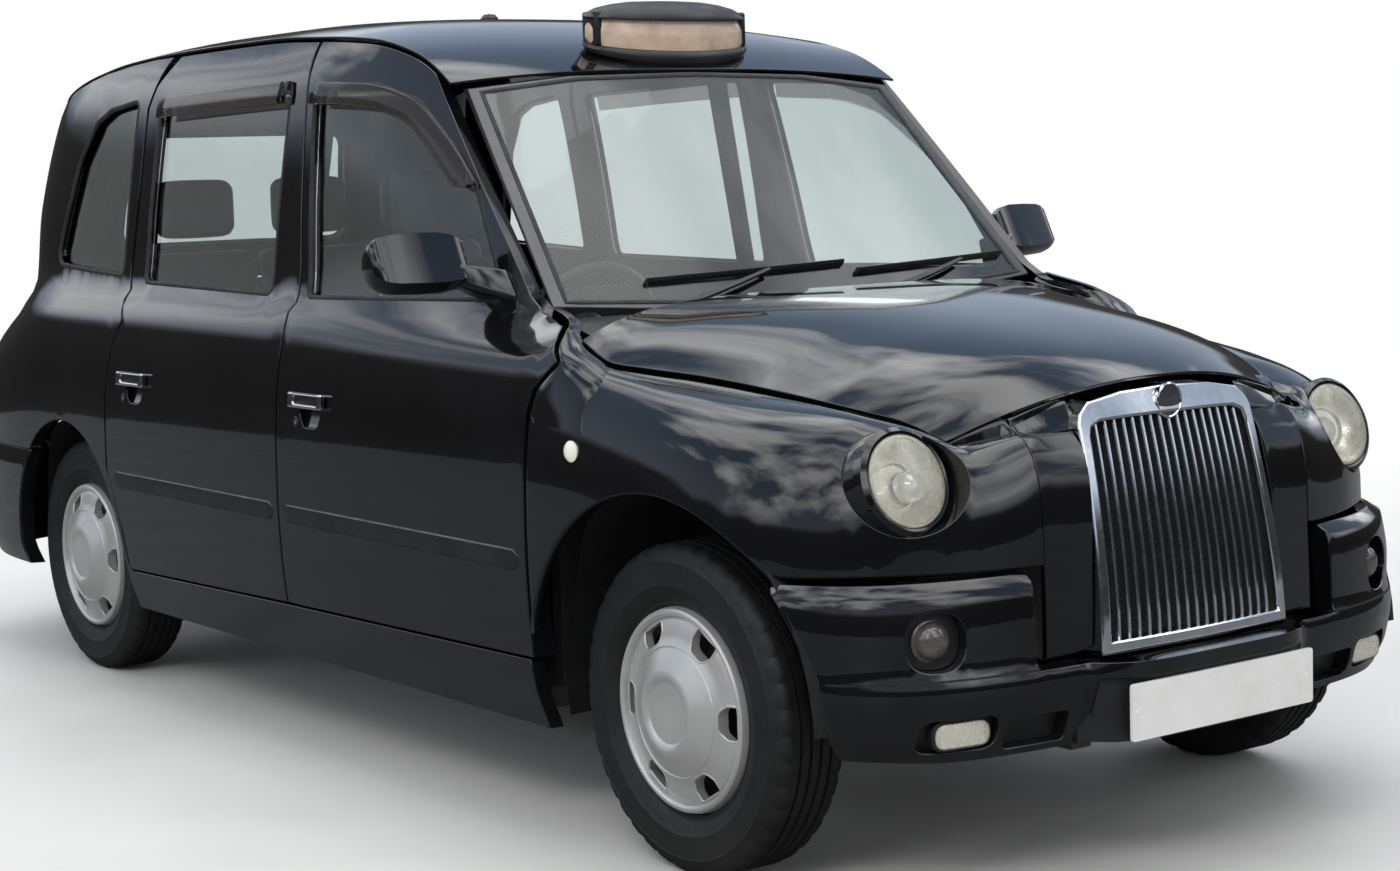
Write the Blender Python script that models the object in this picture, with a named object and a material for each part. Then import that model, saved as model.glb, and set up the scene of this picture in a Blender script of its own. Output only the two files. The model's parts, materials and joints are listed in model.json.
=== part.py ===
# A purpose-built taxi cab, modelled as its real panels, glass, running gear and cabin.
# Metres, +Z up. The front of the car faces -Y and its right side is -X.
# The origin lies on the ground, under the middle of the car's length and width.

import math
from math import cos, pi, radians, sin

import bmesh
import bpy
from mathutils import Matrix, Vector
from mathutils.bvhtree import BVHTree
from mathutils.geometry import delaunay_2d_cdt

# Overall sizes
LENGTH = 4.580
WIDTH = 1.780
HEIGHT = 1.834
WHEELBASE = 2.886
FRONT_OVERHANG = 0.700
GAP = 0.006
UPPER_GAP = 0.010
SEAT_GAP = 0.0003
SEAM = 0.0008
SKIN = 0.012
OVERRUN = 0.010

HALF_WIDTH = WIDTH / 2
FRONT_AXLE_Y = FRONT_OVERHANG - LENGTH / 2
REAR_AXLE_Y = FRONT_AXLE_Y + WHEELBASE
REAR_OVERHANG = LENGTH - FRONT_OVERHANG - WHEELBASE

# Wheels and tyres
TYRE_RADIUS = 0.334
TYRE_WIDTH = 0.176
RIM_RADIUS = 0.209
RIM_WIDTH = 0.150
TRACK = 1.470
TRIM_RADIUS = 0.2068
TRIM_DOME = 0.026
TRIM_LIP = 0.012
TRIM_HOLES = 6
TRIM_HOLE_WIDTH = 0.060
TRIM_HOLE_HEIGHT = 0.046
TRIM_HOLE_RADIUS = 0.160
TRIM_CAP_RADIUS = 0.052
TRIM_RING_RADIUS = 0.118
HUB_RADIUS = 0.075
KINGPIN_X = 0.640
AXLE_Z = TYRE_RADIUS

# Panels and openings
ARCH_RADIUS = 0.440
DOOR_THICKNESS = 0.055
WINDOW_FRAME_THICKNESS = 0.030
BODY_THICKNESS = 0.034
ROOF_THICKNESS = 0.030
GLASS_THICKNESS = 0.004
PANEL_STEP = 0.220
CURVE_STEP = 0.120
SILL_BOTTOM_Z = 0.225
FLOOR_Z = 0.300
FLOOR_THICKNESS = 0.045
BELT_Z = 1.085

# Horizontal slices of the main body, bottom to top.
# Columns: height as a share of HEIGHT, half width as a share of HALF_WIDTH, nose reach as a share
# of FRONT_OVERHANG, nose squareness, tail reach as a share of REAR_OVERHANG, tail squareness.
SLICE_SHARES = (
    (0.110, 0.925, 0.850, 3.4, 0.935, 5.0),
    (0.164, 0.961, 0.860, 3.4, 0.955, 5.0),
    (0.205, 0.979, 0.864, 3.3, 0.965, 5.0),
    (0.273, 0.991, 0.868, 3.1, 0.970, 5.0),
    (0.338, 0.995, 0.872, 2.8, 0.972, 5.0),
    (0.403, 0.993, 0.872, 2.6, 0.970, 4.8),
    (0.450, 0.988, 0.852, 2.5, 0.955, 4.4),
    (0.500, 0.978, 0.790, 2.4, 0.915, 4.0),
    (0.530, 0.968, 0.730, 2.3, 0.865, 3.6),
    (0.567, 0.950, 0.650, 2.2, 0.780, 3.2),
    (0.590, 0.935, 0.600, 2.2, 0.715, 3.2),
    (0.602, 0.908, 0.560, 2.2, 0.675, 3.6),
    (0.614, 0.898, 0.540, 2.2, 0.662, 3.8),
    (0.736, 0.860, 0.500, 2.2, 0.612, 4.4),
    (0.872, 0.811, 0.450, 2.2, 0.520, 4.2),
    (0.916, 0.787, 0.430, 2.2, 0.450, 4.0),
    (0.952, 0.750, 0.400, 2.2, 0.360, 3.6),
    (0.975, 0.720, 0.400, 2.2, 0.300, 3.4),
)
CABIN_NARROWING_SHARE = 0.065
CABIN_STRAIGHT_SHARE = 0.555
NARROW_START_SHARE = 0.567
NARROW_END_SHARE = 0.600
SIDE_LEVEL_SHARES = (0.260, 0.410, 0.530, 0.590, 0.612, 0.750)

# The windscreen leans back and bows towards the middle.
SCREEN_BASE_Y = 0.509
SCREEN_BASE_Z = 1.1186
SCREEN_LEAN_SHARE = 0.9295
SCREEN_BOW = 0.0447
SCREEN_BOW_X = 0.650
SCREEN_THICKNESS = 0.006

# Materials: colour, roughness, metallic
FINISHES = {
    "paint_black": ((0.010, 0.011, 0.014), 0.12, 0.0),
    "chrome": ((0.80, 0.81, 0.83), 0.10, 1.0),
    "glass": ((0.20, 0.24, 0.25), 0.05, 0.0),
    "lamp": ((0.78, 0.79, 0.72), 0.12, 0.0),
    "lamp_red": ((0.45, 0.02, 0.02), 0.20, 0.0),
    "tyre": ((0.020, 0.020, 0.021), 0.75, 0.0),
    "trim_silver": ((0.52, 0.53, 0.55), 0.35, 0.6),
    "plastic_black": ((0.022, 0.022, 0.024), 0.50, 0.0),
    "cabin_grey": ((0.090, 0.092, 0.100), 0.65, 0.0),
    "seat_dark": ((0.035, 0.036, 0.042), 0.70, 0.0),
    "steel": ((0.16, 0.16, 0.17), 0.55, 0.8),
    "underbody": ((0.030, 0.030, 0.032), 0.80, 0.0),
    "sign": ((0.60, 0.48, 0.38), 0.30, 0.0),
}


def clear_scene():
    for item in list(bpy.data.objects):
        bpy.data.objects.remove(item, do_unlink=True)


def material(slot):
    found = bpy.data.materials.get(slot)
    if found:
        return found
    colour, roughness, metallic = FINISHES[slot]
    made = bpy.data.materials.new(slot)
    made.use_nodes = True
    shader = made.node_tree.nodes["Principled BSDF"]
    shader.inputs["Base Color"].default_value = (*colour, 1.0)
    shader.inputs["Roughness"].default_value = roughness
    shader.inputs["Metallic"].default_value = metallic
    return made


def finish_bmesh(name, bm, slot, smooth_angle=radians(28)):
    """Turns a bmesh into a named object with outward faces."""
    bmesh.ops.recalc_face_normals(bm, faces=bm.faces[:])
    if bm.calc_volume(signed=True) < 0:
        bmesh.ops.reverse_faces(bm, faces=bm.faces[:])
    mesh = bpy.data.meshes.new(name)
    bm.to_mesh(mesh)
    bm.free()
    mesh.materials.append(material(slot))
    mesh.shade_smooth()
    mesh.set_sharp_from_angle(angle=smooth_angle)
    item = bpy.data.objects.new(name, mesh)
    bpy.context.scene.collection.objects.link(item)
    return item


def curve_value(table, column, key):
    """Smooth interpolation of one column of a table whose first column rises."""
    if key <= table[0][0]:
        return table[0][column]
    last = len(table) - 1
    if key >= table[last][0]:
        return table[last][column]
    row = 0
    while table[row + 1][0] < key:
        row += 1
    low, high = table[row], table[row + 1]
    before = table[max(row - 1, 0)]
    after = table[min(row + 2, last)]
    span = high[0] - low[0]
    share = (key - low[0]) / span
    slope_low = limited_slope(before, low, high, column) * span
    slope_high = limited_slope(low, high, after, column) * span
    cube, square = share ** 3, share ** 2
    value = (2 * cube - 3 * square + 1) * low[column] + (cube - 2 * square + share) * slope_low
    return value + (3 * square - 2 * cube) * high[column] + (cube - square) * slope_high


def limited_slope(before, here, after, column):
    """Slope at a table row that never lets the curve overshoot its points."""
    run_in = here[0] - before[0]
    run_out = after[0] - here[0]
    if run_in <= 0 or run_out <= 0:
        return 0.0
    slope_in = (here[column] - before[column]) / run_in
    slope_out = (after[column] - here[column]) / run_out
    if slope_in * slope_out <= 0:
        return 0.0
    return 2 * slope_in * slope_out / (slope_in + slope_out)


def slice_at(z):
    """Half width, nose reach, nose squareness, tail reach and tail squareness at a height."""
    key = z / HEIGHT
    width, nose, nose_n, tail, tail_n = (curve_value(SLICE_SHARES, col, key) for col in range(1, 6))
    return width * HALF_WIDTH, nose * FRONT_OVERHANG, nose_n, tail * REAR_OVERHANG, tail_n


def screen_y(x, z):
    lean = SCREEN_LEAN_SHARE * (z - SCREEN_BASE_Z)
    return FRONT_AXLE_Y + SCREEN_BASE_Y + lean + SCREEN_BOW * (x / SCREEN_BOW_X) ** 2


def cabin_taper(y, z):
    """The glasshouse narrows towards the windscreen."""
    key = z / HEIGHT
    amount = (key - NARROW_START_SHARE) / (NARROW_END_SHARE - NARROW_START_SHARE)
    amount = min(max(amount, 0.0), 1.0)
    straight_y = FRONT_AXLE_Y + CABIN_STRAIGHT_SHARE * WHEELBASE
    if y >= straight_y:
        return 1.0
    share = (straight_y - y) / (straight_y - screen_y(SCREEN_BOW_X, max(z, BELT_Z)))
    return 1.0 - amount * CABIN_NARROWING_SHARE * min(share, 1.2) ** 2


def side_x(y, z):
    """Half width of the main body at a length and height."""
    width, nose, nose_n, tail, tail_n = slice_at(z)
    if y < FRONT_AXLE_Y:
        share = min((FRONT_AXLE_Y - y) / nose, 1.0)
        return width * (1.0 - share ** nose_n) ** (1.0 / nose_n)
    if y > REAR_AXLE_Y:
        share = min((y - REAR_AXLE_Y) / tail, 1.0)
        return width * (1.0 - share ** tail_n) ** (1.0 / tail_n)
    return width * cabin_taper(y, z)


def nose_y(x, z):
    width, nose, nose_n, tail, tail_n = slice_at(z)
    return FRONT_AXLE_Y - nose * (1.0 - min(abs(x) / width, 1.0) ** nose_n) ** (1.0 / nose_n)


def tail_y(x, z):
    width, nose, nose_n, tail, tail_n = slice_at(z)
    return REAR_AXLE_Y + tail * (1.0 - min(abs(x) / width, 1.0) ** tail_n) ** (1.0 / tail_n)


def round_end(path, z, width, reach, power, axle_y, direction, box_reach):
    """A point of a squared-off end. The path runs from the centre line, out and along the side."""
    side = 1.0 if path >= 0 else -1.0
    travel = abs(path)
    if travel <= HALF_WIDTH:
        across, along = travel / HALF_WIDTH, 1.0
    else:
        across, along = 1.0, 1.0 - (travel - HALF_WIDTH) / box_reach
    if along <= 0:
        y = axle_y + direction * along * box_reach
        return Vector((side * width, y, z)), Vector((side, 0, 0))
    radial = (across ** power + along ** power) ** (-1.0 / power)
    x, y = across * radial, along * radial
    normal = Vector((side * x ** (power - 1) / width, direction * y ** (power - 1) / reach, 0))
    return Vector((side * width * x, axle_y + direction * reach * y, z)), normal.normalized()


def tail_point(path, z):
    width, nose, nose_n, tail, tail_n = slice_at(z)
    point, normal = round_end(path, z, width, tail, tail_n, REAR_AXLE_Y, 1.0, REAR_OVERHANG)
    if point.y < REAR_AXLE_Y:
        point.x *= cabin_taper(point.y, z)
    return point, normal


def tail_path(y, z):
    """The path of tail_point that reaches a given y on the side."""
    low, high = HALF_WIDTH, HALF_WIDTH + REAR_OVERHANG + LENGTH
    for _ in range(40):
        middle = (low + high) / 2
        if tail_point(middle, z)[0].y > y:
            low = middle
        else:
            high = middle
    return (low + high) / 2


def inside(point, polygon):
    x, y = point
    hit = False
    count = len(polygon)
    for index in range(count):
        x1, y1 = polygon[index]
        x2, y2 = polygon[(index + 1) % count]
        if (y1 > y) != (y2 > y) and x < (x2 - x1) * (y - y1) / (y2 - y1) + x1:
            hit = not hit
    return hit


def edge_distance(point, polygon):
    best = LENGTH
    spot = Vector(point)
    count = len(polygon)
    for index in range(count):
        start = Vector(polygon[index])
        run = Vector(polygon[(index + 1) % count]) - start
        length = run.length_squared
        share = 0.0 if length == 0 else min(max((spot - start).dot(run) / length, 0.0), 1.0)
        best = min(best, (spot - start - run * share).length)
    return best


def refine(outline, step):
    """Splits the long edges of a closed outline."""
    points = []
    count = len(outline)
    for index in range(count):
        start = Vector(outline[index])
        run = Vector(outline[(index + 1) % count]) - start
        pieces = max(1, math.ceil(run.length / step - 0.001))
        points += [tuple(start + run * (piece / pieces)) for piece in range(pieces)]
    return points


def rounded(corners, radii, segments=4):
    """A closed outline whose corners are rounded by arcs. Radii are one each or one for all."""
    if not hasattr(radii, "__len__"):
        radii = [radii] * len(corners)
    points = []
    count = len(corners)
    for index, radius in enumerate(radii):
        here = Vector(corners[index])
        back = Vector(corners[index - 1]) - here
        ahead = Vector(corners[(index + 1) % count]) - here
        if radius <= 0:
            points.append(tuple(here))
            continue
        turn = back.angle(ahead)
        reach = radius / math.tan(turn / 2)
        reach = min(reach, back.length * 0.48, ahead.length * 0.48)
        start = here + back.normalized() * reach
        end = here + ahead.normalized() * reach
        for step in range(segments + 1):
            share = step / segments
            low = start.lerp(here, share)
            high = here.lerp(end, share)
            points.append(tuple(low.lerp(high, share)))
    return points


def grid_points(outline, holes, step, levels):
    """Points inside an outline on columns a step apart, at the given levels or a step apart."""
    xs = [point[0] for point in outline]
    ys = [point[1] for point in outline]
    points = []
    columns = max(1, math.ceil((max(xs) - min(xs)) / step))
    rows = max(1, math.ceil((max(ys) - min(ys)) / step))
    heights = levels or [min(ys) + (max(ys) - min(ys)) * row / rows for row in range(1, rows)]
    clearance = step * (0.1 if levels else 0.4)
    loops = [outline] + holes
    for column in range(1, columns):
        x = min(xs) + (max(xs) - min(xs)) * column / columns
        for y in heights:
            spot = (x, y)
            if inside(spot, outline) and not any(inside(spot, hole) for hole in holes):
                if min(edge_distance(spot, loop) for loop in loops) > clearance:
                    points.append(spot)
    return points


def panel_faces(outline, holes, step, levels):
    """Triangles that fill an outline less its holes, with points between at a given step."""
    loops = [outline] + holes
    points, edges = [], []
    for loop in loops:
        first = len(points)
        points += [Vector(point) for point in loop]
        edges += [(first + i, first + (i + 1) % len(loop)) for i in range(len(loop))]
    points += [Vector(point) for point in grid_points(outline, holes, step, levels)]
    verts, _, faces, _, _, _ = delaunay_2d_cdt(points, edges, [], 0, 1e-7)
    kept = []
    for face in faces:
        centre = sum((verts[i] for i in face), Vector((0, 0))) / len(face)
        if inside(centre, outline) and not any(inside(centre, hole) for hole in holes):
            kept.append(tuple(face))
    return verts, kept


def panel(name, slot, outline, skin, holes=(), step=PANEL_STEP, edge_step=CURVE_STEP, levels=()):
    """A curved panel. skin(a, b) gives the outer and the inner point of each outline point."""
    outline = refine(outline, edge_step)
    holes = [refine(hole, edge_step) for hole in holes]
    verts, faces = panel_faces(outline, holes, step, levels)
    bm = bmesh.new()
    outer, inner = [], []
    for vert in verts:
        out_point, in_point = skin(vert[0], vert[1])
        outer.append(bm.verts.new(out_point))
        inner.append(bm.verts.new(in_point))
    uses = {}
    for face in faces:
        bm.faces.new([outer[i] for i in face])
        bm.faces.new([inner[i] for i in reversed(face)])
        for i in range(len(face)):
            pair = (face[i], face[(i + 1) % len(face)])
            uses[pair] = True
    for start, end in uses:
        if (end, start) not in uses:
            bm.faces.new((outer[start], inner[start], inner[end], outer[end]))
    bmesh.ops.delete(bm, geom=[v for v in bm.verts if not v.link_faces], context="VERTS")
    bmesh.ops.triangulate(bm, faces=[f for f in bm.faces if len(f.verts) > 3])
    return finish_bmesh(name, bm, slot)


def loft(name, slot, rings, capped=True, smooth_angle=radians(28)):
    """Joins closed rings of equal counts into one solid. Without caps the last meets the first."""
    bm = bmesh.new()
    loops = [[bm.verts.new(point) for point in ring] for ring in rings]
    count = len(rings[0])
    pairs = list(zip(loops, loops[1:]))
    if not capped:
        pairs.append((loops[-1], loops[0]))
    for low, high in pairs:
        for i in range(count):
            j = (i + 1) % count
            bm.faces.new((low[i], low[j], high[j], high[i]))
    if capped:
        bm.faces.new(list(reversed(loops[0])))
        bm.faces.new(loops[-1])
    return finish_bmesh(name, bm, slot, smooth_angle)


def revolve(name, slot, profile, segments, matrix=Matrix()):
    """Turns a closed profile of (radius, along) points about the local X axis."""
    rings = []
    for index in range(segments):
        angle = 2 * pi * index / segments
        rings.append([matrix @ Vector((along, radius * cos(angle), radius * sin(angle)))
                      for radius, along in profile])
    return loft(name, slot, rings, capped=False)


def revolve_solid(name, slot, profile, segments, matrix=Matrix()):
    """Turns an open profile that starts and ends on the axis."""
    bm = bmesh.new()
    start = bm.verts.new(matrix @ Vector((profile[0][1], 0, 0)))
    end = bm.verts.new(matrix @ Vector((profile[-1][1], 0, 0)))
    rings = []
    for radius, along in profile[1:-1]:
        rings.append([bm.verts.new(matrix @ Vector((along, radius * cos(2 * pi * i / segments),
                                                    radius * sin(2 * pi * i / segments))))
                      for i in range(segments)])
    for i in range(segments):
        j = (i + 1) % segments
        bm.faces.new((start, rings[0][i], rings[0][j]))
        bm.faces.new((end, rings[-1][j], rings[-1][i]))
        for low, high in zip(rings, rings[1:]):
            bm.faces.new((low[i], high[i], high[j], low[j]))
    return finish_bmesh(name, bm, slot)


def box(name, slot, low, high):
    bm = bmesh.new()
    bmesh.ops.create_cube(bm, size=1.0)
    for vert in bm.verts:
        vert.co = Vector([low[i] + (high[i] - low[i]) * (vert.co[i] + 0.5) for i in range(3)])
    return finish_bmesh(name, bm, slot)


def prism(name, slot, outline, axis, start, end):
    """Extrudes an outline along an axis. The outline holds the other two axes in X, Y, Z order."""
    rings = []
    for level in (start, end):
        ring = []
        for a, b in outline:
            point = [a, b]
            point.insert(axis, level)
            ring.append(Vector(point))
        rings.append(ring)
    return loft(name, slot, rings)


def tube(name, slot, route, radius, sides=10):
    """A round bar along a route of points."""
    rings = []
    count = len(route)
    for index in range(count):
        here = Vector(route[index])
        ahead = Vector(route[min(index + 1, count - 1)]) - Vector(route[max(index - 1, 0)])
        turn = ahead.to_track_quat("Z", "Y")
        rings.append([here + turn @ Vector((radius * cos(2 * pi * i / sides),
                                            radius * sin(2 * pi * i / sides), 0))
                      for i in range(sides)])
    return loft(name, slot, rings)


def apply_boolean(target, tools, operation):
    """Cuts or joins tools into the target and removes them."""
    for tool in tools:
        modifier = target.modifiers.new("cut", "BOOLEAN")
        modifier.operation = operation
        modifier.solver = "EXACT"
        modifier.object = tool
        bpy.context.view_layer.update()
        graph = bpy.context.evaluated_depsgraph_get()
        mesh = bpy.data.meshes.new_from_object(target.evaluated_get(graph))
        target.modifiers.clear()
        old = target.data
        target.data = mesh
        mesh.name = target.name
        bpy.data.meshes.remove(old)
        bpy.data.objects.remove(tool, do_unlink=True)
    target.data.shade_smooth()
    target.data.set_sharp_from_angle(angle=radians(28))
    return target


def unite(target, *tools):
    return apply_boolean(target, tools, "UNION")


def cut(target, *tools):
    return apply_boolean(target, tools, "DIFFERENCE")


def probe(item, start, direction):
    """The nearest point of a piece that a ray from a start point meets."""
    mesh = item.data
    tree = BVHTree.FromPolygons([v.co for v in mesh.vertices], [p.vertices[:] for p in mesh.polygons])
    return tree.ray_cast(Vector(start), Vector(direction))[0]


def share_points(shares):
    """Side-view points from shares of WHEELBASE behind the front axle and of HEIGHT."""
    return [(FRONT_AXLE_Y + along * WHEELBASE, up * HEIGHT) for along, up in shares]


# Side view: the doors and their windows.
# Points are shares of WHEELBASE behind the front axle and of HEIGHT. The tops follow the roof.
FRONT_DOOR_SHARES = (
    (0.206, 0.6235), (0.185, 0.604), (0.145, 0.592), (0.118, 0.555), (0.145, 0.522), (0.151, 0.495),
    (0.151, 0.211), (0.5365, 0.200), (0.5365, 0.590), (0.538, 0.640), (0.560, 0.900),
)
FRONT_TOP_SHARES = (0.559, 0.372)
REAR_DOOR_SHARES = (
    (0.562, 0.900), (0.540, 0.640), (0.5385, 0.590),
    (0.5385, 0.200), (0.862, 0.187), (0.868, 0.250), (0.8836, 0.309), (0.891, 0.338),
    (0.891, 0.465), (0.879, 0.533), (0.867, 0.562), (0.873, 0.594), (0.881, 0.633), (0.876, 0.745),
    (0.878, 0.878), (0.868, 0.910),
)
REAR_TOP_SHARES = (0.838, 0.565)
REAR_GAP_START = 4
FRONT_WINDOW_SHARES = (
    (0.236, 0.616), (0.521, 0.609), (0.547, 0.893), (0.445, 0.884), (0.384, 0.860), (0.330, 0.803),
    (0.292, 0.752),
)
FRONT_WINDOW_RADII = (0.020, 0.020, 0.030, 0.100, 0.090, 0.100, 0.080)
REAR_WINDOW_SHARES = ((0.588, 0.610), (0.850, 0.618), (0.852, 0.889), (0.588, 0.897))
QUARTER_WINDOW_SHARES = (
    (0.900, 0.626), (1.068, 0.640), (1.030, 0.800), (0.998, 0.862), (0.968, 0.880), (0.902, 0.891),
)
QUARTER_WINDOW_RADII = (0.030, 0.050, 0.100, 0.060, 0.060, 0.030)
WINDOW_RADIUS = 0.028

# Roof stations. Columns: share of the way back, centre line behind the front axle as a share of
# WHEELBASE, centre height as a share of HEIGHT, edge place and edge height as the same shares.
ROOF_SHARES = (
    (0.00, 0.3445, 0.8930, 0.3500, 0.8770),
    (0.06, 0.3850, 0.9230, 0.3740, 0.8990),
    (0.12, 0.4330, 0.9460, 0.4040, 0.9190),
    (0.20, 0.5020, 0.9680, 0.4720, 0.9425),
    (0.32, 0.6060, 0.9830, 0.5640, 0.9530),
    (0.45, 0.7280, 0.9890, 0.6650, 0.9585),
    (0.58, 0.8490, 0.9890, 0.8390, 0.9555),
    (0.72, 0.9700, 0.9790, 0.9500, 0.9470),
    (0.84, 1.0570, 0.9620, 1.0200, 0.9320),
    (0.94, 1.1270, 0.9310, 1.0780, 0.9120),
    (1.00, 1.1530, 0.9080, 1.1150, 0.8970),
)
ROOF_SQUARENESS_SHARE = 2.6
ROOF_COLUMNS = 10
ROOF_ROWS = 14
LIP = 0.006
ROOF_REAR_SHARE = 0.60
AERIAL_PLACE = 1.900
AERIAL_RADIUS = 0.022

# Handles and rub strips
HANDLE_LENGTH = 0.165
HANDLE_HEIGHT = 0.030
HANDLE_DEPTH = 0.022
HANDLE_Z = 0.872
HANDLE_INSET = 0.085
STRIP_LOW_Z = 0.570
STRIP_HIGH_Z = 0.618
STRIP_DEPTH = 0.005
STRIP_INSET = 0.018
GLASS_DEPTH = 0.016

# Side frame
QUARTER_END_PATH = 0.560
REAR_ARCH_REACH = 0.370
REAR_ARCH_HEIGHT = 0.400
ARCH_SEGMENTS = 14
SILL_FRONT_SHARE = 0.156
TAIL_SEAM_SHARES = (0.850, 0.800, 0.750, 0.690, 0.640, 0.612, 0.592, 0.570, 0.530, 0.480, 0.420, 0.370)
BUMPER_TOP_Z = 0.632


def door_skin(side):
    def skin(y, z):
        x = side_x(y, z)
        upper = min(max((z - BELT_Z) / WINDOW_FRAME_THICKNESS, 0.0), 1.0)
        thickness = DOOR_THICKNESS + (WINDOW_FRAME_THICKNESS - DOOR_THICKNESS) * upper
        return Vector((side * x, y, z)), Vector((side * (x - thickness), y, z))
    return skin


def glass_skin(side, depth):
    def skin(y, z):
        x = side_x(y, z) - depth
        return Vector((side * x, y, z)), Vector((side * (x - GLASS_THICKNESS), y, z))
    return skin


def tail_skin(side, depth, thickness):
    def skin(path, z):
        point, normal = tail_point(side * path, z)
        return point - normal * depth, point - normal * (depth + thickness)
    return skin


def shrunk(outline, distance):
    """Moves each point of an outline inwards by a small distance."""
    count = len(outline)
    area = sum(outline[i][0] * outline[(i + 1) % count][1] - outline[(i + 1) % count][0] * outline[i][1]
               for i in range(count))
    turn = 1.0 if area > 0 else -1.0
    points = []
    for index in range(count):
        here = Vector(outline[index])
        back = (here - Vector(outline[index - 1])).normalized()
        ahead = (Vector(outline[(index + 1) % count]) - here).normalized()
        run = (back + ahead).normalized()
        normal = Vector((-run.y, run.x)) * turn
        stretch = 1.0 / max(run.dot(ahead), 0.5)
        points.append(tuple(here + normal * distance * stretch))
    return points


def proud_strip(name, slot, side, y_low, y_high, z_low, z_high, depth, sunk, pieces=6):
    """A slab that follows the body side and stands proud of it by a depth."""
    rings = []
    for step in range(pieces + 1):
        y = y_low + (y_high - y_low) * step / pieces
        ring = []
        for z, out in ((z_low, -sunk), (z_low + depth * 0.5, depth), (z_high - depth * 0.5, depth),
                       (z_high, -sunk)):
            ring.append(Vector((side * (side_x(y, z) + out), y, z)))
        rings.append(ring)
    return loft(name, slot, rings)


def roof_edge(share):
    """The roof's lower edge as (y, z), from the windscreen header to the rear header."""
    along = curve_value(ROOF_SHARES, 3, share)
    up = curve_value(ROOF_SHARES, 4, share)
    return FRONT_AXLE_Y + along * WHEELBASE, up * HEIGHT


def roof_share_at(y):
    low, high = 0.0, 1.0
    for _ in range(30):
        middle = (low + high) / 2
        if roof_edge(middle)[0] < y:
            low = middle
        else:
            high = middle
    return (low + high) / 2


def top_line(span_shares, pieces):
    """Points under the roof edge between two places along the wheelbase."""
    start, end = (roof_share_at(FRONT_AXLE_Y + share * WHEELBASE) for share in span_shares)
    points = []
    for step in range(pieces + 1):
        y, z = roof_edge(start + (end - start) * step / pieces)
        points.append((y, z - GAP))
    return points


def roof_point(across, share):
    """Outer roof skin. across runs from -1 to 1, share from the front header to the rear."""
    edge_y, edge_z = roof_edge(share)
    edge_x = side_x(edge_y, edge_z)
    centre_y = FRONT_AXLE_Y + curve_value(ROOF_SHARES, 1, share) * WHEELBASE
    centre_z = curve_value(ROOF_SHARES, 2, share) * HEIGHT
    bend = abs(across) ** ROOF_SQUARENESS_SHARE
    y = centre_y + (edge_y - centre_y) * bend
    z = centre_z + (edge_z - centre_z) * bend
    return Vector((across * edge_x, y, z))


def sheet(name, slot, columns, rows, skin):
    """A closed slab from a grid of outer and inner points. skin(u, v) takes shares from 0 to 1."""
    bm = bmesh.new()
    outer, inner = [], []
    for row in range(rows + 1):
        line = [skin(column / columns, row / rows) for column in range(columns + 1)]
        outer.append([bm.verts.new(pair[0]) for pair in line])
        inner.append([bm.verts.new(pair[1]) for pair in line])
    for row in range(rows):
        for column in range(columns):
            bm.faces.new((outer[row][column], outer[row][column + 1],
                          outer[row + 1][column + 1], outer[row + 1][column]))
            bm.faces.new((inner[row][column], inner[row + 1][column],
                          inner[row + 1][column + 1], inner[row][column + 1]))
    border = [(0, column) for column in range(columns + 1)]
    border += [(row, columns) for row in range(1, rows + 1)]
    border += [(rows, column) for column in range(columns - 1, -1, -1)]
    border += [(row, 0) for row in range(rows - 1, 0, -1)]
    for index, (row, column) in enumerate(border):
        next_row, next_column = border[(index + 1) % len(border)]
        bm.faces.new((outer[row][column], inner[row][column],
                      inner[next_row][next_column], outer[next_row][next_column]))
    return finish_bmesh(name, bm, slot)


def make_doors():
    front_outline = share_points(FRONT_DOOR_SHARES) + top_line(FRONT_TOP_SHARES, 5)
    rear_outline = share_points(REAR_DOOR_SHARES) + top_line(REAR_TOP_SHARES, 6)
    rows = (
        ("front_door", front_outline, FRONT_WINDOW_SHARES, FRONT_WINDOW_RADII, (0.151, 0.5365)),
        ("rear_door", rear_outline, REAR_WINDOW_SHARES, WINDOW_RADIUS, (0.5385, 0.884)),
    )
    levels = [share * HEIGHT for share in SIDE_LEVEL_SHARES]
    for side, side_name in ((-1, "right"), (1, "left")):
        for kind, outline, window_shares, radii, span_shares in rows:
            window = refine(rounded(share_points(window_shares), radii), CURVE_STEP)
            name = kind + "_" + side_name
            door = panel(name, "paint_black", outline, door_skin(side), [window], levels=levels)
            front_y = FRONT_AXLE_Y + span_shares[0] * WHEELBASE
            rear_y = FRONT_AXLE_Y + span_shares[1] * WHEELBASE
            strip = proud_strip("strip", "plastic_black", side, front_y + STRIP_INSET,
                                rear_y - STRIP_INSET, STRIP_LOW_Z, STRIP_HIGH_Z, STRIP_DEPTH, SKIN)
            grip_rear = rear_y - HANDLE_INSET
            grip = proud_strip("grip", "chrome", side, grip_rear - HANDLE_LENGTH, grip_rear,
                               HANDLE_Z - HANDLE_HEIGHT / 2, HANDLE_Z + HANDLE_HEIGHT / 2,
                               HANDLE_DEPTH, SKIN, 2)
            unite(door, strip, grip)
            pane = shrunk(window, SEAT_GAP)
            panel(kind + "_glass_" + side_name, "glass", pane, glass_skin(side, GLASS_DEPTH))


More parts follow.
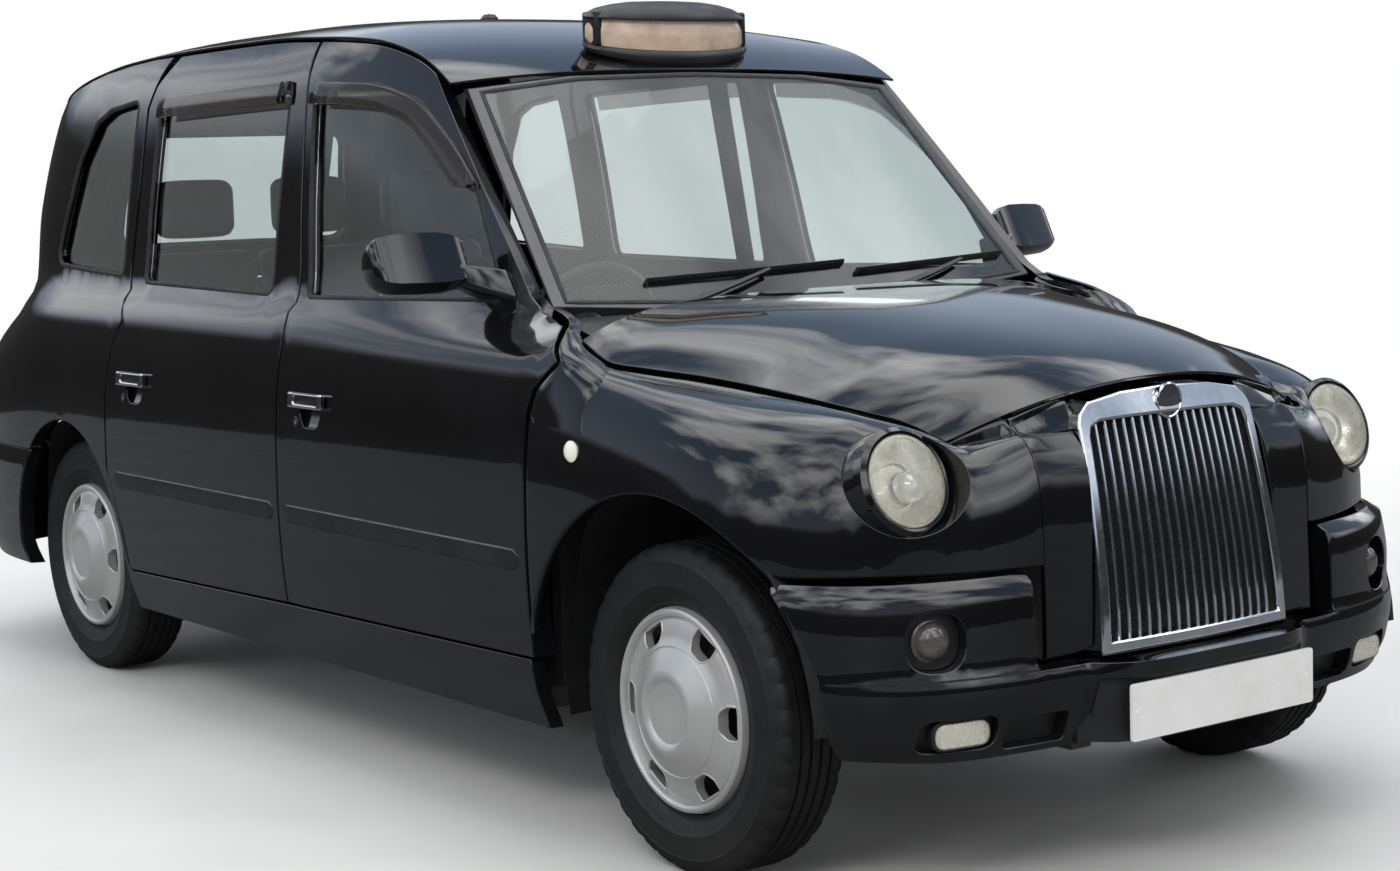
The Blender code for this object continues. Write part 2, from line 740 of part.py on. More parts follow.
def make_roof():
    def skin(u, v):
        across = 2 * u - 1
        point = roof_point(across, v)
        body = (1 - abs(across) ** 4) * min(v * ROOF_ROWS / 2, (1 - v) * ROOF_ROWS / 2, 1.0)
        lip = LIP + (ROOF_THICKNESS - LIP) * body
        top = point + Vector((0, 0, SEAM + LIP))
        return top, top - Vector((0, 0, lip))
    roof = sheet("roof_panel", "paint_black", ROOF_COLUMNS, ROOF_ROWS, skin)
    aerial_y = FRONT_AXLE_Y + AERIAL_PLACE
    foot = roof_height(0.0, aerial_y)
    unite(roof, prism_z("aerial", "paint_black", 0.0, aerial_y, AERIAL_RADIUS, foot, HEIGHT, 10))


def tail_seam_levels(high, low):
    """Shared heights for the points along the seams beside the rear window and the boot lid."""
    levels = [share * HEIGHT for share in TAIL_SEAM_SHARES]
    return [high] + [z for z in levels if low < z < high] + [low]


def make_side_frames():
    rear_gap = share_points(REAR_DOOR_SHARES)[REAR_GAP_START:]
    tail_low = BUMPER_TOP_Z + SEAM
    low_angle = math.asin((tail_low - AXLE_Z) / REAR_ARCH_HEIGHT)
    high_angle = pi - math.asin((SILL_BOTTOM_Z - AXLE_Z) / REAR_ARCH_HEIGHT)
    arch = []
    for step in range(ARCH_SEGMENTS + 1):
        angle = low_angle + (high_angle - low_angle) * step / ARCH_SEGMENTS
        y = REAR_AXLE_Y + REAR_ARCH_REACH * cos(angle)
        z = AXLE_Z + REAR_ARCH_HEIGHT * sin(angle)
        arch.append((tail_path(y, z), z))
    rows = [row / ROOF_ROWS for row in range(ROOF_ROWS + 1) if row / ROOF_ROWS > ROOF_REAR_SHARE]
    top = [roof_edge(share) for share in [ROOF_REAR_SHARE] + rows]
    seam = [(tail_path(y, z - SEAM), z - SEAM) for y, z in top]
    seam[0] = (seam[0][0], seam[0][1] - LIP / 2)
    window = [(tail_path(y, z), z) for y, z in
              refine(rounded(share_points(QUARTER_WINDOW_SHARES), QUARTER_WINDOW_RADII), CURVE_STEP)]
    pane = shrunk(window, SEAT_GAP)
    sill_front_y = FRONT_AXLE_Y + SILL_FRONT_SHARE * WHEELBASE
    front_low, middle_low = share_points(FRONT_DOOR_SHARES)[6:8]
    bottoms = [(sill_front_y, front_low[1]), middle_low, rear_gap[0]]
    door_bottom = [(tail_path(y, z - GAP), z - GAP) for y, z in bottoms]
    gap_line = []
    for y, z in rear_gap:
        clearance = GAP if z < BELT_Z else UPPER_GAP
        gap_line.append((tail_path(y + clearance, z), z))
    outline = [(tail_path(sill_front_y, SILL_BOTTOM_Z), SILL_BOTTOM_Z)]
    outline += door_bottom + gap_line + seam
    outline += [(QUARTER_END_PATH, z) for z in tail_seam_levels(seam[-1][1], tail_low)]
    outline += arch
    for side, side_name in ((-1, "right"), (1, "left")):
        panel("side_frame_" + side_name, "paint_black", outline, tail_skin(side, 0, BODY_THICKNESS),
              [window], levels=[share * HEIGHT for share in SIDE_LEVEL_SHARES])
        panel("quarter_glass_" + side_name, "glass", pane,
              tail_skin(side, GLASS_DEPTH, GLASS_THICKNESS))


# Bonnet and the wing tops. Columns: share of the way back, gap to the wing as (x share of
# HALF_WIDTH, place behind the front axle as a share of WHEELBASE, height share of HEIGHT), centre
# line place and height as the same shares, and squareness of the crown.
BONNET_SHARES = (
    (0.00, 0.552, -0.1535, 0.4780, -0.1850, 0.5310, 2.2),
    (0.08, 0.564, -0.1375, 0.4870, -0.1620, 0.5470, 2.3),
    (0.16, 0.594, -0.1235, 0.4980, -0.1390, 0.5590, 2.5),
    (0.26, 0.638, -0.0985, 0.5080, -0.1070, 0.5715, 2.7),
    (0.38, 0.672, -0.0620, 0.5180, -0.0660, 0.5845, 2.9),
    (0.52, 0.690, -0.0110, 0.5270, -0.0110, 0.5980, 3.1),
    (0.66, 0.736, 0.0350, 0.5370, 0.0350, 0.6065, 3.3),
    (0.78, 0.800, 0.0760, 0.5450, 0.0760, 0.6115, 3.5),
    (0.88, 0.845, 0.1020, 0.5520, 0.1100, 0.6135, 3.8),
    (1.00, 0.855, 0.1300, 0.5750, 0.1480, 0.6140, 4.2),
)
BONNET_COLUMNS = 10
BONNET_ROWS = 10
BONNET_THICKNESS = 0.020

# Wings: stations from the nose seam round to the door. Columns: share of the way, lower rail as
# the path from the centre line over HALF_WIDTH, and the share of the bonnet's edge that it meets.
WING_SHARES = (
    (0.00, 0.445, -0.10),
    (0.12, 0.560, 0.015),
    (0.24, 0.680, 0.15),
    (0.36, 0.810, 0.27),
    (0.48, 0.950, 0.39),
    (0.60, 1.120, 0.47),
    (0.72, 1.330, 0.56),
    (0.84, 1.620, 0.70),
    (0.93, 1.980, 0.84),
    (1.00, 2.340, 0.96),
)
WING_SQUARENESS_SHARE = 2.6
WING_BASE_Z = 0.638
WING_BOTTOM_Z = 0.440
WING_LENGTH = 1.300
WING_HEIGHT = 0.420
DOOR_LINE_STEP = 0.060
SEAM_TOP_X = 0.378
SEAM_TOP_Y = 0.500
SEAM_TOP_Z = 0.890
LAMP_X = 0.6147
LAMP_Y = 0.4676
LAMP_Z = 0.8134
LAMP_TILT = radians(19)
LAMP_RADIUS = 0.1060
LENS_RADIUS = 0.0950
LAMP_DEPTH = 0.120
LENS_CROWN = 0.022
LAMP_SEGMENTS = 24


def bonnet_edge(share):
    """The bonnet's outer edge on the left side."""
    x = curve_value(BONNET_SHARES, 1, share) * HALF_WIDTH
    y = FRONT_AXLE_Y + curve_value(BONNET_SHARES, 2, share) * WHEELBASE
    z = curve_value(BONNET_SHARES, 3, share) * HEIGHT
    return Vector((x, y, z))


def bonnet_point(across, share):
    edge = bonnet_edge(share)
    centre_y = FRONT_AXLE_Y + curve_value(BONNET_SHARES, 4, share) * WHEELBASE
    centre_z = curve_value(BONNET_SHARES, 5, share) * HEIGHT
    crown = curve_value(BONNET_SHARES, 6, share)
    bend = abs(across) ** crown
    return Vector((across * edge.x, centre_y + (edge.y - centre_y) * bend,
                   centre_z + (edge.z - centre_z) * bend))


def make_bonnet():
    def skin(u, v):
        point = bonnet_point(2 * u - 1, v)
        body = (1 - abs(2 * u - 1) ** 6) * min(v * BONNET_ROWS / 2, 1.0)
        return point, point - Vector((0, 0, LIP + (BONNET_THICKNESS - LIP) * body))
    return sheet("bonnet_panel", "paint_black", BONNET_COLUMNS, BONNET_ROWS, skin)


def nose_path_point(path, z):
    """A point of the body's front slice, by the path from the centre line."""
    width, nose, nose_n, tail, tail_n = slice_at(z)
    point, _ = round_end(path, z, width, nose, nose_n, FRONT_AXLE_Y, -1.0, FRONT_OVERHANG)
    return point


def wing_upper(share):
    """The wing's upper rail: the seam's top, then the bonnet's edge moved out by the gap."""
    key = curve_value(WING_SHARES, 2, share)
    seam_top = Vector((SEAM_TOP_X, FRONT_AXLE_Y - SEAM_TOP_Y, SEAM_TOP_Z - GAP))
    if key < 0:
        corner = bonnet_edge(0)
        corner.x += GAP
        corner.z -= GAP + LIP
        return seam_top.lerp(corner, 1 - key / WING_SHARES[0][2])
    edge = bonnet_edge(key)
    edge.x += GAP * 1.2
    edge.z -= GAP * 1.4
    return edge


def wing_point(along, up):
    """along runs round the wing in metres, up from below its base to the bonnet, in metres."""
    share = min(max(along / WING_LENGTH, 0.0), 1.0)
    path = curve_value(WING_SHARES, 1, share) * HALF_WIDTH
    if up <= 0:
        return nose_path_point(path, WING_BASE_Z + up)
    low = nose_path_point(path, WING_BASE_Z)
    high = wing_upper(share)
    angle = min(up / WING_HEIGHT, 1.0) * pi / 2
    out = cos(angle) ** (2 / WING_SQUARENESS_SHARE) if angle < pi / 2 else 0.0
    rise = sin(angle) ** (2 / WING_SQUARENESS_SHARE)
    return Vector((high.x + (low.x - high.x) * out, high.y + (low.y - high.y) * out,
                   low.z + (high.z - low.z) * rise))


def solve_wing(measure, goal, along, up):
    """Finds the wing coordinates at which a measure of the surface point takes a goal value."""
    step = SKIN / 10
    for _ in range(30):
        here = Vector(measure(wing_point(along, up)))
        error = Vector(goal) - here
        if error.length < SEAT_GAP / 100:
            break
        by_along = (Vector(measure(wing_point(along + step, up))) - here) / step
        by_up = (Vector(measure(wing_point(along, up + step))) - here) / step
        det = by_along.x * by_up.y - by_up.x * by_along.y
        if abs(det) < 1e-9:
            break
        move_along = (error.x * by_up.y - by_up.x * error.y) / det
        move_up = (by_along.x * error.y - error.x * by_along.y) / det
        limit = WING_HEIGHT / 6
        along += min(max(move_along, -limit), limit)
        up += min(max(move_up, -limit), limit)
        along = min(max(along, 0.0), WING_LENGTH - step)
        up = min(max(up, -WING_HEIGHT), WING_HEIGHT - step * 2)
    return along, up


def side_view(point):
    return point.y, point.z


def wing_skin(side, thickness):
    """The wing's two faces. Round the lamp's hole the edge runs straight back."""
    step = SKIN / 10
    lamp_centre, lamp_forward, _, _ = lamp_frame(1)

    def skin(along, up):
        point = wing_point(along, up)
        low_along = max(along - step, 0.0)
        low_up = up - step
        across = wing_point(low_along + 2 * step, up) - wing_point(low_along, up)
        rise = wing_point(along, min(up + step, WING_HEIGHT)) - wing_point(along, low_up)
        normal = across.cross(rise).normalized()
        if normal.dot(Vector((1, -1, 1))) < 0:
            normal = -normal
        normal.x *= min(along / SEAM_TURN, 1.0)
        normal.normalize()
        arm = point - lamp_centre
        radial = (arm - lamp_forward * arm.dot(lamp_forward)).length
        if arm.y < LAMP_RADIUS:
            weight = min(max(1 - (radial - LAMP_RADIUS) / (LAMP_RADIUS / 2), 0.0), 1.0)
            normal = normal.lerp(lamp_forward, weight).normalized()
        inner = point - normal * thickness
        return Vector((side * point.x, point.y, point.z)), Vector((side * inner.x, inner.y, inner.z))
    return skin


def lamp_frame(side):
    """Axes of a headlamp: forwards out of the lens, across and up the lens."""
    forward = Vector((0, -cos(LAMP_TILT), sin(LAMP_TILT)))
    across = Vector((1, 0, 0))
    lift = Vector((0, sin(LAMP_TILT), cos(LAMP_TILT)))
    centre = Vector((side * LAMP_X, FRONT_AXLE_Y - LAMP_Y, LAMP_Z))
    return centre, forward, across, lift


def make_wings():
    rear_y = FRONT_AXLE_Y + FRONT_DOOR_SHARES[6][0] * WHEELBASE - GAP
    low_angle = math.asin((WING_BOTTOM_Z - AXLE_Z) / ARCH_RADIUS)
    high_angle = pi - math.asin((WING_BASE_Z - AXLE_Z) / ARCH_RADIUS)
    arch = []
    for step in range(ARCH_SEGMENTS + 1):
        angle = high_angle + (low_angle - high_angle) * step / ARCH_SEGMENTS
        arch.append((FRONT_AXLE_Y - ARCH_RADIUS * cos(pi - angle), AXLE_Z + ARCH_RADIUS * sin(angle)))
    outline = [(0.0, 0.0)]
    guess = (WING_LENGTH * 0.5, 0.0)
    for spot in arch:
        guess = solve_wing(side_view, spot, *guess)
        outline.append(guess)
    door_line = [(rear_y, WING_BOTTOM_Z)]
    door_line += [(y - GAP, z) for y, z in reversed(share_points(FRONT_DOOR_SHARES)[3:6])]
    for low, high in zip(door_line, door_line[1:]):
        run = Vector(high) - Vector(low)
        pieces = math.ceil(run.length / DOOR_LINE_STEP)
        for piece in range(pieces):
            guess = solve_wing(side_view, Vector(low) + run * (piece / pieces), *guess)
            outline.append(guess)
    guess = solve_wing(side_view, door_line[-1], *guess)
    outline.append(guess)
    top_pieces = 12
    for step in range(top_pieces + 1):
        outline.append((guess[0] * (1 - step / top_pieces), WING_HEIGHT))
    outline += [(0.0, WING_HEIGHT * row / SEAM_ROWS * SEAM_SPAN_SHARE) for row in range(SEAM_ROWS, 0, -1)]
    centre, forward, across, lift = lamp_frame(1)

    def lamp_view(point):
        return (point - centre).dot(across), (point - centre).dot(lift)
    hole = []
    spot = (WING_LENGTH * 0.2, WING_HEIGHT * 0.4)
    hole_radius = LAMP_RADIUS + SEAT_GAP * 2
    for step in range(LAMP_SEGMENTS):
        angle = 2 * pi * step / LAMP_SEGMENTS
        spot = solve_wing(lamp_view, (hole_radius * cos(angle), hole_radius * sin(angle)), *spot)
        hole.append(spot)
    for side, side_name in ((-1, "right"), (1, "left")):
        panel("front_wing_" + side_name, "paint_black", outline, wing_skin(side, SKIN), [hole],
              PANEL_STEP * 0.6)


def make_headlamps():
    for side, side_name in ((-1, "right"), (1, "left")):
        centre, forward, across, lift = lamp_frame(side)
        turn = Matrix((forward, across, lift)).transposed().to_4x4()
        turn.translation = centre
        profile = [(0, -LAMP_DEPTH), (LENS_RADIUS * 0.6, -LAMP_DEPTH), (LAMP_RADIUS, -LAMP_DEPTH * 0.4),
                   (LAMP_RADIUS, 0), (LENS_RADIUS, SKIN / 2), (LENS_RADIUS * 0.7, LENS_CROWN * 0.7),
                   (0, LENS_CROWN * 1.1)]
        revolve_solid("headlamp_" + side_name, "lamp", profile, LAMP_SEGMENTS, turn)


# Windscreen and its frame, in front view. Columns: x as a share of HALF_WIDTH, z of HEIGHT.
SCREEN_GLASS_SHARES = ((0.757, 0.6125), (0.678, 0.8680), (0.380, 0.8835), (0.0, 0.8880))
SCREEN_FOOT_SHARE = 0.6035
FRAME_SHARES = ((0.798, 0.6080), (0.712, 0.8730), (0.400, 0.8885), (0.0, 0.8925))
FRAME_FOOT_SHARE = 0.5950
FRAME_SLAB = 0.026
FRAME_LIP = 0.006


def both_sides(shares, foot_share):
    """A symmetric front-view outline from its right-hand points and the height of its foot."""
    right = [(x * HALF_WIDTH, z * HEIGHT) for x, z in shares]
    foot = foot_share * HEIGHT
    half_foot = [(right[0][0], right[0][1]), (right[0][0] * 0.5, foot), (0.0, foot)]
    left = [(-x, z) for x, z in right[:-1]]
    return right[1:] + left[::-1] + [(-x, z) for x, z in half_foot[1:2]] + [half_foot[2]] + [
        half_foot[1], right[0]]


def make_windscreen():
    glass = refine(both_sides(SCREEN_GLASS_SHARES, SCREEN_FOOT_SHARE), CURVE_STEP)
    frame = both_sides(FRAME_SHARES, FRAME_FOOT_SHARE)
    edge_x = FRAME_SHARES[0][0] * HALF_WIDTH
    glass_x = SCREEN_GLASS_SHARES[0][0] * HALF_WIDTH

    def frame_skin(x, z):
        y = screen_y(x, z)
        inset = min(max((abs(x) - glass_x * 0.85) / (edge_x - glass_x * 0.85), 0.0), 1.0)
        depth = FRAME_SLAB + (FRAME_LIP - FRAME_SLAB) * inset
        return Vector((x, y, z)), Vector((x, y + depth, z))

    def glass_face(x, z):
        y = screen_y(x, z) + SEAT_GAP
        return Vector((x, y, z)), Vector((x, y + SCREEN_THICKNESS, z))
    panel("windscreen_frame", "paint_black", frame, frame_skin, [glass])
    panel("windscreen", "glass", shrunk(glass, SEAT_GAP), glass_face)


# Scuttle: the tray under the wipers, between the bonnet and the windscreen.
SCUTTLE_DROP = 0.030
SCUTTLE_FRONT_GAP = 0.012
SCUTTLE_DEPTH = 0.090
WIPER_PIVOT_XS = (-0.330, 0.330)
WIPER_ARM_LENGTH = 0.400
WIPER_BLADE_LENGTH = 0.520
WIPER_RADIUS = 0.006
WIPER_LIFT = 0.028


def make_scuttle():
    columns = 12
    edge_x = FRAME_SHARES[0][0] * HALF_WIDTH - SKIN

    def skin(u, v):
        x = (2 * u - 1) * edge_x
        rear_z = FRAME_FOOT_SHARE * HEIGHT - SEAM
        rear_y = screen_y(x, rear_z) + FRAME_LIP
        share = abs(x) / (BONNET_SHARES[-1][1] * HALF_WIDTH)
        front = bonnet_point(min(share, 1.0), 1.0)
        front_y = front.y + SCUTTLE_FRONT_GAP
        y = front_y + (rear_y - front_y) * v
        front_z = min(front.z, rear_z) - SCUTTLE_DROP
        z = front_z + (rear_z - front_z) * v
        return Vector((x, y, z)), Vector((x, y, front_z - SCUTTLE_DROP))
    return sheet("scuttle", "plastic_black", columns, 2, skin)


# Nose: the painted strips beside the grille, joined under it.
NOSE_BULGE = 0.020
SEAM_TURN = 0.060
MESH_SETBACK = 0.003
SEAM_ROWS = 6
SEAM_SPAN_SHARE = 0.86
GRILLE_LOW_X = 0.2658
GRILLE_HIGH_X = 0.2467
GRILLE_LOW_Z = 0.454
GRILLE_SHOULDER_Z = 0.920
GRILLE_TOP_Z = 0.955
GRILLE_LOW_Y = 0.6278
GRILLE_HIGH_Y = 0.5441
GRILLE_BULGE = 0.012
GRILLE_SIDE = 0.026
GRILLE_TOP_BAND = 0.056
GRILLE_FOOT_BAND = 0.026
GRILLE_DEPTH = 0.050
BAR_FRONT = 0.008
BAR_BACK = 0.024
GRILLE_BARS = 17
GRILLE_BAR_WIDTH = 0.0075
NOSE_FOOT_Z = 0.425


def grille_y(z, x=0.0):
    """The grille's front face: it leans back towards the top and bulges a little."""
    share = (z - GRILLE_LOW_Z) / (GRILLE_SHOULDER_Z - GRILLE_LOW_Z)
    lean = GRILLE_LOW_Y + (GRILLE_HIGH_Y - GRILLE_LOW_Y) * share ** 1.6 if share > 0 else GRILLE_LOW_Y
    bow = GRILLE_BULGE * (1 - (x / GRILLE_LOW_X) ** 2)
    return FRONT_AXLE_Y - lean - bow


def grille_outline(inset, gap=0.0, foot=None):
    """The grille frame's front-view outline, moved in by an inset and out by a gap."""
    shift = inset - gap
    low_z = GRILLE_LOW_Z + (inset if foot is None else foot) - gap
    low_x = GRILLE_LOW_X - shift
    high_x = GRILLE_HIGH_X - shift
    shoulder_z = GRILLE_SHOULDER_Z - shift
    top_z = GRILLE_TOP_Z - (GRILLE_TOP_BAND if inset > 0 else -gap)
    right = [(low_x, low_z), (high_x, shoulder_z - GRILLE_SIDE), (high_x * 0.97, shoulder_z - GRILLE_SIDE * 0.3),
             (high_x * 0.86, shoulder_z + (top_z - shoulder_z) * 0.45),
             (high_x * 0.5, shoulder_z + (top_z - shoulder_z) * 0.86), (0.0, top_z)]
    return right + [(-x, z) for x, z in reversed(right[:-1])]


def seam_point(z):
    """The wing's front edge at a height, on the left side."""
    if z <= WING_BASE_Z:
        return wing_point(0.0, z - WING_BASE_Z)
    low_z, high_z = wing_point(0.0, 0.0).z, wing_upper(0.0).z
    rise = min((z - low_z) / (high_z - low_z), 1.0)
    angle = math.asin(rise ** (WING_SQUARENESS_SHARE / 2))
    return wing_point(0.0, WING_HEIGHT * angle / (pi / 2))


def nose_skin(x, z):
    """The nose meets the wings flush. Its foot passes behind the bumper."""
    seam = seam_point(z)
    y = seam.y - NOSE_BULGE * (1 - (x / seam.x) ** 2)
    if z < BUMPER_STEP_Z + LIP:
        y += BUMPER_WALL
    return Vector((x, y, z)), Vector((x, y + SKIN, z))


def make_nose():
    """The strips beside the grille, joined under it."""
    notch = GRILLE_HIGH_X + SEAM
    notch_z = bonnet_point(notch / bonnet_edge(0).x, 0.0).z - LIP - GAP * 5
    share = (notch_z - GRILLE_LOW_Z) / (GRILLE_SHOULDER_Z - GRILLE_SIDE - GRILLE_LOW_Z)
    notch_x = GRILLE_LOW_X + (GRILLE_HIGH_X - GRILLE_LOW_X) * min(share, 1.0) + SEAM
    right = [(GRILLE_LOW_X + SEAM, GRILLE_LOW_Z - SEAM), (notch_x, notch_z)]
    for row in range(SEAM_ROWS, -1, -1):
        point = wing_point(0.0, WING_HEIGHT * row / SEAM_ROWS * SEAM_SPAN_SHARE)
        right.append((point.x - SEAM, point.z))
    for z in (BUMPER_STEP_Z + SKIN, BUMPER_STEP_Z + LIP / 2, NOSE_FOOT_Z):
        right.append((seam_point(z).x - SEAM, z))
    outline = right + [(-x, z) for x, z in reversed(right)]
    panel("nose_panel", "paint_black", outline, nose_skin, (), PANEL_STEP, CURVE_STEP * 1.4)


def make_grille():
    outer = grille_outline(0.0)
    inner = grille_outline(GRILLE_SIDE, 0.0, GRILLE_FOOT_BAND)

    def skin(x, z):
        y = grille_y(z, x)
        return Vector((x, y, z)), Vector((x, y + GRILLE_DEPTH, z))
    frame = panel("grille", "chrome", outer, skin, [inner], PANEL_STEP, CURVE_STEP)
    bars = []
    pitch = 2 * (GRILLE_HIGH_X - GRILLE_SIDE) / (GRILLE_BARS + 1)
    spread_share = (GRILLE_LOW_X - GRILLE_SIDE) / (GRILLE_HIGH_X - GRILLE_SIDE)
    rows = 3
    low_z = GRILLE_LOW_Z + GRILLE_FOOT_BAND * 0.5
    high_z = GRILLE_TOP_Z - GRILLE_TOP_BAND * 0.7
    for index in range(GRILLE_BARS):
        top_x = -GRILLE_HIGH_X + GRILLE_SIDE + pitch * (index + 1)
        edge_share = abs(top_x) / (GRILLE_HIGH_X - GRILLE_SIDE)
        reach_z = high_z - (GRILLE_TOP_Z - GRILLE_SHOULDER_Z) * edge_share ** 2
        rings = []
        for row in range(rows + 1):
            z = low_z + (reach_z - low_z) * row / rows
            lean = (z - low_z) / (high_z - low_z)
            x = top_x * (spread_share + (1 - spread_share) * lean)
            y = grille_y(z, x) + BAR_FRONT
            half = GRILLE_BAR_WIDTH / 2
            back_y = grille_y(z, x) + BAR_BACK
            rings.append([Vector((x - half, y, z)), Vector((x + half, y, z)),
                          Vector((x + half, back_y, z)), Vector((x - half, back_y, z))])
        bars.append(loft("bar", "chrome", rings))
    unite(frame, *bars)
    backing = shrunk(refine(inner, CURVE_STEP), SEAT_GAP * 2)

    def backing_skin(x, z):
        y = grille_y(z, x) + BAR_BACK + MESH_SETBACK
        return Vector((x, y, z)), Vector((x, y + LIP, z))
    panel("grille_mesh", "plastic_black", backing, backing_skin, (), PANEL_STEP)


# Front bumper. Columns: height as a share of HEIGHT, half width as a share of HALF_WIDTH, reach as
# a share of FRONT_OVERHANG, squareness.
BUMPER_SHARES = (
    (0.155, 0.950, 0.870, 3.6),
    (0.190, 0.980, 0.895, 3.6),
    (0.236, 0.986, 0.915, 3.6),
    (0.246, 0.986, 0.905, 3.6),
    (0.252, 0.986, 0.895, 3.6),
    (0.290, 0.989, 0.892, 3.6),
    (0.335, 0.985, 0.880, 3.5),
    (0.3446, 0.975, 0.862, 3.5),
)
BUMPER_FOOT_Z = 0.290
BUMPER_STEP_Z = 0.450
BUMPER_WALL = 0.045
BUMPER_CHIN = 0.060
CHIN_HALF = 0.300
POD_X = 0.424
PLATE_WIDTH = 0.520
PLATE_HEIGHT = 0.111
PLATE_THICKNESS = 0.004
PLATE_Y = 0.6755
PLATE_Z = 0.3534
INDICATOR_X = 0.632
INDICATOR_Z = 0.522
INDICATOR_RADIUS = 0.055
INDICATOR_DEPTH = 0.020
FOG_X = 0.591
FOG_Z = 0.344
FOG_HALF_WIDTH = 0.078
FOG_HALF_HEIGHT = 0.032


def bumper_point(path, z):
    key = z / HEIGHT
    width = curve_value(BUMPER_SHARES, 1, key) * HALF_WIDTH
    reach = curve_value(BUMPER_SHARES, 2, key) * FRONT_OVERHANG
    power = curve_value(BUMPER_SHARES, 3, key)
    point, normal = round_end(path, z, width, reach, power, FRONT_AXLE_Y, -1.0, FRONT_OVERHANG)
    chin = max(0.0, 1 - (abs(point.x) / CHIN_HALF) ** 6) if abs(point.x) < CHIN_HALF else 0.0
    low = min(max((BUMPER_STEP_Z + SKIN - z) / SKIN, 0.0), 1.0)
    point.y -= (FRONT_OVERHANG - reach) * chin * low
    return point, normal


def bumper_path(y, z):
    low, high = HALF_WIDTH, HALF_WIDTH + FRONT_OVERHANG
    for _ in range(40):
        middle = (low + high) / 2
        if bumper_point(middle, z)[0].y < y:
            low = middle
        else:
            high = middle
    return (low + high) / 2


def pod_path():
    low, high = 0.0, HALF_WIDTH
    for _ in range(40):
        middle = (low + high) / 2
        if bumper_point(middle, BUMPER_STEP_Z)[0].x < POD_X:
            low = middle
        else:
            high = middle
    return (low + high) / 2


def make_front_bumper():
    arch = []
    for step in range(7):
        z = BUMPER_TOP_Z + (BUMPER_FOOT_Z + SKIN - BUMPER_TOP_Z) * step / 6
        y = FRONT_AXLE_Y - math.sqrt(ARCH_RADIUS ** 2 - (z - AXLE_Z) ** 2)
        arch.append((bumper_path(y, z), z))
    pod = pod_path()
    right = [(pod, BUMPER_STEP_Z), (pod, BUMPER_TOP_Z)] + arch
    foot = [(HALF_WIDTH * 0.8, BUMPER_FOOT_Z), (-HALF_WIDTH * 0.8, BUMPER_FOOT_Z)]
    outline = right + foot + [(-path, z) for path, z in reversed(right)]

    def skin(path, z):
        point, normal = bumper_point(path, z)
        return point, point - normal * BUMPER_WALL
    bumper = panel("front_bumper", "paint_black", outline, skin, (), PANEL_STEP * 0.7)
    cutters = []
    for side in (-1, 1):
        face_y = face_depth(INDICATOR_X, INDICATOR_Z)
        cutters.append(prism_cylinder(side * INDICATOR_X, INDICATOR_Z, INDICATOR_RADIUS,
                                      face_y - BUMPER_WALL, face_y + INDICATOR_DEPTH))
        face_y = face_depth(FOG_X, FOG_Z)
        corners = [(side * FOG_X - FOG_HALF_WIDTH, FOG_Z - FOG_HALF_HEIGHT),
                   (side * FOG_X + FOG_HALF_WIDTH, FOG_Z - FOG_HALF_HEIGHT),
                   (side * FOG_X + FOG_HALF_WIDTH, FOG_Z + FOG_HALF_HEIGHT),
                   (side * FOG_X - FOG_HALF_WIDTH, FOG_Z + FOG_HALF_HEIGHT)]
        cutters.append(prism("cut", "steel", rounded(corners, FOG_HALF_HEIGHT * 0.7, 3), 1,
                             face_y - BUMPER_WALL, face_y + INDICATOR_DEPTH))
    cut(bumper, *cutters)


def face_depth(x, z):
    """The y of the bumper's face at a front-view place."""
    low, high = 0.0, HALF_WIDTH
    for _ in range(40):
        middle = (low + high) / 2
        if bumper_point(middle, z)[0].x < x:
            low = middle
        else:
            high = middle
    return bumper_point(low, z)[0].y


def prism_cylinder(x, z, radius, start, end, sides=20):
    outline = [(x + radius * cos(2 * pi * i / sides), z + radius * sin(2 * pi * i / sides))
               for i in range(sides)]
    return prism("cut", "steel", outline, 1, start, end)


# Tail: rear window panel, boot lid, rear bumper and lamps. Shares of HALF_WIDTH and of HEIGHT.
TAIL_WINDOW_SHARES = ((0.520, 0.655), (0.500, 0.845), (-0.500, 0.845), (-0.520, 0.655))
TAIL_WINDOW_RADIUS = 0.060
TAIL_SPLIT_SHARE = 0.592
BOOT_LOW_SHARE = 0.352
BOOT_SKIN = 0.030
REAR_LAMP_PATH = 0.600
REAR_BUMPER_SHARES = (
    (0.130, 0.950, 0.960, 5.0),
    (0.190, 0.985, 0.995, 5.0),
    (0.290, 0.992, 1.000, 5.0),
    (0.335, 0.990, 0.996, 5.0),
    (0.3446, 0.982, 0.985, 5.0),
)
REAR_BUMPER_FOOT_Z = 0.270


def tail_sheet_skin(thickness):
    def skin(path, z):
        point, normal = tail_point(path, z)
        return point, point - normal * thickness
    return skin


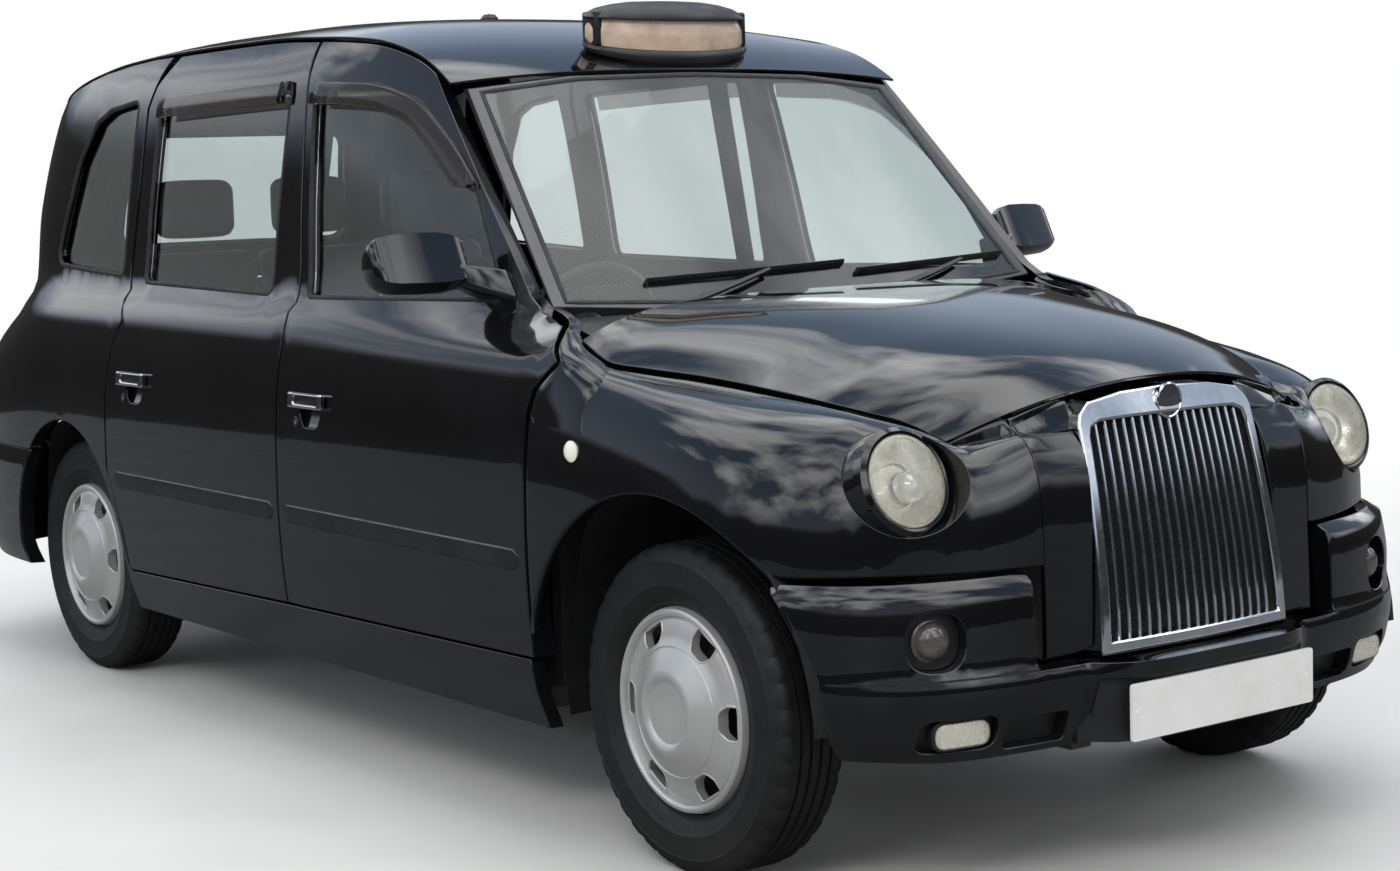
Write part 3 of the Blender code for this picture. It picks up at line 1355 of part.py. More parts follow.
def make_tail():
    edge = QUARTER_END_PATH - SEAM
    split_z = TAIL_SPLIT_SHARE * HEIGHT
    top_z = roof_edge(1.0)[1]
    window = refine(rounded([(x * HALF_WIDTH, z * HEIGHT) for x, z in TAIL_WINDOW_SHARES],
                            TAIL_WINDOW_RADIUS), CURVE_STEP)
    right = [(edge, z) for z in tail_seam_levels(top_z, split_z)]
    outline = right + [(-x, z) for x, z in reversed(right)]
    panel("rear_window_panel", "paint_black", outline, tail_sheet_skin(BODY_THICKNESS), [window])
    panel("rear_window", "glass", shrunk(window, SEAT_GAP), tail_skin(1, GLASS_DEPTH / 2,
                                                                     GLASS_THICKNESS))
    low_z = BOOT_LOW_SHARE * HEIGHT
    lid_top = split_z - GAP
    edge = QUARTER_END_PATH - GAP
    lid = [(-edge, low_z), (edge, low_z), (edge, lid_top), (-edge, lid_top)]
    panel("boot_lid", "paint_black", rounded(lid, BOOT_SKIN, 3), tail_sheet_skin(BOOT_SKIN))


def rear_bumper_point(path, z):
    key = z / HEIGHT
    width = curve_value(REAR_BUMPER_SHARES, 1, key) * HALF_WIDTH
    reach = curve_value(REAR_BUMPER_SHARES, 2, key) * REAR_OVERHANG
    power = curve_value(REAR_BUMPER_SHARES, 3, key)
    return round_end(path, z, width, reach, power, REAR_AXLE_Y, 1.0, REAR_OVERHANG)


def make_rear_bumper():
    def path_at(y, z):
        low, high = HALF_WIDTH, HALF_WIDTH + REAR_OVERHANG
        for _ in range(40):
            middle = (low + high) / 2
            if rear_bumper_point(middle, z)[0].y > y:
                low = middle
            else:
                high = middle
        return (low + high) / 2
    arch = []
    for step in range(5):
        z = BUMPER_TOP_Z + (REAR_BUMPER_FOOT_Z - BUMPER_TOP_Z) * step / 4
        reach = REAR_ARCH_REACH * math.sqrt(1 - ((z - AXLE_Z) / REAR_ARCH_HEIGHT) ** 2)
        arch.append((path_at(REAR_AXLE_Y + reach + GAP, z), z))
    outline = arch + [(-path, z) for path, z in reversed(arch)]

    def skin(path, z):
        point, normal = rear_bumper_point(path, z)
        return point, point - normal * BUMPER_WALL
    panel("rear_bumper", "paint_black", outline, skin, (), PANEL_STEP)


# Tail lamps: upright lamps on the rear quarters
REAR_LAMP_LOW_Z = 0.700
REAR_LAMP_HIGH_Z = 0.980
REAR_LAMP_START_PATH = 0.640
REAR_LAMP_END_PATH = 0.760
REAR_LAMP_PROUD = 0.016
LAMP_SEAT = 0.0028


def make_rear_lamps():
    for side, side_name in ((-1, "right"), (1, "left")):
        def skin(path, z):
            point, normal = tail_point(side * path, z)
            return point + normal * REAR_LAMP_PROUD, point + normal * LAMP_SEAT
        corners = [(REAR_LAMP_START_PATH, REAR_LAMP_LOW_Z), (REAR_LAMP_END_PATH, REAR_LAMP_LOW_Z),
                   (REAR_LAMP_END_PATH, REAR_LAMP_HIGH_Z), (REAR_LAMP_START_PATH, REAR_LAMP_HIGH_Z)]
        panel("rear_lamp_" + side_name, "lamp_red", rounded(corners, REAR_LAMP_PROUD * 2, 3), skin)


# Wheels and running gear
WHEEL_SEGMENTS = 24
TYRE_SEGMENTS = 36
AXLE_TUBE_RADIUS = 0.038
DIFF_RADIUS = 0.125
DIFF_WIDTH = 0.180
SPRING_RADIUS = 0.060
SPRING_HEIGHT = 0.240
DISC_RADIUS = 0.130
DISC_THICKNESS = 0.022
KNUCKLE_RADIUS = 0.045
KNUCKLE_HEIGHT = 0.220
HUB_FACE = 0.010


def wheel_places():
    return (("front", "right", -1, FRONT_AXLE_Y), ("front", "left", 1, FRONT_AXLE_Y),
            ("rear", "right", -1, REAR_AXLE_Y), ("rear", "left", 1, REAR_AXLE_Y))


def side_matrix(side, y):
    """Local X points out of the car, at the wheel's middle plane."""
    turn = Matrix.Rotation(0 if side > 0 else pi, 4, "Z")
    turn.translation = Vector((side * TRACK / 2, y, AXLE_Z))
    return turn


def make_tyre(name, matrix):
    half = TYRE_WIDTH / 2
    bead = RIM_WIDTH / 2 - OVERRUN
    shoulder = TYRE_RADIUS - OVERRUN
    wall = TYRE_RADIUS - (TYRE_RADIUS - RIM_RADIUS) * 0.45
    seat = (RIM_RADIUS + SEAT_GAP) / cos(pi / TYRE_SEGMENTS)
    profile = [(seat, -bead), (wall, -half), (shoulder, -half * 0.86), (TYRE_RADIUS, -half * 0.68),
               (TYRE_RADIUS, half * 0.68), (shoulder, half * 0.86), (wall, half), (seat, bead)]
    return revolve(name, "tyre", profile, TYRE_SEGMENTS, matrix)


def make_wheel(name, matrix, outer_plane):
    """Steel rim with a silver trim: six holes, a ring groove and a raised middle."""
    rim = RIM_WIDTH / 2
    face = outer_plane
    ring = TRIM_RING_RADIUS
    cap = TRIM_CAP_RADIUS
    profile = [
        (RIM_RADIUS, -rim), (RIM_RADIUS, rim - SKIN), (TRIM_RADIUS, face - TRIM_LIP * 0.4),
        (TRIM_RADIUS - SKIN, face), (TRIM_RADIUS - SKIN * 1.6, face - TRIM_LIP * 0.8),
        (ring, face + TRIM_DOME * 0.15), (cap + SKIN, face + TRIM_DOME * 0.8),
        (cap, face + TRIM_DOME), (HUB_RADIUS * 0.2, face + TRIM_DOME * 0.9),
        (HUB_RADIUS * 0.2, HUB_FACE), (HUB_RADIUS * 1.4, HUB_FACE), (HUB_RADIUS * 1.8, rim * 0.2),
        (RIM_RADIUS - SKIN * 1.4, rim * 0.2), (RIM_RADIUS - SKIN, -rim),
    ]
    wheel = revolve(name, "trim_silver", profile, WHEEL_SEGMENTS, matrix)
    cutters = []
    for index in range(TRIM_HOLES):
        angle = 2 * pi * (index + 0.5) / TRIM_HOLES
        corners = [(-TRIM_HOLE_WIDTH / 2, -TRIM_HOLE_HEIGHT / 2), (TRIM_HOLE_WIDTH / 2, -TRIM_HOLE_HEIGHT / 2),
                   (TRIM_HOLE_WIDTH / 2, TRIM_HOLE_HEIGHT / 2), (-TRIM_HOLE_WIDTH / 2, TRIM_HOLE_HEIGHT / 2)]
        outline = rounded(corners, TRIM_HOLE_HEIGHT * 0.35, 1)
        cutter = prism("cut", "steel", outline, 0, rim * 0.45, face + TRIM_DOME)
        cutter.data.transform(Matrix.Rotation(angle, 4, "X") @ Matrix.Translation((0, 0, TRIM_HOLE_RADIUS)))
        cutter.data.transform(matrix)
        cutters.append(cutter)
    return cut(wheel, *cutters)


def make_wheels():
    outer_plane = 0.8173 - TRACK / 2
    for end, side_name, side, y in wheel_places():
        matrix = side_matrix(side, y)
        make_tyre("tyre_" + end + "_" + side_name, matrix)
        make_wheel("wheel_" + end + "_" + side_name, matrix, outer_plane)


def make_knuckles():
    for side, side_name in ((-1, "right"), (1, "left")):
        x = side * KINGPIN_X
        post = prism_z("knuckle_" + side_name, "steel", x, FRONT_AXLE_Y, KNUCKLE_RADIUS,
                       AXLE_Z - KNUCKLE_HEIGHT / 2, AXLE_Z + KNUCKLE_HEIGHT / 2)
        matrix = side_matrix(side, FRONT_AXLE_Y)
        start = KINGPIN_X - TRACK / 2
        spindle = revolve_solid("spindle", "steel", [
            (0, start), (KNUCKLE_RADIUS * 0.8, start), (KNUCKLE_RADIUS * 0.8, -DISC_THICKNESS - HUB_FACE),
            (DISC_RADIUS, -DISC_THICKNESS - HUB_FACE * 0.5), (DISC_RADIUS, -HUB_FACE * 0.5),
            (HUB_RADIUS, -HUB_FACE * 0.4), (HUB_RADIUS, HUB_FACE - SEAT_GAP),
            (0, HUB_FACE - SEAT_GAP)], 18, matrix)
        unite(post, spindle)


def prism_z(name, slot, x, y, radius, low, high, sides=20):
    outline = [(x + radius * cos(2 * pi * i / sides), y + radius * sin(2 * pi * i / sides))
               for i in range(sides)]
    return prism(name, slot, outline, 2, low, high)


# Front suspension: crossmember, lower arms and struts
ARM_RADIUS = 0.016
CROSS_HALF = 0.340
CROSS_DEPTH = 0.110
CROSS_HEIGHT = 0.070
CROSS_Z = 0.235
TOWER_TOP_Z = 0.600
TOWER_X = 0.306
JOINT_GAP = 0.0005


def make_front_suspension():
    y = FRONT_AXLE_Y
    cross = box("front_suspension", "steel", (-CROSS_HALF, y - CROSS_DEPTH / 2, CROSS_Z - CROSS_HEIGHT / 2),
                (CROSS_HALF, y + CROSS_DEPTH / 2, CROSS_Z + CROSS_HEIGHT / 2))
    foot_z = AXLE_Z - KNUCKLE_HEIGHT / 2 - JOINT_GAP - ARM_RADIUS
    head_z = AXLE_Z + KNUCKLE_HEIGHT / 2 + JOINT_GAP + ARM_RADIUS
    inner_x = CROSS_HALF - ARM_RADIUS * 2
    parts = []
    for side in (-1, 1):
        arm = [(side * inner_x, y - CROSS_DEPTH * 0.4), (side * KINGPIN_X, y - KNUCKLE_RADIUS * 0.6),
               (side * (KINGPIN_X + KNUCKLE_RADIUS * 0.7), y),
               (side * KINGPIN_X, y + KNUCKLE_RADIUS * 0.6), (side * inner_x, y + CROSS_DEPTH * 0.4)]
        for level in (foot_z, head_z):
            parts.append(prism("arm", "steel", arm, 2, level - ARM_RADIUS, level + ARM_RADIUS))
        low_x, high_x = sorted((side * TOWER_X, side * CROSS_HALF * 0.98))
        parts.append(box("tower", "steel", (low_x, y - CROSS_DEPTH * 0.45, CROSS_Z),
                         (high_x, y + CROSS_DEPTH * 0.45, TOWER_TOP_Z)))
    unite(cross, *parts)


def make_rear_axle():
    y = REAR_AXLE_Y
    half = TRACK / 2 + HUB_FACE - SEAT_GAP
    matrix = Matrix.Translation((0, y, AXLE_Z))
    profile = [(0, -half), (HUB_RADIUS, -half), (HUB_RADIUS, -half + DISC_THICKNESS),
               (AXLE_TUBE_RADIUS, -half + DISC_THICKNESS * 1.5), (AXLE_TUBE_RADIUS, -DIFF_WIDTH / 2),
               (DIFF_RADIUS, -DIFF_WIDTH / 4), (DIFF_RADIUS, DIFF_WIDTH / 4),
               (AXLE_TUBE_RADIUS, DIFF_WIDTH / 2), (AXLE_TUBE_RADIUS, half - DISC_THICKNESS * 1.5),
               (HUB_RADIUS, half - DISC_THICKNESS), (HUB_RADIUS, half), (0, half)]
    axle = revolve_solid("rear_axle", "steel", profile, 14, matrix)
    parts = []
    for side in (-1, 1):
        x = side * REAR_SPRING_X
        top = REAR_FLOOR_Z - FLOOR_THICKNESS - SEAT_GAP
        parts.append(prism_z("spring", "steel", x, y, SPRING_RADIUS * 0.8, AXLE_Z, top, 14))
    unite(axle, *parts)


# Floor: front floor, rear floor over the axle, bulkhead and rails
REAR_SPRING_X = 0.480
REAR_FLOOR_Z = 0.640
FLOOR_HALF = 0.800
FLOOR_FRONT = 0.500
FLOOR_REAR = 2.400
HEEL_THICKNESS = 0.040
RAIL_HALF = 0.026
RAIL_X = 0.278
RAIL_HEIGHT = 0.080
BULKHEAD_TOP_Z = 0.960
TAIL_FLOOR_REACH = 0.880
STAY_PLACE = 0.385
STAY_DEPTH = 0.035
STAY_X = 0.745
STAY_Z = 0.800
STAY_HEIGHT = 0.060
STRIKER_HALF = 0.025
STRIKER_HEIGHT = 0.090
ARCH_INNER_X = 0.580


def make_floor():
    front = FRONT_AXLE_Y + FLOOR_FRONT
    rear = FRONT_AXLE_Y + FLOOR_REAR
    end = REAR_AXLE_Y + TAIL_FLOOR_REACH
    t = FLOOR_THICKNESS
    scuttle = bpy.data.objects["scuttle"]
    seats = [probe(scuttle, (ARCH_INNER_X * step / 6, y, FLOOR_Z), (0, 0, 1))
             for step in range(-6, 7) for y in (front + SEAT_GAP, front + LIP)]
    top_z = min(spot.z for spot in seats if spot) - SEAT_GAP
    profile = [(front, FLOOR_Z - t), (rear, FLOOR_Z - t), (rear + t, REAR_FLOOR_Z - t),
               (end, REAR_FLOOR_Z - t), (end, REAR_FLOOR_Z), (rear, REAR_FLOOR_Z),
               (rear - t, FLOOR_Z), (front + t, FLOOR_Z), (front + t, BULKHEAD_TOP_Z),
               (front + LIP, top_z), (front, top_z)]
    floor = prism("floor_pan", "underbody", profile, 0, -ARCH_INNER_X, ARCH_INNER_X)
    bumper = bpy.data.objects["front_bumper"]
    sill = bpy.data.objects["side_frame_left"]
    stations = [front + t + (rear - front) * step / 12 for step in range(12)]
    sill_x = min(probe(sill, (0, y, z), (1, 0, 0)).x for y in stations for z in (FLOOR_Z - t, FLOOR_Z))
    floor_half = sill_x - SEAT_GAP
    parts = []
    for side in (-1, 1):
        low_x, high_x = sorted((side * (ARCH_INNER_X - SKIN), side * floor_half))
        parts.append(box("side_floor", "underbody", (low_x, front, FLOOR_Z - t),
                         (high_x, rear - t * 2, FLOOR_Z)))
        low_x, high_x = sorted((side * (RAIL_X - RAIL_HALF), side * (RAIL_X + RAIL_HALF)))
        rail_z = CROSS_Z + CROSS_HEIGHT / 2 + SEAT_GAP
        rail_front = max(probe(bumper, (x, FRONT_AXLE_Y, z), (0, -1, 0)).y
                         for x in (low_x, high_x) for z in (BUMPER_FOOT_Z + LIP, rail_z + RAIL_HEIGHT))
        parts.append(box("rail", "underbody", (low_x, rail_front + SEAM, rail_z),
                         (high_x, front + t / 2, rail_z + RAIL_HEIGHT)))
        low_x, high_x = sorted((side * (ARCH_INNER_X - SKIN), side * FLOOR_HALF * 0.94))
        parts.append(box("dash_side", "underbody", (low_x, front + LIP, FLOOR_Z - t * 0.5),
                         (high_x, front + t - LIP, BULKHEAD_TOP_Z - LIP)))
        wing = bpy.data.objects["front_wing_left"]
        stay_low = (FRONT_AXLE_Y + STAY_PLACE, STAY_Z)
        stay_high = (stay_low[0] + STAY_DEPTH, STAY_Z + STAY_HEIGHT)
        wing_x = min(probe(wing, (0, y, z), (1, 0, 0)).x for y in (stay_low[0], stay_high[0])
                     for z in (stay_low[1], stay_high[1])) - SEAT_GAP
        low_x, high_x = sorted((side * STAY_X, side * wing_x))
        parts.append(box("stay", "underbody", (low_x, *stay_low), (high_x, *stay_high)))
        low_x, high_x = sorted((side * STAY_X, side * (STAY_X + STAY_DEPTH)))
        parts.append(box("stay_arm", "underbody", (low_x, *stay_low),
                         (high_x, front + LIP * 2, stay_high[1])))
    boot = bpy.data.objects["boot_lid"]
    striker_z = REAR_FLOOR_Z + STRIKER_HEIGHT
    striker_y = min(probe(boot, (x, end - t, z), (0, 1, 0)).y for x in (-STRIKER_HALF, 0, STRIKER_HALF)
                    for z in (striker_z, striker_z - STRIKER_HALF)) - SEAT_GAP
    parts.append(box("striker", "underbody", (-STRIKER_HALF, end - t, REAR_FLOOR_Z - t / 2),
                     (STRIKER_HALF, end, striker_z)))
    if striker_y > end:
        parts.append(box("striker_head", "underbody", (-STRIKER_HALF, end - t, striker_z - STRIKER_HALF),
                         (STRIKER_HALF, striker_y, striker_z)))
    unite(floor, *parts)


# Engine and gearbox: one plain block
ENGINE_WIDTH = 0.480
ENGINE_LENGTH = 0.620
ENGINE_HIGH_Z = 0.850
ENGINE_FRONT = -0.250


def make_engine():
    front = FRONT_AXLE_Y + ENGINE_FRONT
    box("engine_block", "steel", (-ENGINE_WIDTH / 2, front, CROSS_Z + CROSS_HEIGHT / 2 + SEAT_GAP),
        (ENGINE_WIDTH / 2, front + ENGINE_LENGTH, ENGINE_HIGH_Z))


# Cabin
PARTITION_PLACE = 1.680
PARTITION_THICKNESS = 0.030
PARTITION_LOW_HEIGHT = 0.950
PAD_ZS = (0.480, 0.780)
PAD_HEIGHT = 0.060
SEAT_X = 0.370
SEAT_WIDTH = 0.500
SEAT_FRONT = 0.920
SEAT_LENGTH = 0.500
SEAT_BASE_Z = 0.560
CUSHION_HEIGHT = 0.130
BACK_THICKNESS = 0.120
BACK_TOP_Z = 1.210
BACK_LEAN = 0.120
HEADREST_HALF = 0.130
HEADREST_LOW_Z = 1.235
HEADREST_HIGH_Z = 1.430
REAR_SEAT_FRONT = 2.330
REAR_SEAT_LENGTH = 0.480
REAR_SEAT_HALF = 0.600
REAR_SEAT_BASE_Z = 0.700
DASH_FRONT = 0.640
DASH_REAR = 0.880
DASH_HALF = 0.680
DASH_TOP_Z = 1.040
DASH_LOW_Z = 0.700
WHEEL_X = 0.370
WHEEL_RIM_RADIUS = 0.190
WHEEL_TUBE = 0.014
WHEEL_TILT = radians(28)
WHEEL_PLACE = 0.960
WHEEL_Z = 1.010


def make_cabin():
    axle = FRONT_AXLE_Y
    front = axle + FLOOR_FRONT + FLOOR_THICKNESS
    dash_profile = [(axle + DASH_FRONT, DASH_TOP_Z - SKIN), (axle + DASH_FRONT + GAP, DASH_LOW_Z),
                    (axle + DASH_REAR - GAP * 4, DASH_LOW_Z), (axle + DASH_REAR, DASH_LOW_Z + CUSHION_HEIGHT),
                    (axle + DASH_REAR - SKIN, DASH_TOP_Z - SKIN * 2), (axle + DASH_REAR - SKIN * 3, DASH_TOP_Z)]
    dash = prism("dashboard", "cabin_grey", dash_profile, 0, -DASH_HALF, DASH_HALF)
    stay = box("stay", "cabin_grey", (-RAIL_HALF, front + SEAT_GAP, DASH_LOW_Z + SKIN),
               (RAIL_HALF, axle + DASH_FRONT + SKIN * 2, DASH_LOW_Z + CUSHION_HEIGHT))
    unite(dash, stay, make_steering_wheel())
    make_seat()
    make_rear_seat()
    make_partition()


def make_steering_wheel():
    turn = Matrix.Rotation(WHEEL_TILT, 4, "X")
    turn.translation = Vector((-WHEEL_X, FRONT_AXLE_Y + WHEEL_PLACE, WHEEL_Z))
    segments, sides = 18, 6
    rings = []
    for step in range(segments):
        angle = 2 * pi * step / segments
        centre = Vector((cos(angle) * WHEEL_RIM_RADIUS, 0, sin(angle) * WHEEL_RIM_RADIUS))
        outward = centre.normalized()
        rings.append([turn @ (centre + outward * (WHEEL_TUBE * cos(2 * pi * i / sides))
                              + Vector((0, WHEEL_TUBE * sin(2 * pi * i / sides), 0)))
                      for i in range(sides)])
    wheel = loft("steering_wheel", "plastic_black", rings, capped=False)
    boss = revolve_solid("boss", "plastic_black", [
        (0, -HUB_RADIUS * 0.7), (HUB_RADIUS * 0.8, -HUB_RADIUS * 0.7), (HUB_RADIUS, 0), (0, SKIN)],
        16, turn @ Matrix.Rotation(pi / 2, 4, "Z"))
    parts = [boss]
    for angle in (0, pi, -pi / 2):
        reach = Vector((cos(angle), 0, sin(angle))) * (WHEEL_RIM_RADIUS - WHEEL_TUBE * 0.2)
        start = Vector((0, 0, 0))
        parts.append(tube("spoke", "plastic_black", [turn @ start, turn @ reach], WHEEL_TUBE * 0.8, 6))
    column_end = turn @ Vector((0, -HUB_RADIUS * 1.75, 0))
    parts.append(tube("column", "plastic_black", [turn @ Vector((0, 0, 0)), column_end],
                      WHEEL_TUBE * 1.8, 10))
    return unite(wheel, *parts)


def soft_block(name, slot, low, high, inset):
    """A block with chamfered edges for a cushion."""
    bm = bmesh.new()
    bmesh.ops.create_cube(bm, size=1.0)
    for vert in bm.verts:
        vert.co = Vector([low[i] + (high[i] - low[i]) * (vert.co[i] + 0.5) for i in range(3)])
    bmesh.ops.bevel(bm, geom=bm.edges[:], offset=inset, segments=1, affect="EDGES", profile=0.5)
    return finish_bmesh(name, bm, slot)


def seat_profile(start, length, base_z, back_top_z):
    """Side profile of a seat and its back, running from the front of the cushion."""
    top = base_z + CUSHION_HEIGHT
    rear = start + length
    return [(start, base_z), (rear, base_z), (rear + BACK_THICKNESS + BACK_LEAN, back_top_z),
            (rear + BACK_LEAN + SKIN, back_top_z + SKIN), (rear + BACK_LEAN, back_top_z - SKIN),
            (rear, top), (start + SKIN * 2, top + SKIN), (start, top - SKIN)]


def make_seat():
    start = FRONT_AXLE_Y + SEAT_FRONT
    low_x, high_x = -SEAT_X - SEAT_WIDTH / 2, -SEAT_X + SEAT_WIDTH / 2
    seat = prism("driver_seat", "seat_dark", seat_profile(start, SEAT_LENGTH, SEAT_BASE_Z, BACK_TOP_Z),
                 0, low_x, high_x)
    pedestal = box("pedestal", "seat_dark", (low_x + SKIN * 3, start + SKIN * 2, FLOOR_Z + SEAT_GAP),
                   (high_x - SKIN * 3, start + SEAT_LENGTH - SKIN * 2, SEAT_BASE_Z + SKIN))
    rest_y = start + SEAT_LENGTH + BACK_LEAN
    rest = soft_block("rest", "seat_dark", (-SEAT_X - HEADREST_HALF, rest_y + SKIN, HEADREST_LOW_Z),
                      (-SEAT_X + HEADREST_HALF, rest_y + BACK_THICKNESS, HEADREST_HIGH_Z), SKIN * 2)
    posts = [tube("post", "seat_dark", [(-SEAT_X + offset, rest_y + BACK_THICKNESS / 2, BACK_TOP_Z - SKIN * 3),
                                        (-SEAT_X + offset, rest_y + BACK_THICKNESS / 2, HEADREST_LOW_Z + SKIN)],
                  LIP, 6) for offset in (-HEADREST_HALF / 2, HEADREST_HALF / 2)]
    unite(seat, pedestal, rest, *posts)


def make_rear_seat():
    start = FRONT_AXLE_Y + REAR_SEAT_FRONT
    bench = prism("rear_seat", "seat_dark",
                  seat_profile(start, REAR_SEAT_LENGTH, REAR_SEAT_BASE_Z, BACK_TOP_Z + SKIN), 0,
                  -REAR_SEAT_HALF, REAR_SEAT_HALF)
    plinth = box("plinth", "seat_dark", (-REAR_SEAT_HALF + SKIN * 4, start + HEEL_THICKNESS * 4, REAR_FLOOR_Z + SEAT_GAP),
                 (REAR_SEAT_HALF - SKIN * 4, start + REAR_SEAT_LENGTH - SKIN * 2, REAR_SEAT_BASE_Z + SKIN))
    parts = [plinth]
    rest_y = start + REAR_SEAT_LENGTH + BACK_LEAN
    for x in (-REAR_SEAT_HALF * 0.64, 0, REAR_SEAT_HALF * 0.64):
        parts.append(soft_block("rest", "seat_dark", (x - HEADREST_HALF, rest_y + SKIN, HEADREST_LOW_Z),
                                (x + HEADREST_HALF, rest_y + BACK_THICKNESS * 0.9, HEADREST_HIGH_Z - SKIN),
                                SKIN * 2))
        parts += [tube("post", "seat_dark",
                       [(x + offset, rest_y + BACK_THICKNESS / 2, BACK_TOP_Z - SKIN * 3),
                        (x + offset, rest_y + BACK_THICKNESS / 2, HEADREST_LOW_Z + SKIN)], LIP, 6)
                  for offset in (-HEADREST_HALF / 2, HEADREST_HALF / 2)]
    unite(bench, *parts)


def make_partition():
    """The screen behind the driver: a lower wall, a framed upper opening and its two posts."""
    y = FRONT_AXLE_Y + PARTITION_PLACE
    low_half = FLOOR_HALF - SKIN
    waist = BELT_Z
    waist_x = side_x(y, waist + CUSHION_HEIGHT / 2) - DOOR_THICKNESS - SKIN
    top_z = HEIGHT * 0.925
    top_x = side_x(y, top_z) - DOOR_THICKNESS - SKIN
    outline = [(-low_half, FLOOR_Z + SEAT_GAP), (low_half, FLOOR_Z + SEAT_GAP), (low_half, waist * 0.95),
               (waist_x, waist), (top_x, top_z), (-top_x, top_z), (-waist_x, waist),
               (-low_half, waist * 0.95)]
    frame = HEEL_THICKNESS
    hole = [(-waist_x + frame, waist), (waist_x - frame, waist), (top_x - frame, top_z - frame),
            (-top_x + frame, top_z - frame)]

    def skin(x, z):
        return Vector((x, y, z)), Vector((x, y + PARTITION_THICKNESS, z))
    partition = panel("partition", "cabin_grey", outline, skin, [rounded(hole, frame, 3)], LENGTH, LENGTH)
    door = bpy.data.objects["rear_door_left"]
    pads = []
    for side in (-1, 1):
        for z in PAD_ZS:
            door_x = min(probe(door, (0, along, up), (1, 0, 0)).x for up in (z, z + PAD_HEIGHT)
                         for along in (y, y + PARTITION_THICKNESS)) - SEAT_GAP
            low_x, high_x = sorted((side * (low_half - frame), side * door_x))
            pads.append(box("hinge_pad", "cabin_grey", (low_x, y + LIP / 2, z),
                            (high_x, y + PARTITION_THICKNESS - LIP / 2, z + PAD_HEIGHT)))
    unite(partition, *pads)


# Roof sign, mirrors and exhaust
SIGN_HALF = 0.246
SIGN_DEPTH = 0.085
SIGN_TOP_Z = 1.812
SIGN_PLACE = 1.090
SIGN_SIDES = 20
MIRROR_PLACE = 0.640
MIRROR_Z = 1.215
MIRROR_OUT_X = 1.018
MIRROR_IN_X = 0.800
MIRROR_HEIGHT = 0.135
MIRROR_DEPTH = 0.130
MIRROR_SEAT = 0.0072
EXHAUST_RADIUS = 0.026
EXHAUST_X = 0.300


def make_sign():
    """An oval light on the roof: an upright oval lens under a thin brow."""
    y = FRONT_AXLE_Y + SIGN_PLACE
    roof = bpy.data.objects["roof_panel"]
    rings = []
    rows = ((0.0, 0.10, 0.10, 1), (0.0, 0.50, 0.50, 1), (0.0, 0.80, 0.80, 0), (0.12, 0.92, 0.98, 0),
            (0.45, 1.0, 1.0, 0), (0.72, 0.95, 0.92, 0), (0.90, 0.80, 0.74, 0), (1.0, 0.45, 0.45, 0))
    for up, wide, deep, lift in rows:
        ring = []
        for step in range(SIGN_SIDES):
            angle = 2 * pi * step / SIGN_SIDES
            x = SIGN_HALF * wide * cos(angle)
            along = y + SIGN_DEPTH * deep * sin(angle)
            foot = probe(roof, (x, along, 2 * HEIGHT), (0, 0, -1)).z + SEAM + LIP * lift
            ring.append(Vector((x, along, foot + (SIGN_TOP_Z - foot) * up)))
        rings.append(ring)
    loft("roof_sign", "sign", rings)


def roof_height(x, y):
    low, high = 0.0, 1.0
    for _ in range(30):
        middle = (low + high) / 2
        edge_y, edge_z = roof_edge(middle)
        across = x / side_x(edge_y, edge_z)
        if roof_point(across, middle).y < y:
            low = middle
        else:
            high = middle
    edge_y, edge_z = roof_edge(low)
    return roof_point(x / side_x(edge_y, edge_z), low).z


def make_mirrors():
    y = FRONT_AXLE_Y + MIRROR_PLACE + MIRROR_DEPTH
    for side, side_name in ((-1, "right"), (1, "left")):
        rings = []
        rows = ((0.00, 0.45, 0.45), (0.06, 0.78, 0.80), (0.30, 1.00, 1.00), (0.80, 0.96, 0.95),
                (0.94, 0.80, 0.80), (1.00, 0.55, 0.55))
        for share, tall, deep in rows:
            x = MIRROR_IN_X + (MIRROR_OUT_X - MIRROR_IN_X) * share
            rings.append([Vector((side * x, y + MIRROR_DEPTH / 2 * deep * sin(a) + MIRROR_DEPTH * share * 0.3,
                                  MIRROR_Z + MIRROR_HEIGHT / 2 * tall * cos(a)))
                          for a in (2 * pi * i / 20 for i in range(14))])
        mirror = loft("mirror_" + side_name, "paint_black", rings)
        base_y = y - MIRROR_DEPTH * 0.6
        base_z = BELT_Z + HANDLE_DEPTH * 2.6
        foot = []
        for along, up in ((-0.5 * MIRROR_DEPTH, -GAP * 2), (0.7 * MIRROR_DEPTH, -GAP * 2),
                          (0.7 * MIRROR_DEPTH, MIRROR_HEIGHT * 0.4), (0, MIRROR_HEIGHT * 0.4)):
            foot_x = side_x(base_y + along, base_z + up) + MIRROR_SEAT
            foot.append(Vector((side * foot_x, base_y + along, base_z + up)))
        head = [Vector((side * (MIRROR_IN_X + SKIN * 2.5), y + along, MIRROR_Z - MIRROR_HEIGHT * 0.25 + up))
                for along, up in ((-GAP * 5, -GAP * 3), (GAP * 5, -GAP * 3), (GAP * 5, GAP * 5),
                                  (-GAP * 5, GAP * 5))]
        arm = loft("arm", "paint_black", [foot, head])
        unite(mirror, arm)


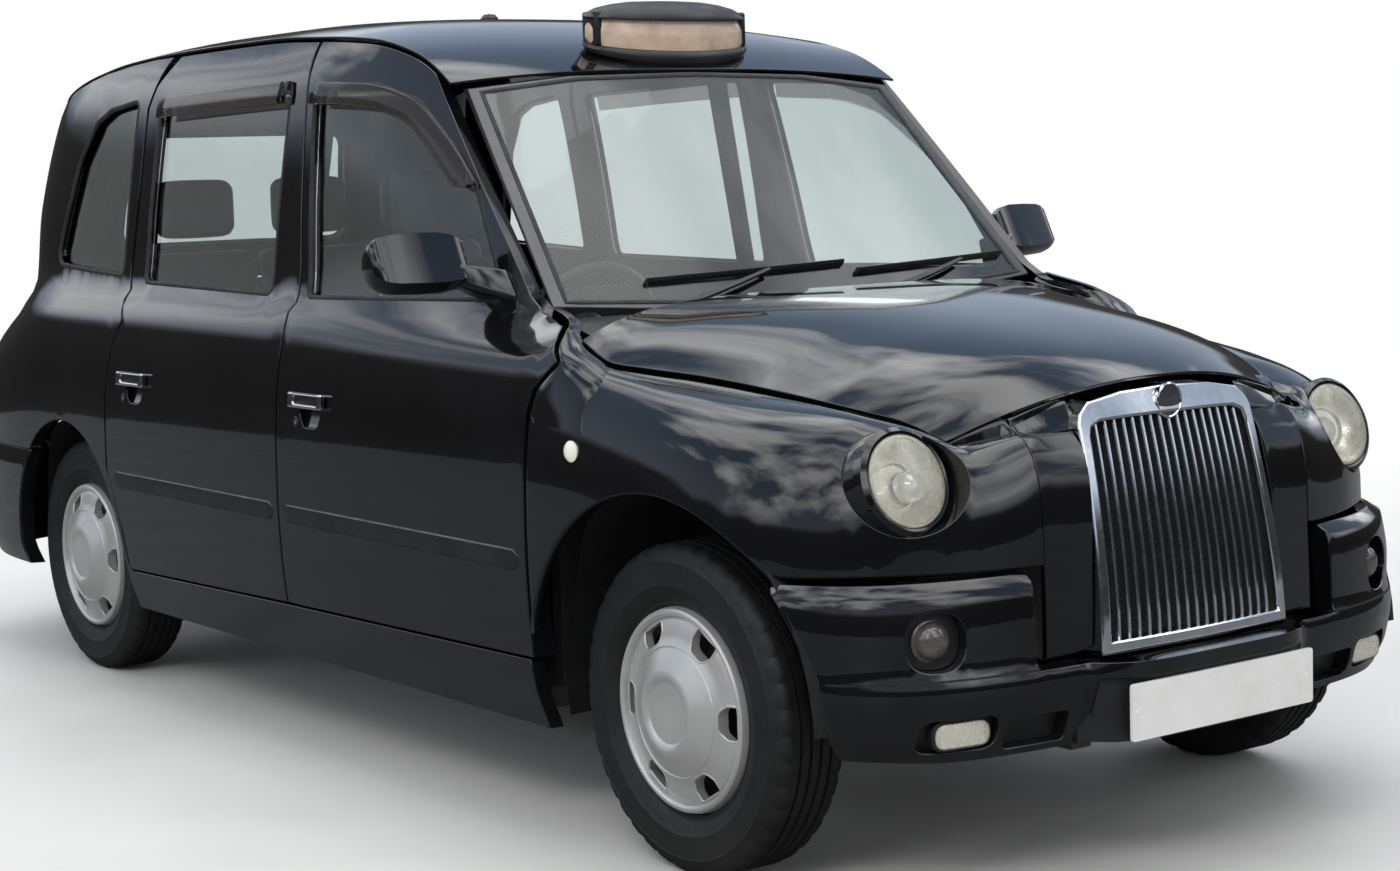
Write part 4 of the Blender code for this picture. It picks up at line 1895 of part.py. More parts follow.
def make_exhaust():
    z = FLOOR_Z - FLOOR_THICKNESS - EXHAUST_RADIUS * 2.2
    route = [(EXHAUST_X * 0.3, FRONT_AXLE_Y + FLOOR_FRONT, z), (EXHAUST_X * 0.6, FRONT_AXLE_Y + FLOOR_REAR * 0.5, z),
             (EXHAUST_X, FRONT_AXLE_Y + FLOOR_REAR * 0.8, z)]
    pipe = tube("exhaust", "steel", route, EXHAUST_RADIUS, 10)
    box_y = FRONT_AXLE_Y + FLOOR_REAR * 0.55
    silencer = soft_block("silencer", "steel", (EXHAUST_X * 0.2, box_y, z - EXHAUST_RADIUS * 2),
                          (EXHAUST_X * 1.1, box_y + SEAT_LENGTH, z + EXHAUST_RADIUS * 1.6), SKIN * 2)
    hanger = box("hanger", "steel", (EXHAUST_X * 0.6, box_y + HEADREST_HALF, z),
                 (EXHAUST_X * 0.66, box_y + HEADREST_HALF * 1.3, FLOOR_Z - FLOOR_THICKNESS - SEAT_GAP))
    unite(pipe, silencer, hanger)


def main():
    clear_scene()
    make_doors()
    make_roof()
    make_side_frames()
    make_bonnet()
    make_wings()
    make_headlamps()
    make_windscreen()
    make_scuttle()
    make_nose()
    make_grille()
    make_front_bumper()
    make_tail()
    make_rear_bumper()
    make_rear_lamps()
    make_wheels()
    make_knuckles()
    make_front_suspension()
    make_rear_axle()
    make_floor()
    make_engine()
    make_cabin()
    make_sign()
    make_mirrors()
    make_exhaust()


main()
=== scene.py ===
import functools
import json
from math import asin, ceil, cos, hypot, pi, radians, sin, sqrt, tan

import bmesh
import bpy
import numpy as np
from mathutils import Matrix, Vector
from mathutils.geometry import delaunay_2d_cdt

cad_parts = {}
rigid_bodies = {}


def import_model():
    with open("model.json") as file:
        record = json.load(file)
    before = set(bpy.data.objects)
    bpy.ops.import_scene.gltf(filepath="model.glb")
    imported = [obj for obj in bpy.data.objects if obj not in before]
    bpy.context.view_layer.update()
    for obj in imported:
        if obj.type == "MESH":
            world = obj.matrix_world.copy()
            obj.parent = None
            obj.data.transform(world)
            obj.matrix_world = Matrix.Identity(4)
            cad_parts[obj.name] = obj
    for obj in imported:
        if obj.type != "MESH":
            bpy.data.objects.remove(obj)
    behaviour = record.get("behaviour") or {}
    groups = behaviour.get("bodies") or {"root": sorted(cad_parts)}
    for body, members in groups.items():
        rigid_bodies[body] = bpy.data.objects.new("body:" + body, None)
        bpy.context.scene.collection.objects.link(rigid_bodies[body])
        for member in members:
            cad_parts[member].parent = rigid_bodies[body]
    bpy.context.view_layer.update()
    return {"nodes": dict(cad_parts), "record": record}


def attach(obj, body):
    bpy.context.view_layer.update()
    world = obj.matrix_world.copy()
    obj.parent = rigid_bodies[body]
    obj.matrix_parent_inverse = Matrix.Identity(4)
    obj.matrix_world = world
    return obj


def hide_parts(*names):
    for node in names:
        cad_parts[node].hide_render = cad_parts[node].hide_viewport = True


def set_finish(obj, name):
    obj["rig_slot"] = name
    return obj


for item in list(bpy.data.objects):
    bpy.data.objects.remove(item)
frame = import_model()

# Sizes and surfaces of the cab, the same as those of its solids. Lengths are in metres.
SIDES = ((-1, "right"), (1, "left"))
# Overall sizes
LENGTH = 4.580
WIDTH = 1.780
HEIGHT = 1.834
WHEELBASE = 2.886
FRONT_OVERHANG = 0.700
GAP = 0.006
UPPER_GAP = 0.010
SEAT_GAP = 0.0003
SEAM = 0.0008
SKIN = 0.012
OVERRUN = 0.010
HALF_WIDTH = WIDTH / 2
FRONT_AXLE_Y = FRONT_OVERHANG - LENGTH / 2
REAR_AXLE_Y = FRONT_AXLE_Y + WHEELBASE
REAR_OVERHANG = LENGTH - FRONT_OVERHANG - WHEELBASE
# Wheels and tyres
TYRE_RADIUS = 0.334
TYRE_WIDTH = 0.176
RIM_RADIUS = 0.209
RIM_WIDTH = 0.150
TRACK = 1.470
TRIM_DOME = 0.026
TRIM_LIP = 0.012
TRIM_HOLES = 6
TRIM_HOLE_WIDTH = 0.060
TRIM_HOLE_HEIGHT = 0.046
TRIM_HOLE_RADIUS = 0.160
HUB_RADIUS = 0.075
AXLE_Z = TYRE_RADIUS
# Panels and openings
ARCH_RADIUS = 0.440
DOOR_THICKNESS = 0.055
WINDOW_FRAME_THICKNESS = 0.030
BODY_THICKNESS = 0.034
ROOF_THICKNESS = 0.030
GLASS_THICKNESS = 0.004
SILL_BOTTOM_Z = 0.225
FLOOR_Z = 0.300
BELT_Z = 1.085
# Horizontal slices of the main body, bottom to top.
# Columns: height as a share of HEIGHT, half width as a share of HALF_WIDTH, nose reach as a share
# of FRONT_OVERHANG, nose squareness, tail reach as a share of REAR_OVERHANG, tail squareness.
SLICE_SHARES = (
    (0.110, 0.925, 0.850, 3.4, 0.935, 5.0),
    (0.164, 0.961, 0.860, 3.4, 0.955, 5.0),
    (0.205, 0.979, 0.864, 3.3, 0.965, 5.0),
    (0.273, 0.991, 0.868, 3.1, 0.970, 5.0),
    (0.338, 0.995, 0.872, 2.8, 0.972, 5.0),
    (0.403, 0.993, 0.872, 2.6, 0.970, 4.8),
    (0.450, 0.988, 0.852, 2.5, 0.955, 4.4),
    (0.500, 0.978, 0.790, 2.4, 0.915, 4.0),
    (0.530, 0.968, 0.730, 2.3, 0.865, 3.6),
    (0.567, 0.950, 0.650, 2.2, 0.780, 3.2),
    (0.590, 0.935, 0.600, 2.2, 0.715, 3.2),
    (0.602, 0.908, 0.560, 2.2, 0.675, 3.6),
    (0.614, 0.898, 0.540, 2.2, 0.662, 3.8),
    (0.736, 0.860, 0.500, 2.2, 0.612, 4.4),
    (0.872, 0.811, 0.450, 2.2, 0.520, 4.2),
    (0.916, 0.787, 0.430, 2.2, 0.450, 4.0),
    (0.952, 0.750, 0.400, 2.2, 0.360, 3.6),
    (0.975, 0.720, 0.400, 2.2, 0.300, 3.4),
)
CABIN_NARROWING_SHARE = 0.065
CABIN_STRAIGHT_SHARE = 0.555
NARROW_START_SHARE = 0.567
NARROW_END_SHARE = 0.600
# The windscreen leans back and bows towards the middle.
SCREEN_BASE_Y = 0.509
SCREEN_BASE_Z = 1.1186
SCREEN_LEAN_SHARE = 0.9295
SCREEN_BOW = 0.0447
SCREEN_BOW_X = 0.650
SCREEN_THICKNESS = 0.006


def bisected(low, high, is_below, rounds=40):
    """The place between low and high where is_below turns false."""
    for _ in range(rounds):
        middle = (low + high) / 2
        if is_below(middle):
            low = middle
        else:
            high = middle
    return low


@functools.lru_cache(maxsize=None)
def curve_value(table, column, key):
    """Smooth interpolation of one column of a table whose first column rises."""
    if key <= table[0][0]:
        return table[0][column]
    last = len(table) - 1
    if key >= table[last][0]:
        return table[last][column]
    row = 0
    while table[row + 1][0] < key:
        row += 1
    low, high = table[row], table[row + 1]
    before = table[max(row - 1, 0)]
    after = table[min(row + 2, last)]
    span = high[0] - low[0]
    share = (key - low[0]) / span
    slope_low = limited_slope(before, low, high, column) * span
    slope_high = limited_slope(low, high, after, column) * span
    cube, square = share ** 3, share ** 2
    value = (2 * cube - 3 * square + 1) * low[column] + (cube - 2 * square + share) * slope_low
    return value + (3 * square - 2 * cube) * high[column] + (cube - square) * slope_high


def limited_slope(before, here, after, column):
    """Slope at a table row that never lets the curve overshoot its points."""
    run_in = here[0] - before[0]
    run_out = after[0] - here[0]
    if run_in <= 0 or run_out <= 0:
        return 0.0
    slope_in = (here[column] - before[column]) / run_in
    slope_out = (after[column] - here[column]) / run_out
    if slope_in * slope_out <= 0:
        return 0.0
    return 2 * slope_in * slope_out / (slope_in + slope_out)


@functools.lru_cache(maxsize=None)
def slice_at(z):
    """Half width, nose reach, nose squareness, tail reach and tail squareness at a height."""
    key = z / HEIGHT
    width, nose, nose_n, tail, tail_n = (curve_value(SLICE_SHARES, col, key) for col in range(1, 6))
    return width * HALF_WIDTH, nose * FRONT_OVERHANG, nose_n, tail * REAR_OVERHANG, tail_n


def screen_y(x, z):
    lean = SCREEN_LEAN_SHARE * (z - SCREEN_BASE_Z)
    return FRONT_AXLE_Y + SCREEN_BASE_Y + lean + SCREEN_BOW * (x / SCREEN_BOW_X) ** 2


@functools.lru_cache(maxsize=None)
def cabin_taper(y, z):
    """The glasshouse narrows towards the windscreen."""
    key = z / HEIGHT
    amount = (key - NARROW_START_SHARE) / (NARROW_END_SHARE - NARROW_START_SHARE)
    amount = min(max(amount, 0.0), 1.0)
    straight_y = FRONT_AXLE_Y + CABIN_STRAIGHT_SHARE * WHEELBASE
    if y >= straight_y:
        return 1.0
    share = (straight_y - y) / (straight_y - screen_y(SCREEN_BOW_X, max(z, BELT_Z)))
    return 1.0 - amount * CABIN_NARROWING_SHARE * min(share, 1.2) ** 2


def side_x(y, z):
    """Half width of the main body at a length and height."""
    width, nose, nose_n, tail, tail_n = slice_at(z)
    if y < FRONT_AXLE_Y:
        share = min((FRONT_AXLE_Y - y) / nose, 1.0)
        return width * (1.0 - share ** nose_n) ** (1.0 / nose_n)
    if y > REAR_AXLE_Y:
        share = min((y - REAR_AXLE_Y) / tail, 1.0)
        return width * (1.0 - share ** tail_n) ** (1.0 / tail_n)
    return width * cabin_taper(y, z)


def round_end(path, z, width, reach, power, axle_y, direction, box_reach):
    """A point of a squared-off end. The path runs from the centre line, out and along the side."""
    side = 1.0 if path >= 0 else -1.0
    travel = abs(path)
    if travel <= HALF_WIDTH:
        across, along = travel / HALF_WIDTH, 1.0
    else:
        across, along = 1.0, 1.0 - (travel - HALF_WIDTH) / box_reach
    if along <= 0:
        y = axle_y + direction * along * box_reach
        return Vector((side * width, y, z)), Vector((side, 0, 0))
    radial = (across ** power + along ** power) ** (-1.0 / power)
    x, y = across * radial, along * radial
    normal = Vector((side * x ** (power - 1) / width, direction * y ** (power - 1) / reach, 0))
    return Vector((side * width * x, axle_y + direction * reach * y, z)), normal.normalized()


@functools.lru_cache(maxsize=None)
def tail_point(path, z):
    width, _, _, tail, tail_n = slice_at(z)
    point, normal = round_end(path, z, width, tail, tail_n, REAR_AXLE_Y, 1.0, REAR_OVERHANG)
    if point.y < REAR_AXLE_Y:
        point.x *= cabin_taper(point.y, z)
    return point, normal


@functools.lru_cache(maxsize=None)
def tail_path(y, z):
    """The path of tail_point that reaches a given y on the side."""
    return bisected(HALF_WIDTH, HALF_WIDTH + REAR_OVERHANG + LENGTH,
                    lambda path: tail_point(path, z)[0].y > y)


def refine(outline, step):
    """Splits the long edges of a closed outline."""
    points = []
    count = len(outline)
    for index in range(count):
        start = Vector(outline[index])
        run = Vector(outline[(index + 1) % count]) - start
        pieces = max(1, ceil(run.length / step - 0.001))
        points += [tuple(start + run * (piece / pieces)) for piece in range(pieces)]
    return points


def rounded(corners, radii, segments=4):
    """A closed outline whose corners are rounded by arcs. Radii are one each or one for all."""
    if not hasattr(radii, "__len__"):
        radii = [radii] * len(corners)
    points = []
    count = len(corners)
    for index, radius in enumerate(radii):
        here = Vector(corners[index])
        back = Vector(corners[index - 1]) - here
        ahead = Vector(corners[(index + 1) % count]) - here
        if radius <= 0:
            points.append(tuple(here))
            continue
        turn = back.angle(ahead)
        reach = radius / tan(turn / 2)
        reach = min(reach, back.length * 0.48, ahead.length * 0.48)
        start = here + back.normalized() * reach
        end = here + ahead.normalized() * reach
        for step in range(segments + 1):
            share = step / segments
            low = start.lerp(here, share)
            high = here.lerp(end, share)
            points.append(tuple(low.lerp(high, share)))
    return points


def loft(name, slot, rings, capped=True, smooth_angle=radians(28)):
    """Joins closed rings of equal counts into one solid. Without caps the last meets the first."""
    bm = bmesh.new()
    loops = [[bm.verts.new(point) for point in ring] for ring in rings]
    count = len(rings[0])
    pairs = list(zip(loops, loops[1:]))
    if not capped:
        pairs.append((loops[-1], loops[0]))
    for low, high in pairs:
        for i in range(count):
            j = (i + 1) % count
            bm.faces.new((low[i], low[j], high[j], high[i]))
    if capped:
        bm.faces.new(list(reversed(loops[0])))
        bm.faces.new(loops[-1])
    return finish_bmesh(name, bm, slot, smooth_angle)


def prism(name, slot, outline, axis, start, end):
    """Extrudes an outline along an axis. The outline holds the other two axes in X, Y, Z order."""
    rings = []
    for level in (start, end):
        ring = []
        for a, b in outline:
            point = [a, b]
            point.insert(axis, level)
            ring.append(Vector(point))
        rings.append(ring)
    return loft(name, slot, rings)


def bake(item):
    """Applies the modifiers of a piece to its mesh."""
    graph = bpy.context.evaluated_depsgraph_get()
    mesh = bpy.data.meshes.new_from_object(item.evaluated_get(graph))
    old = item.data
    item.modifiers.clear()
    item.data = mesh
    bpy.data.meshes.remove(old)


def cut(target, tools):
    """Cuts tools out of the target and removes them."""
    for tool in tools:
        modifier = target.modifiers.new("cut", "BOOLEAN")
        modifier.operation = "DIFFERENCE"
        modifier.solver = "EXACT"
        modifier.object = tool
        bpy.context.view_layer.update()
        bake(target)
        bpy.data.objects.remove(tool, do_unlink=True)


def share_points(shares):
    """Side-view points from shares of WHEELBASE behind the front axle and of HEIGHT."""
    return [(FRONT_AXLE_Y + along * WHEELBASE, up * HEIGHT) for along, up in shares]

# Side view: the doors and their windows.
# Points are shares of WHEELBASE behind the front axle and of HEIGHT. The tops follow the roof.
FRONT_DOOR_SHARES = (
    (0.206, 0.6235), (0.185, 0.604), (0.145, 0.592), (0.118, 0.555), (0.145, 0.522), (0.151, 0.495),
    (0.151, 0.211), (0.5365, 0.200), (0.5365, 0.590), (0.538, 0.640), (0.560, 0.900),
)
FRONT_TOP_SHARES = (0.559, 0.372)
REAR_DOOR_SHARES = (
    (0.562, 0.900), (0.540, 0.640), (0.5385, 0.590),
    (0.5385, 0.200), (0.862, 0.187), (0.868, 0.250), (0.8836, 0.309), (0.891, 0.338),
    (0.891, 0.465), (0.879, 0.533), (0.867, 0.562), (0.873, 0.594), (0.881, 0.633), (0.876, 0.745),
    (0.878, 0.878), (0.868, 0.910),
)
REAR_TOP_SHARES = (0.838, 0.565)
REAR_GAP_START = 4
FRONT_WINDOW_SHARES = (
    (0.236, 0.616), (0.521, 0.609), (0.547, 0.893), (0.445, 0.884), (0.384, 0.860), (0.330, 0.803),
    (0.292, 0.752),
)
FRONT_WINDOW_RADII = (0.020, 0.020, 0.030, 0.100, 0.090, 0.100, 0.080)
REAR_WINDOW_SHARES = ((0.588, 0.610), (0.850, 0.618), (0.852, 0.889), (0.588, 0.897))
QUARTER_WINDOW_SHARES = (
    (0.900, 0.626), (1.068, 0.640), (1.030, 0.800), (0.998, 0.862), (0.968, 0.880), (0.902, 0.891),
)
QUARTER_WINDOW_RADII = (0.030, 0.050, 0.100, 0.060, 0.060, 0.030)
WINDOW_RADIUS = 0.028
# Roof stations. Columns: share of the way back, centre line behind the front axle as a share of
# WHEELBASE, centre height as a share of HEIGHT, edge place and edge height as the same shares.
ROOF_SHARES = (
    (0.00, 0.3445, 0.8930, 0.3500, 0.8770),
    (0.06, 0.3850, 0.9230, 0.3740, 0.8990),
    (0.12, 0.4330, 0.9460, 0.4040, 0.9190),
    (0.20, 0.5020, 0.9680, 0.4720, 0.9425),
    (0.32, 0.6060, 0.9830, 0.5640, 0.9530),
    (0.45, 0.7280, 0.9890, 0.6650, 0.9585),
    (0.58, 0.8490, 0.9890, 0.8390, 0.9555),
    (0.72, 0.9700, 0.9790, 0.9500, 0.9470),
    (0.84, 1.0570, 0.9620, 1.0200, 0.9320),
    (0.94, 1.1270, 0.9310, 1.0780, 0.9120),
    (1.00, 1.1530, 0.9080, 1.1150, 0.8970),
)
ROOF_SQUARENESS_SHARE = 2.6
ROOF_ROWS = 14
LIP = 0.006
ROOF_REAR_SHARE = 0.60
AERIAL_PLACE = 1.900
# Handles and rub strips
HANDLE_LENGTH = 0.165
HANDLE_HEIGHT = 0.030
HANDLE_DEPTH = 0.022
HANDLE_Z = 0.872
HANDLE_INSET = 0.085
STRIP_LOW_Z = 0.570
STRIP_HIGH_Z = 0.618
STRIP_INSET = 0.018
GLASS_DEPTH = 0.016
# Side frame
QUARTER_END_PATH = 0.560
REAR_ARCH_REACH = 0.370
REAR_ARCH_HEIGHT = 0.400
SILL_FRONT_SHARE = 0.156
TAIL_SEAM_SHARES = (0.850, 0.800, 0.750, 0.690, 0.640, 0.612, 0.592, 0.570, 0.530, 0.480, 0.420, 0.370)
BUMPER_TOP_Z = 0.632


def door_skin(side):
    def skin(y, z):
        x = side_x(y, z)
        upper = min(max((z - BELT_Z) / WINDOW_FRAME_THICKNESS, 0.0), 1.0)
        thickness = DOOR_THICKNESS + (WINDOW_FRAME_THICKNESS - DOOR_THICKNESS) * upper
        return Vector((side * x, y, z)), Vector((side * (x - thickness), y, z))
    return skin


def glass_skin(side, depth):
    def skin(y, z):
        x = side_x(y, z) - depth
        return Vector((side * x, y, z)), Vector((side * (x - GLASS_THICKNESS), y, z))
    return skin


def tail_skin(side, depth, thickness):
    def skin(path, z):
        point, normal = tail_point(side * path, z)
        return point - normal * depth, point - normal * (depth + thickness)
    return skin


def shrunk(outline, distance):
    """Moves each point of an outline inwards by a small distance."""
    count = len(outline)
    area = sum(outline[i][0] * outline[(i + 1) % count][1] - outline[(i + 1) % count][0] * outline[i][1]
               for i in range(count))
    turn = 1.0 if area > 0 else -1.0
    points = []
    for index in range(count):
        here = Vector(outline[index])
        back = (here - Vector(outline[index - 1])).normalized()
        ahead = (Vector(outline[(index + 1) % count]) - here).normalized()
        run = (back + ahead).normalized()
        normal = Vector((-run.y, run.x)) * turn
        stretch = 1.0 / max(run.dot(ahead), 0.5)
        points.append(tuple(here + normal * distance * stretch))
    return points


@functools.lru_cache(maxsize=None)
def roof_edge(share):
    """The roof's lower edge as (y, z), from the windscreen header to the rear header."""
    along = curve_value(ROOF_SHARES, 3, share)
    up = curve_value(ROOF_SHARES, 4, share)
    return FRONT_AXLE_Y + along * WHEELBASE, up * HEIGHT


@functools.lru_cache(maxsize=None)
def roof_share_at(y):
    return bisected(0.0, 1.0, lambda share: roof_edge(share)[0] < y)


def top_line(span_shares, pieces):
    """Points under the roof edge between two places along the wheelbase."""
    start, end = (roof_share_at(FRONT_AXLE_Y + share * WHEELBASE) for share in span_shares)
    points = []
    for step in range(pieces + 1):
        y, z = roof_edge(start + (end - start) * step / pieces)
        points.append((y, z - GAP))
    return points


def roof_point(across, share):
    """Outer roof skin. across runs from -1 to 1, share from the front header to the rear."""
    edge_y, edge_z = roof_edge(share)
    edge_x = side_x(edge_y, edge_z)
    centre_y = FRONT_AXLE_Y + curve_value(ROOF_SHARES, 1, share) * WHEELBASE
    centre_z = curve_value(ROOF_SHARES, 2, share) * HEIGHT
    bend = abs(across) ** ROOF_SQUARENESS_SHARE
    y = centre_y + (edge_y - centre_y) * bend
    z = centre_z + (edge_z - centre_z) * bend
    return Vector((across * edge_x, y, z))


def tail_seam_levels(high, low):
    """Shared heights for the points along the seams beside the rear window and the boot lid."""
    levels = [share * HEIGHT for share in TAIL_SEAM_SHARES]
    return [high] + [z for z in levels if low < z < high] + [low]

# Bonnet and the wing tops. Columns: share of the way back, gap to the wing as (x share of
# HALF_WIDTH, place behind the front axle as a share of WHEELBASE, height share of HEIGHT), centre
# line place and height as the same shares, and squareness of the crown.
BONNET_SHARES = (
    (0.00, 0.552, -0.1535, 0.4780, -0.1850, 0.5310, 2.2),
    (0.08, 0.564, -0.1375, 0.4870, -0.1620, 0.5470, 2.3),
    (0.16, 0.594, -0.1235, 0.4980, -0.1390, 0.5590, 2.5),
    (0.26, 0.638, -0.0985, 0.5080, -0.1070, 0.5715, 2.7),
    (0.38, 0.672, -0.0620, 0.5180, -0.0660, 0.5845, 2.9),
    (0.52, 0.690, -0.0110, 0.5270, -0.0110, 0.5980, 3.1),
    (0.66, 0.736, 0.0350, 0.5370, 0.0350, 0.6065, 3.3),
    (0.78, 0.800, 0.0760, 0.5450, 0.0760, 0.6115, 3.5),
    (0.88, 0.845, 0.1020, 0.5520, 0.1100, 0.6135, 3.8),
    (1.00, 0.855, 0.1300, 0.5750, 0.1480, 0.6140, 4.2),
)
BONNET_THICKNESS = 0.020
# Wings: stations from the nose seam round to the door. Columns: share of the way, lower rail as
# the path from the centre line over HALF_WIDTH, and the share of the bonnet's edge that it meets.
WING_SHARES = (
    (0.00, 0.445, -0.10),
    (0.12, 0.560, 0.015),
    (0.24, 0.680, 0.15),
    (0.36, 0.810, 0.27),
    (0.48, 0.950, 0.39),
    (0.60, 1.120, 0.47),
    (0.72, 1.330, 0.56),
    (0.84, 1.620, 0.70),
    (0.93, 1.980, 0.84),
    (1.00, 2.340, 0.96),
)
WING_SQUARENESS_SHARE = 2.6
WING_BASE_Z = 0.638
WING_BOTTOM_Z = 0.440
WING_LENGTH = 1.300
WING_HEIGHT = 0.420
SEAM_TOP_X = 0.378
SEAM_TOP_Y = 0.500
SEAM_TOP_Z = 0.890
LAMP_X = 0.6147
LAMP_Y = 0.4676
LAMP_Z = 0.8134
LAMP_TILT = radians(19)
LAMP_RADIUS = 0.1060
LENS_RADIUS = 0.0950
LENS_CROWN = 0.022


def bonnet_edge(share):
    """The bonnet's outer edge on the left side."""
    x = curve_value(BONNET_SHARES, 1, share) * HALF_WIDTH
    y = FRONT_AXLE_Y + curve_value(BONNET_SHARES, 2, share) * WHEELBASE
    z = curve_value(BONNET_SHARES, 3, share) * HEIGHT
    return Vector((x, y, z))


def bonnet_point(across, share):
    edge = bonnet_edge(share)
    centre_y = FRONT_AXLE_Y + curve_value(BONNET_SHARES, 4, share) * WHEELBASE
    centre_z = curve_value(BONNET_SHARES, 5, share) * HEIGHT
    crown = curve_value(BONNET_SHARES, 6, share)
    bend = abs(across) ** crown
    return Vector((across * edge.x, centre_y + (edge.y - centre_y) * bend,
                   centre_z + (edge.z - centre_z) * bend))


@functools.lru_cache(maxsize=None)
def nose_path_point(path, z):
    """A point of the body's front slice, by the path from the centre line."""
    width, nose, nose_n, _, _ = slice_at(z)
    point, _ = round_end(path, z, width, nose, nose_n, FRONT_AXLE_Y, -1.0, FRONT_OVERHANG)
    return point


@functools.lru_cache(maxsize=None)
def wing_upper(share):
    """The wing's upper rail: the seam's top, then the bonnet's edge moved out by the gap."""
    key = curve_value(WING_SHARES, 2, share)
    seam_top = Vector((SEAM_TOP_X, FRONT_AXLE_Y - SEAM_TOP_Y, SEAM_TOP_Z - GAP))
    if key < 0:
        corner = bonnet_edge(0)
        corner.x += GAP
        corner.z -= GAP + LIP
        return seam_top.lerp(corner, 1 - key / WING_SHARES[0][2])
    edge = bonnet_edge(key)
    edge.x += GAP * 1.2
    edge.z -= GAP * 1.4
    return edge


@functools.lru_cache(maxsize=None)
def wing_point(along, up):
    """along runs round the wing in metres, up from below its base to the bonnet, in metres."""
    share = min(max(along / WING_LENGTH, 0.0), 1.0)
    path = curve_value(WING_SHARES, 1, share) * HALF_WIDTH
    if up <= 0:
        return nose_path_point(path, WING_BASE_Z + up)
    low = nose_path_point(path, WING_BASE_Z)
    high = wing_upper(share)
    angle = min(up / WING_HEIGHT, 1.0) * pi / 2
    out = cos(angle) ** (2 / WING_SQUARENESS_SHARE) if angle < pi / 2 else 0.0
    rise = sin(angle) ** (2 / WING_SQUARENESS_SHARE)
    return Vector((high.x + (low.x - high.x) * out, high.y + (low.y - high.y) * out,
                   low.z + (high.z - low.z) * rise))


def solve_wing(measure, goal, along, up):
    """Finds the wing coordinates at which a measure of the surface point takes a goal value."""
    step = SKIN / 10
    for _ in range(30):
        here = Vector(measure(wing_point(along, up)))
        error = Vector(goal) - here
        if error.length < SEAT_GAP / 100:
            break
        by_along = (Vector(measure(wing_point(along + step, up))) - here) / step
        by_up = (Vector(measure(wing_point(along, up + step))) - here) / step
        det = by_along.x * by_up.y - by_up.x * by_along.y
        if abs(det) < 1e-9:
            break
        move_along = (error.x * by_up.y - by_up.x * error.y) / det
        move_up = (by_along.x * error.y - error.x * by_along.y) / det
        limit = WING_HEIGHT / 6
        along += min(max(move_along, -limit), limit)
        up += min(max(move_up, -limit), limit)
        along = min(max(along, 0.0), WING_LENGTH - step)
        up = min(max(up, -WING_HEIGHT), WING_HEIGHT - step * 2)
    return along, up


def side_view(point):
    return point.y, point.z


def wing_skin(side, thickness):
    """The wing's two faces. Round the lamp's hole the edge runs straight back."""
    step = SKIN / 10
    lamp_centre, lamp_forward, _, _ = lamp_frame(1)

    def skin(along, up):
        point = wing_point(along, up)
        low_along = max(along - step, 0.0)
        low_up = up - step
        across = wing_point(low_along + 2 * step, up) - wing_point(low_along, up)
        rise = wing_point(along, min(up + step, WING_HEIGHT)) - wing_point(along, low_up)
        normal = across.cross(rise).normalized()
        if normal.dot(Vector((1, -1, 1))) < 0:
            normal = -normal
        normal.x *= min(along / SEAM_TURN, 1.0)
        normal.normalize()
        arm = point - lamp_centre
        radial = (arm - lamp_forward * arm.dot(lamp_forward)).length
        if arm.y < LAMP_RADIUS:
            weight = min(max(1 - (radial - LAMP_RADIUS) / (LAMP_RADIUS / 2), 0.0), 1.0)
            normal = normal.lerp(lamp_forward, weight).normalized()
        inner = point - normal * thickness
        return Vector((side * point.x, point.y, point.z)), Vector((side * inner.x, inner.y, inner.z))
    return skin


def lamp_frame(side):
    """Axes of a headlamp: forwards out of the lens, across and up the lens."""
    forward = Vector((0, -cos(LAMP_TILT), sin(LAMP_TILT)))
    across = Vector((1, 0, 0))
    lift = Vector((0, sin(LAMP_TILT), cos(LAMP_TILT)))
    centre = Vector((side * LAMP_X, FRONT_AXLE_Y - LAMP_Y, LAMP_Z))
    return centre, forward, across, lift

# Windscreen and its frame, in front view. Columns: x as a share of HALF_WIDTH, z of HEIGHT.
SCREEN_GLASS_SHARES = ((0.757, 0.6125), (0.678, 0.8680), (0.380, 0.8835), (0.0, 0.8880))
SCREEN_FOOT_SHARE = 0.6035
FRAME_SHARES = ((0.798, 0.6080), (0.712, 0.8730), (0.400, 0.8885), (0.0, 0.8925))
FRAME_FOOT_SHARE = 0.5950
FRAME_SLAB = 0.026
FRAME_LIP = 0.006


def both_sides(shares, foot_share):
    """A symmetric front-view outline from its right-hand points and the height of its foot."""
    right = [(x * HALF_WIDTH, z * HEIGHT) for x, z in shares]
    foot = foot_share * HEIGHT
    half_foot = [(right[0][0], right[0][1]), (right[0][0] * 0.5, foot), (0.0, foot)]
    left = [(-x, z) for x, z in right[:-1]]
    return right[1:] + left[::-1] + [(-x, z) for x, z in half_foot[1:2]] + [half_foot[2]] + [
        half_foot[1], right[0]]

# Scuttle: the tray under the wipers, between the bonnet and the windscreen.
SCUTTLE_DROP = 0.030
SCUTTLE_FRONT_GAP = 0.012
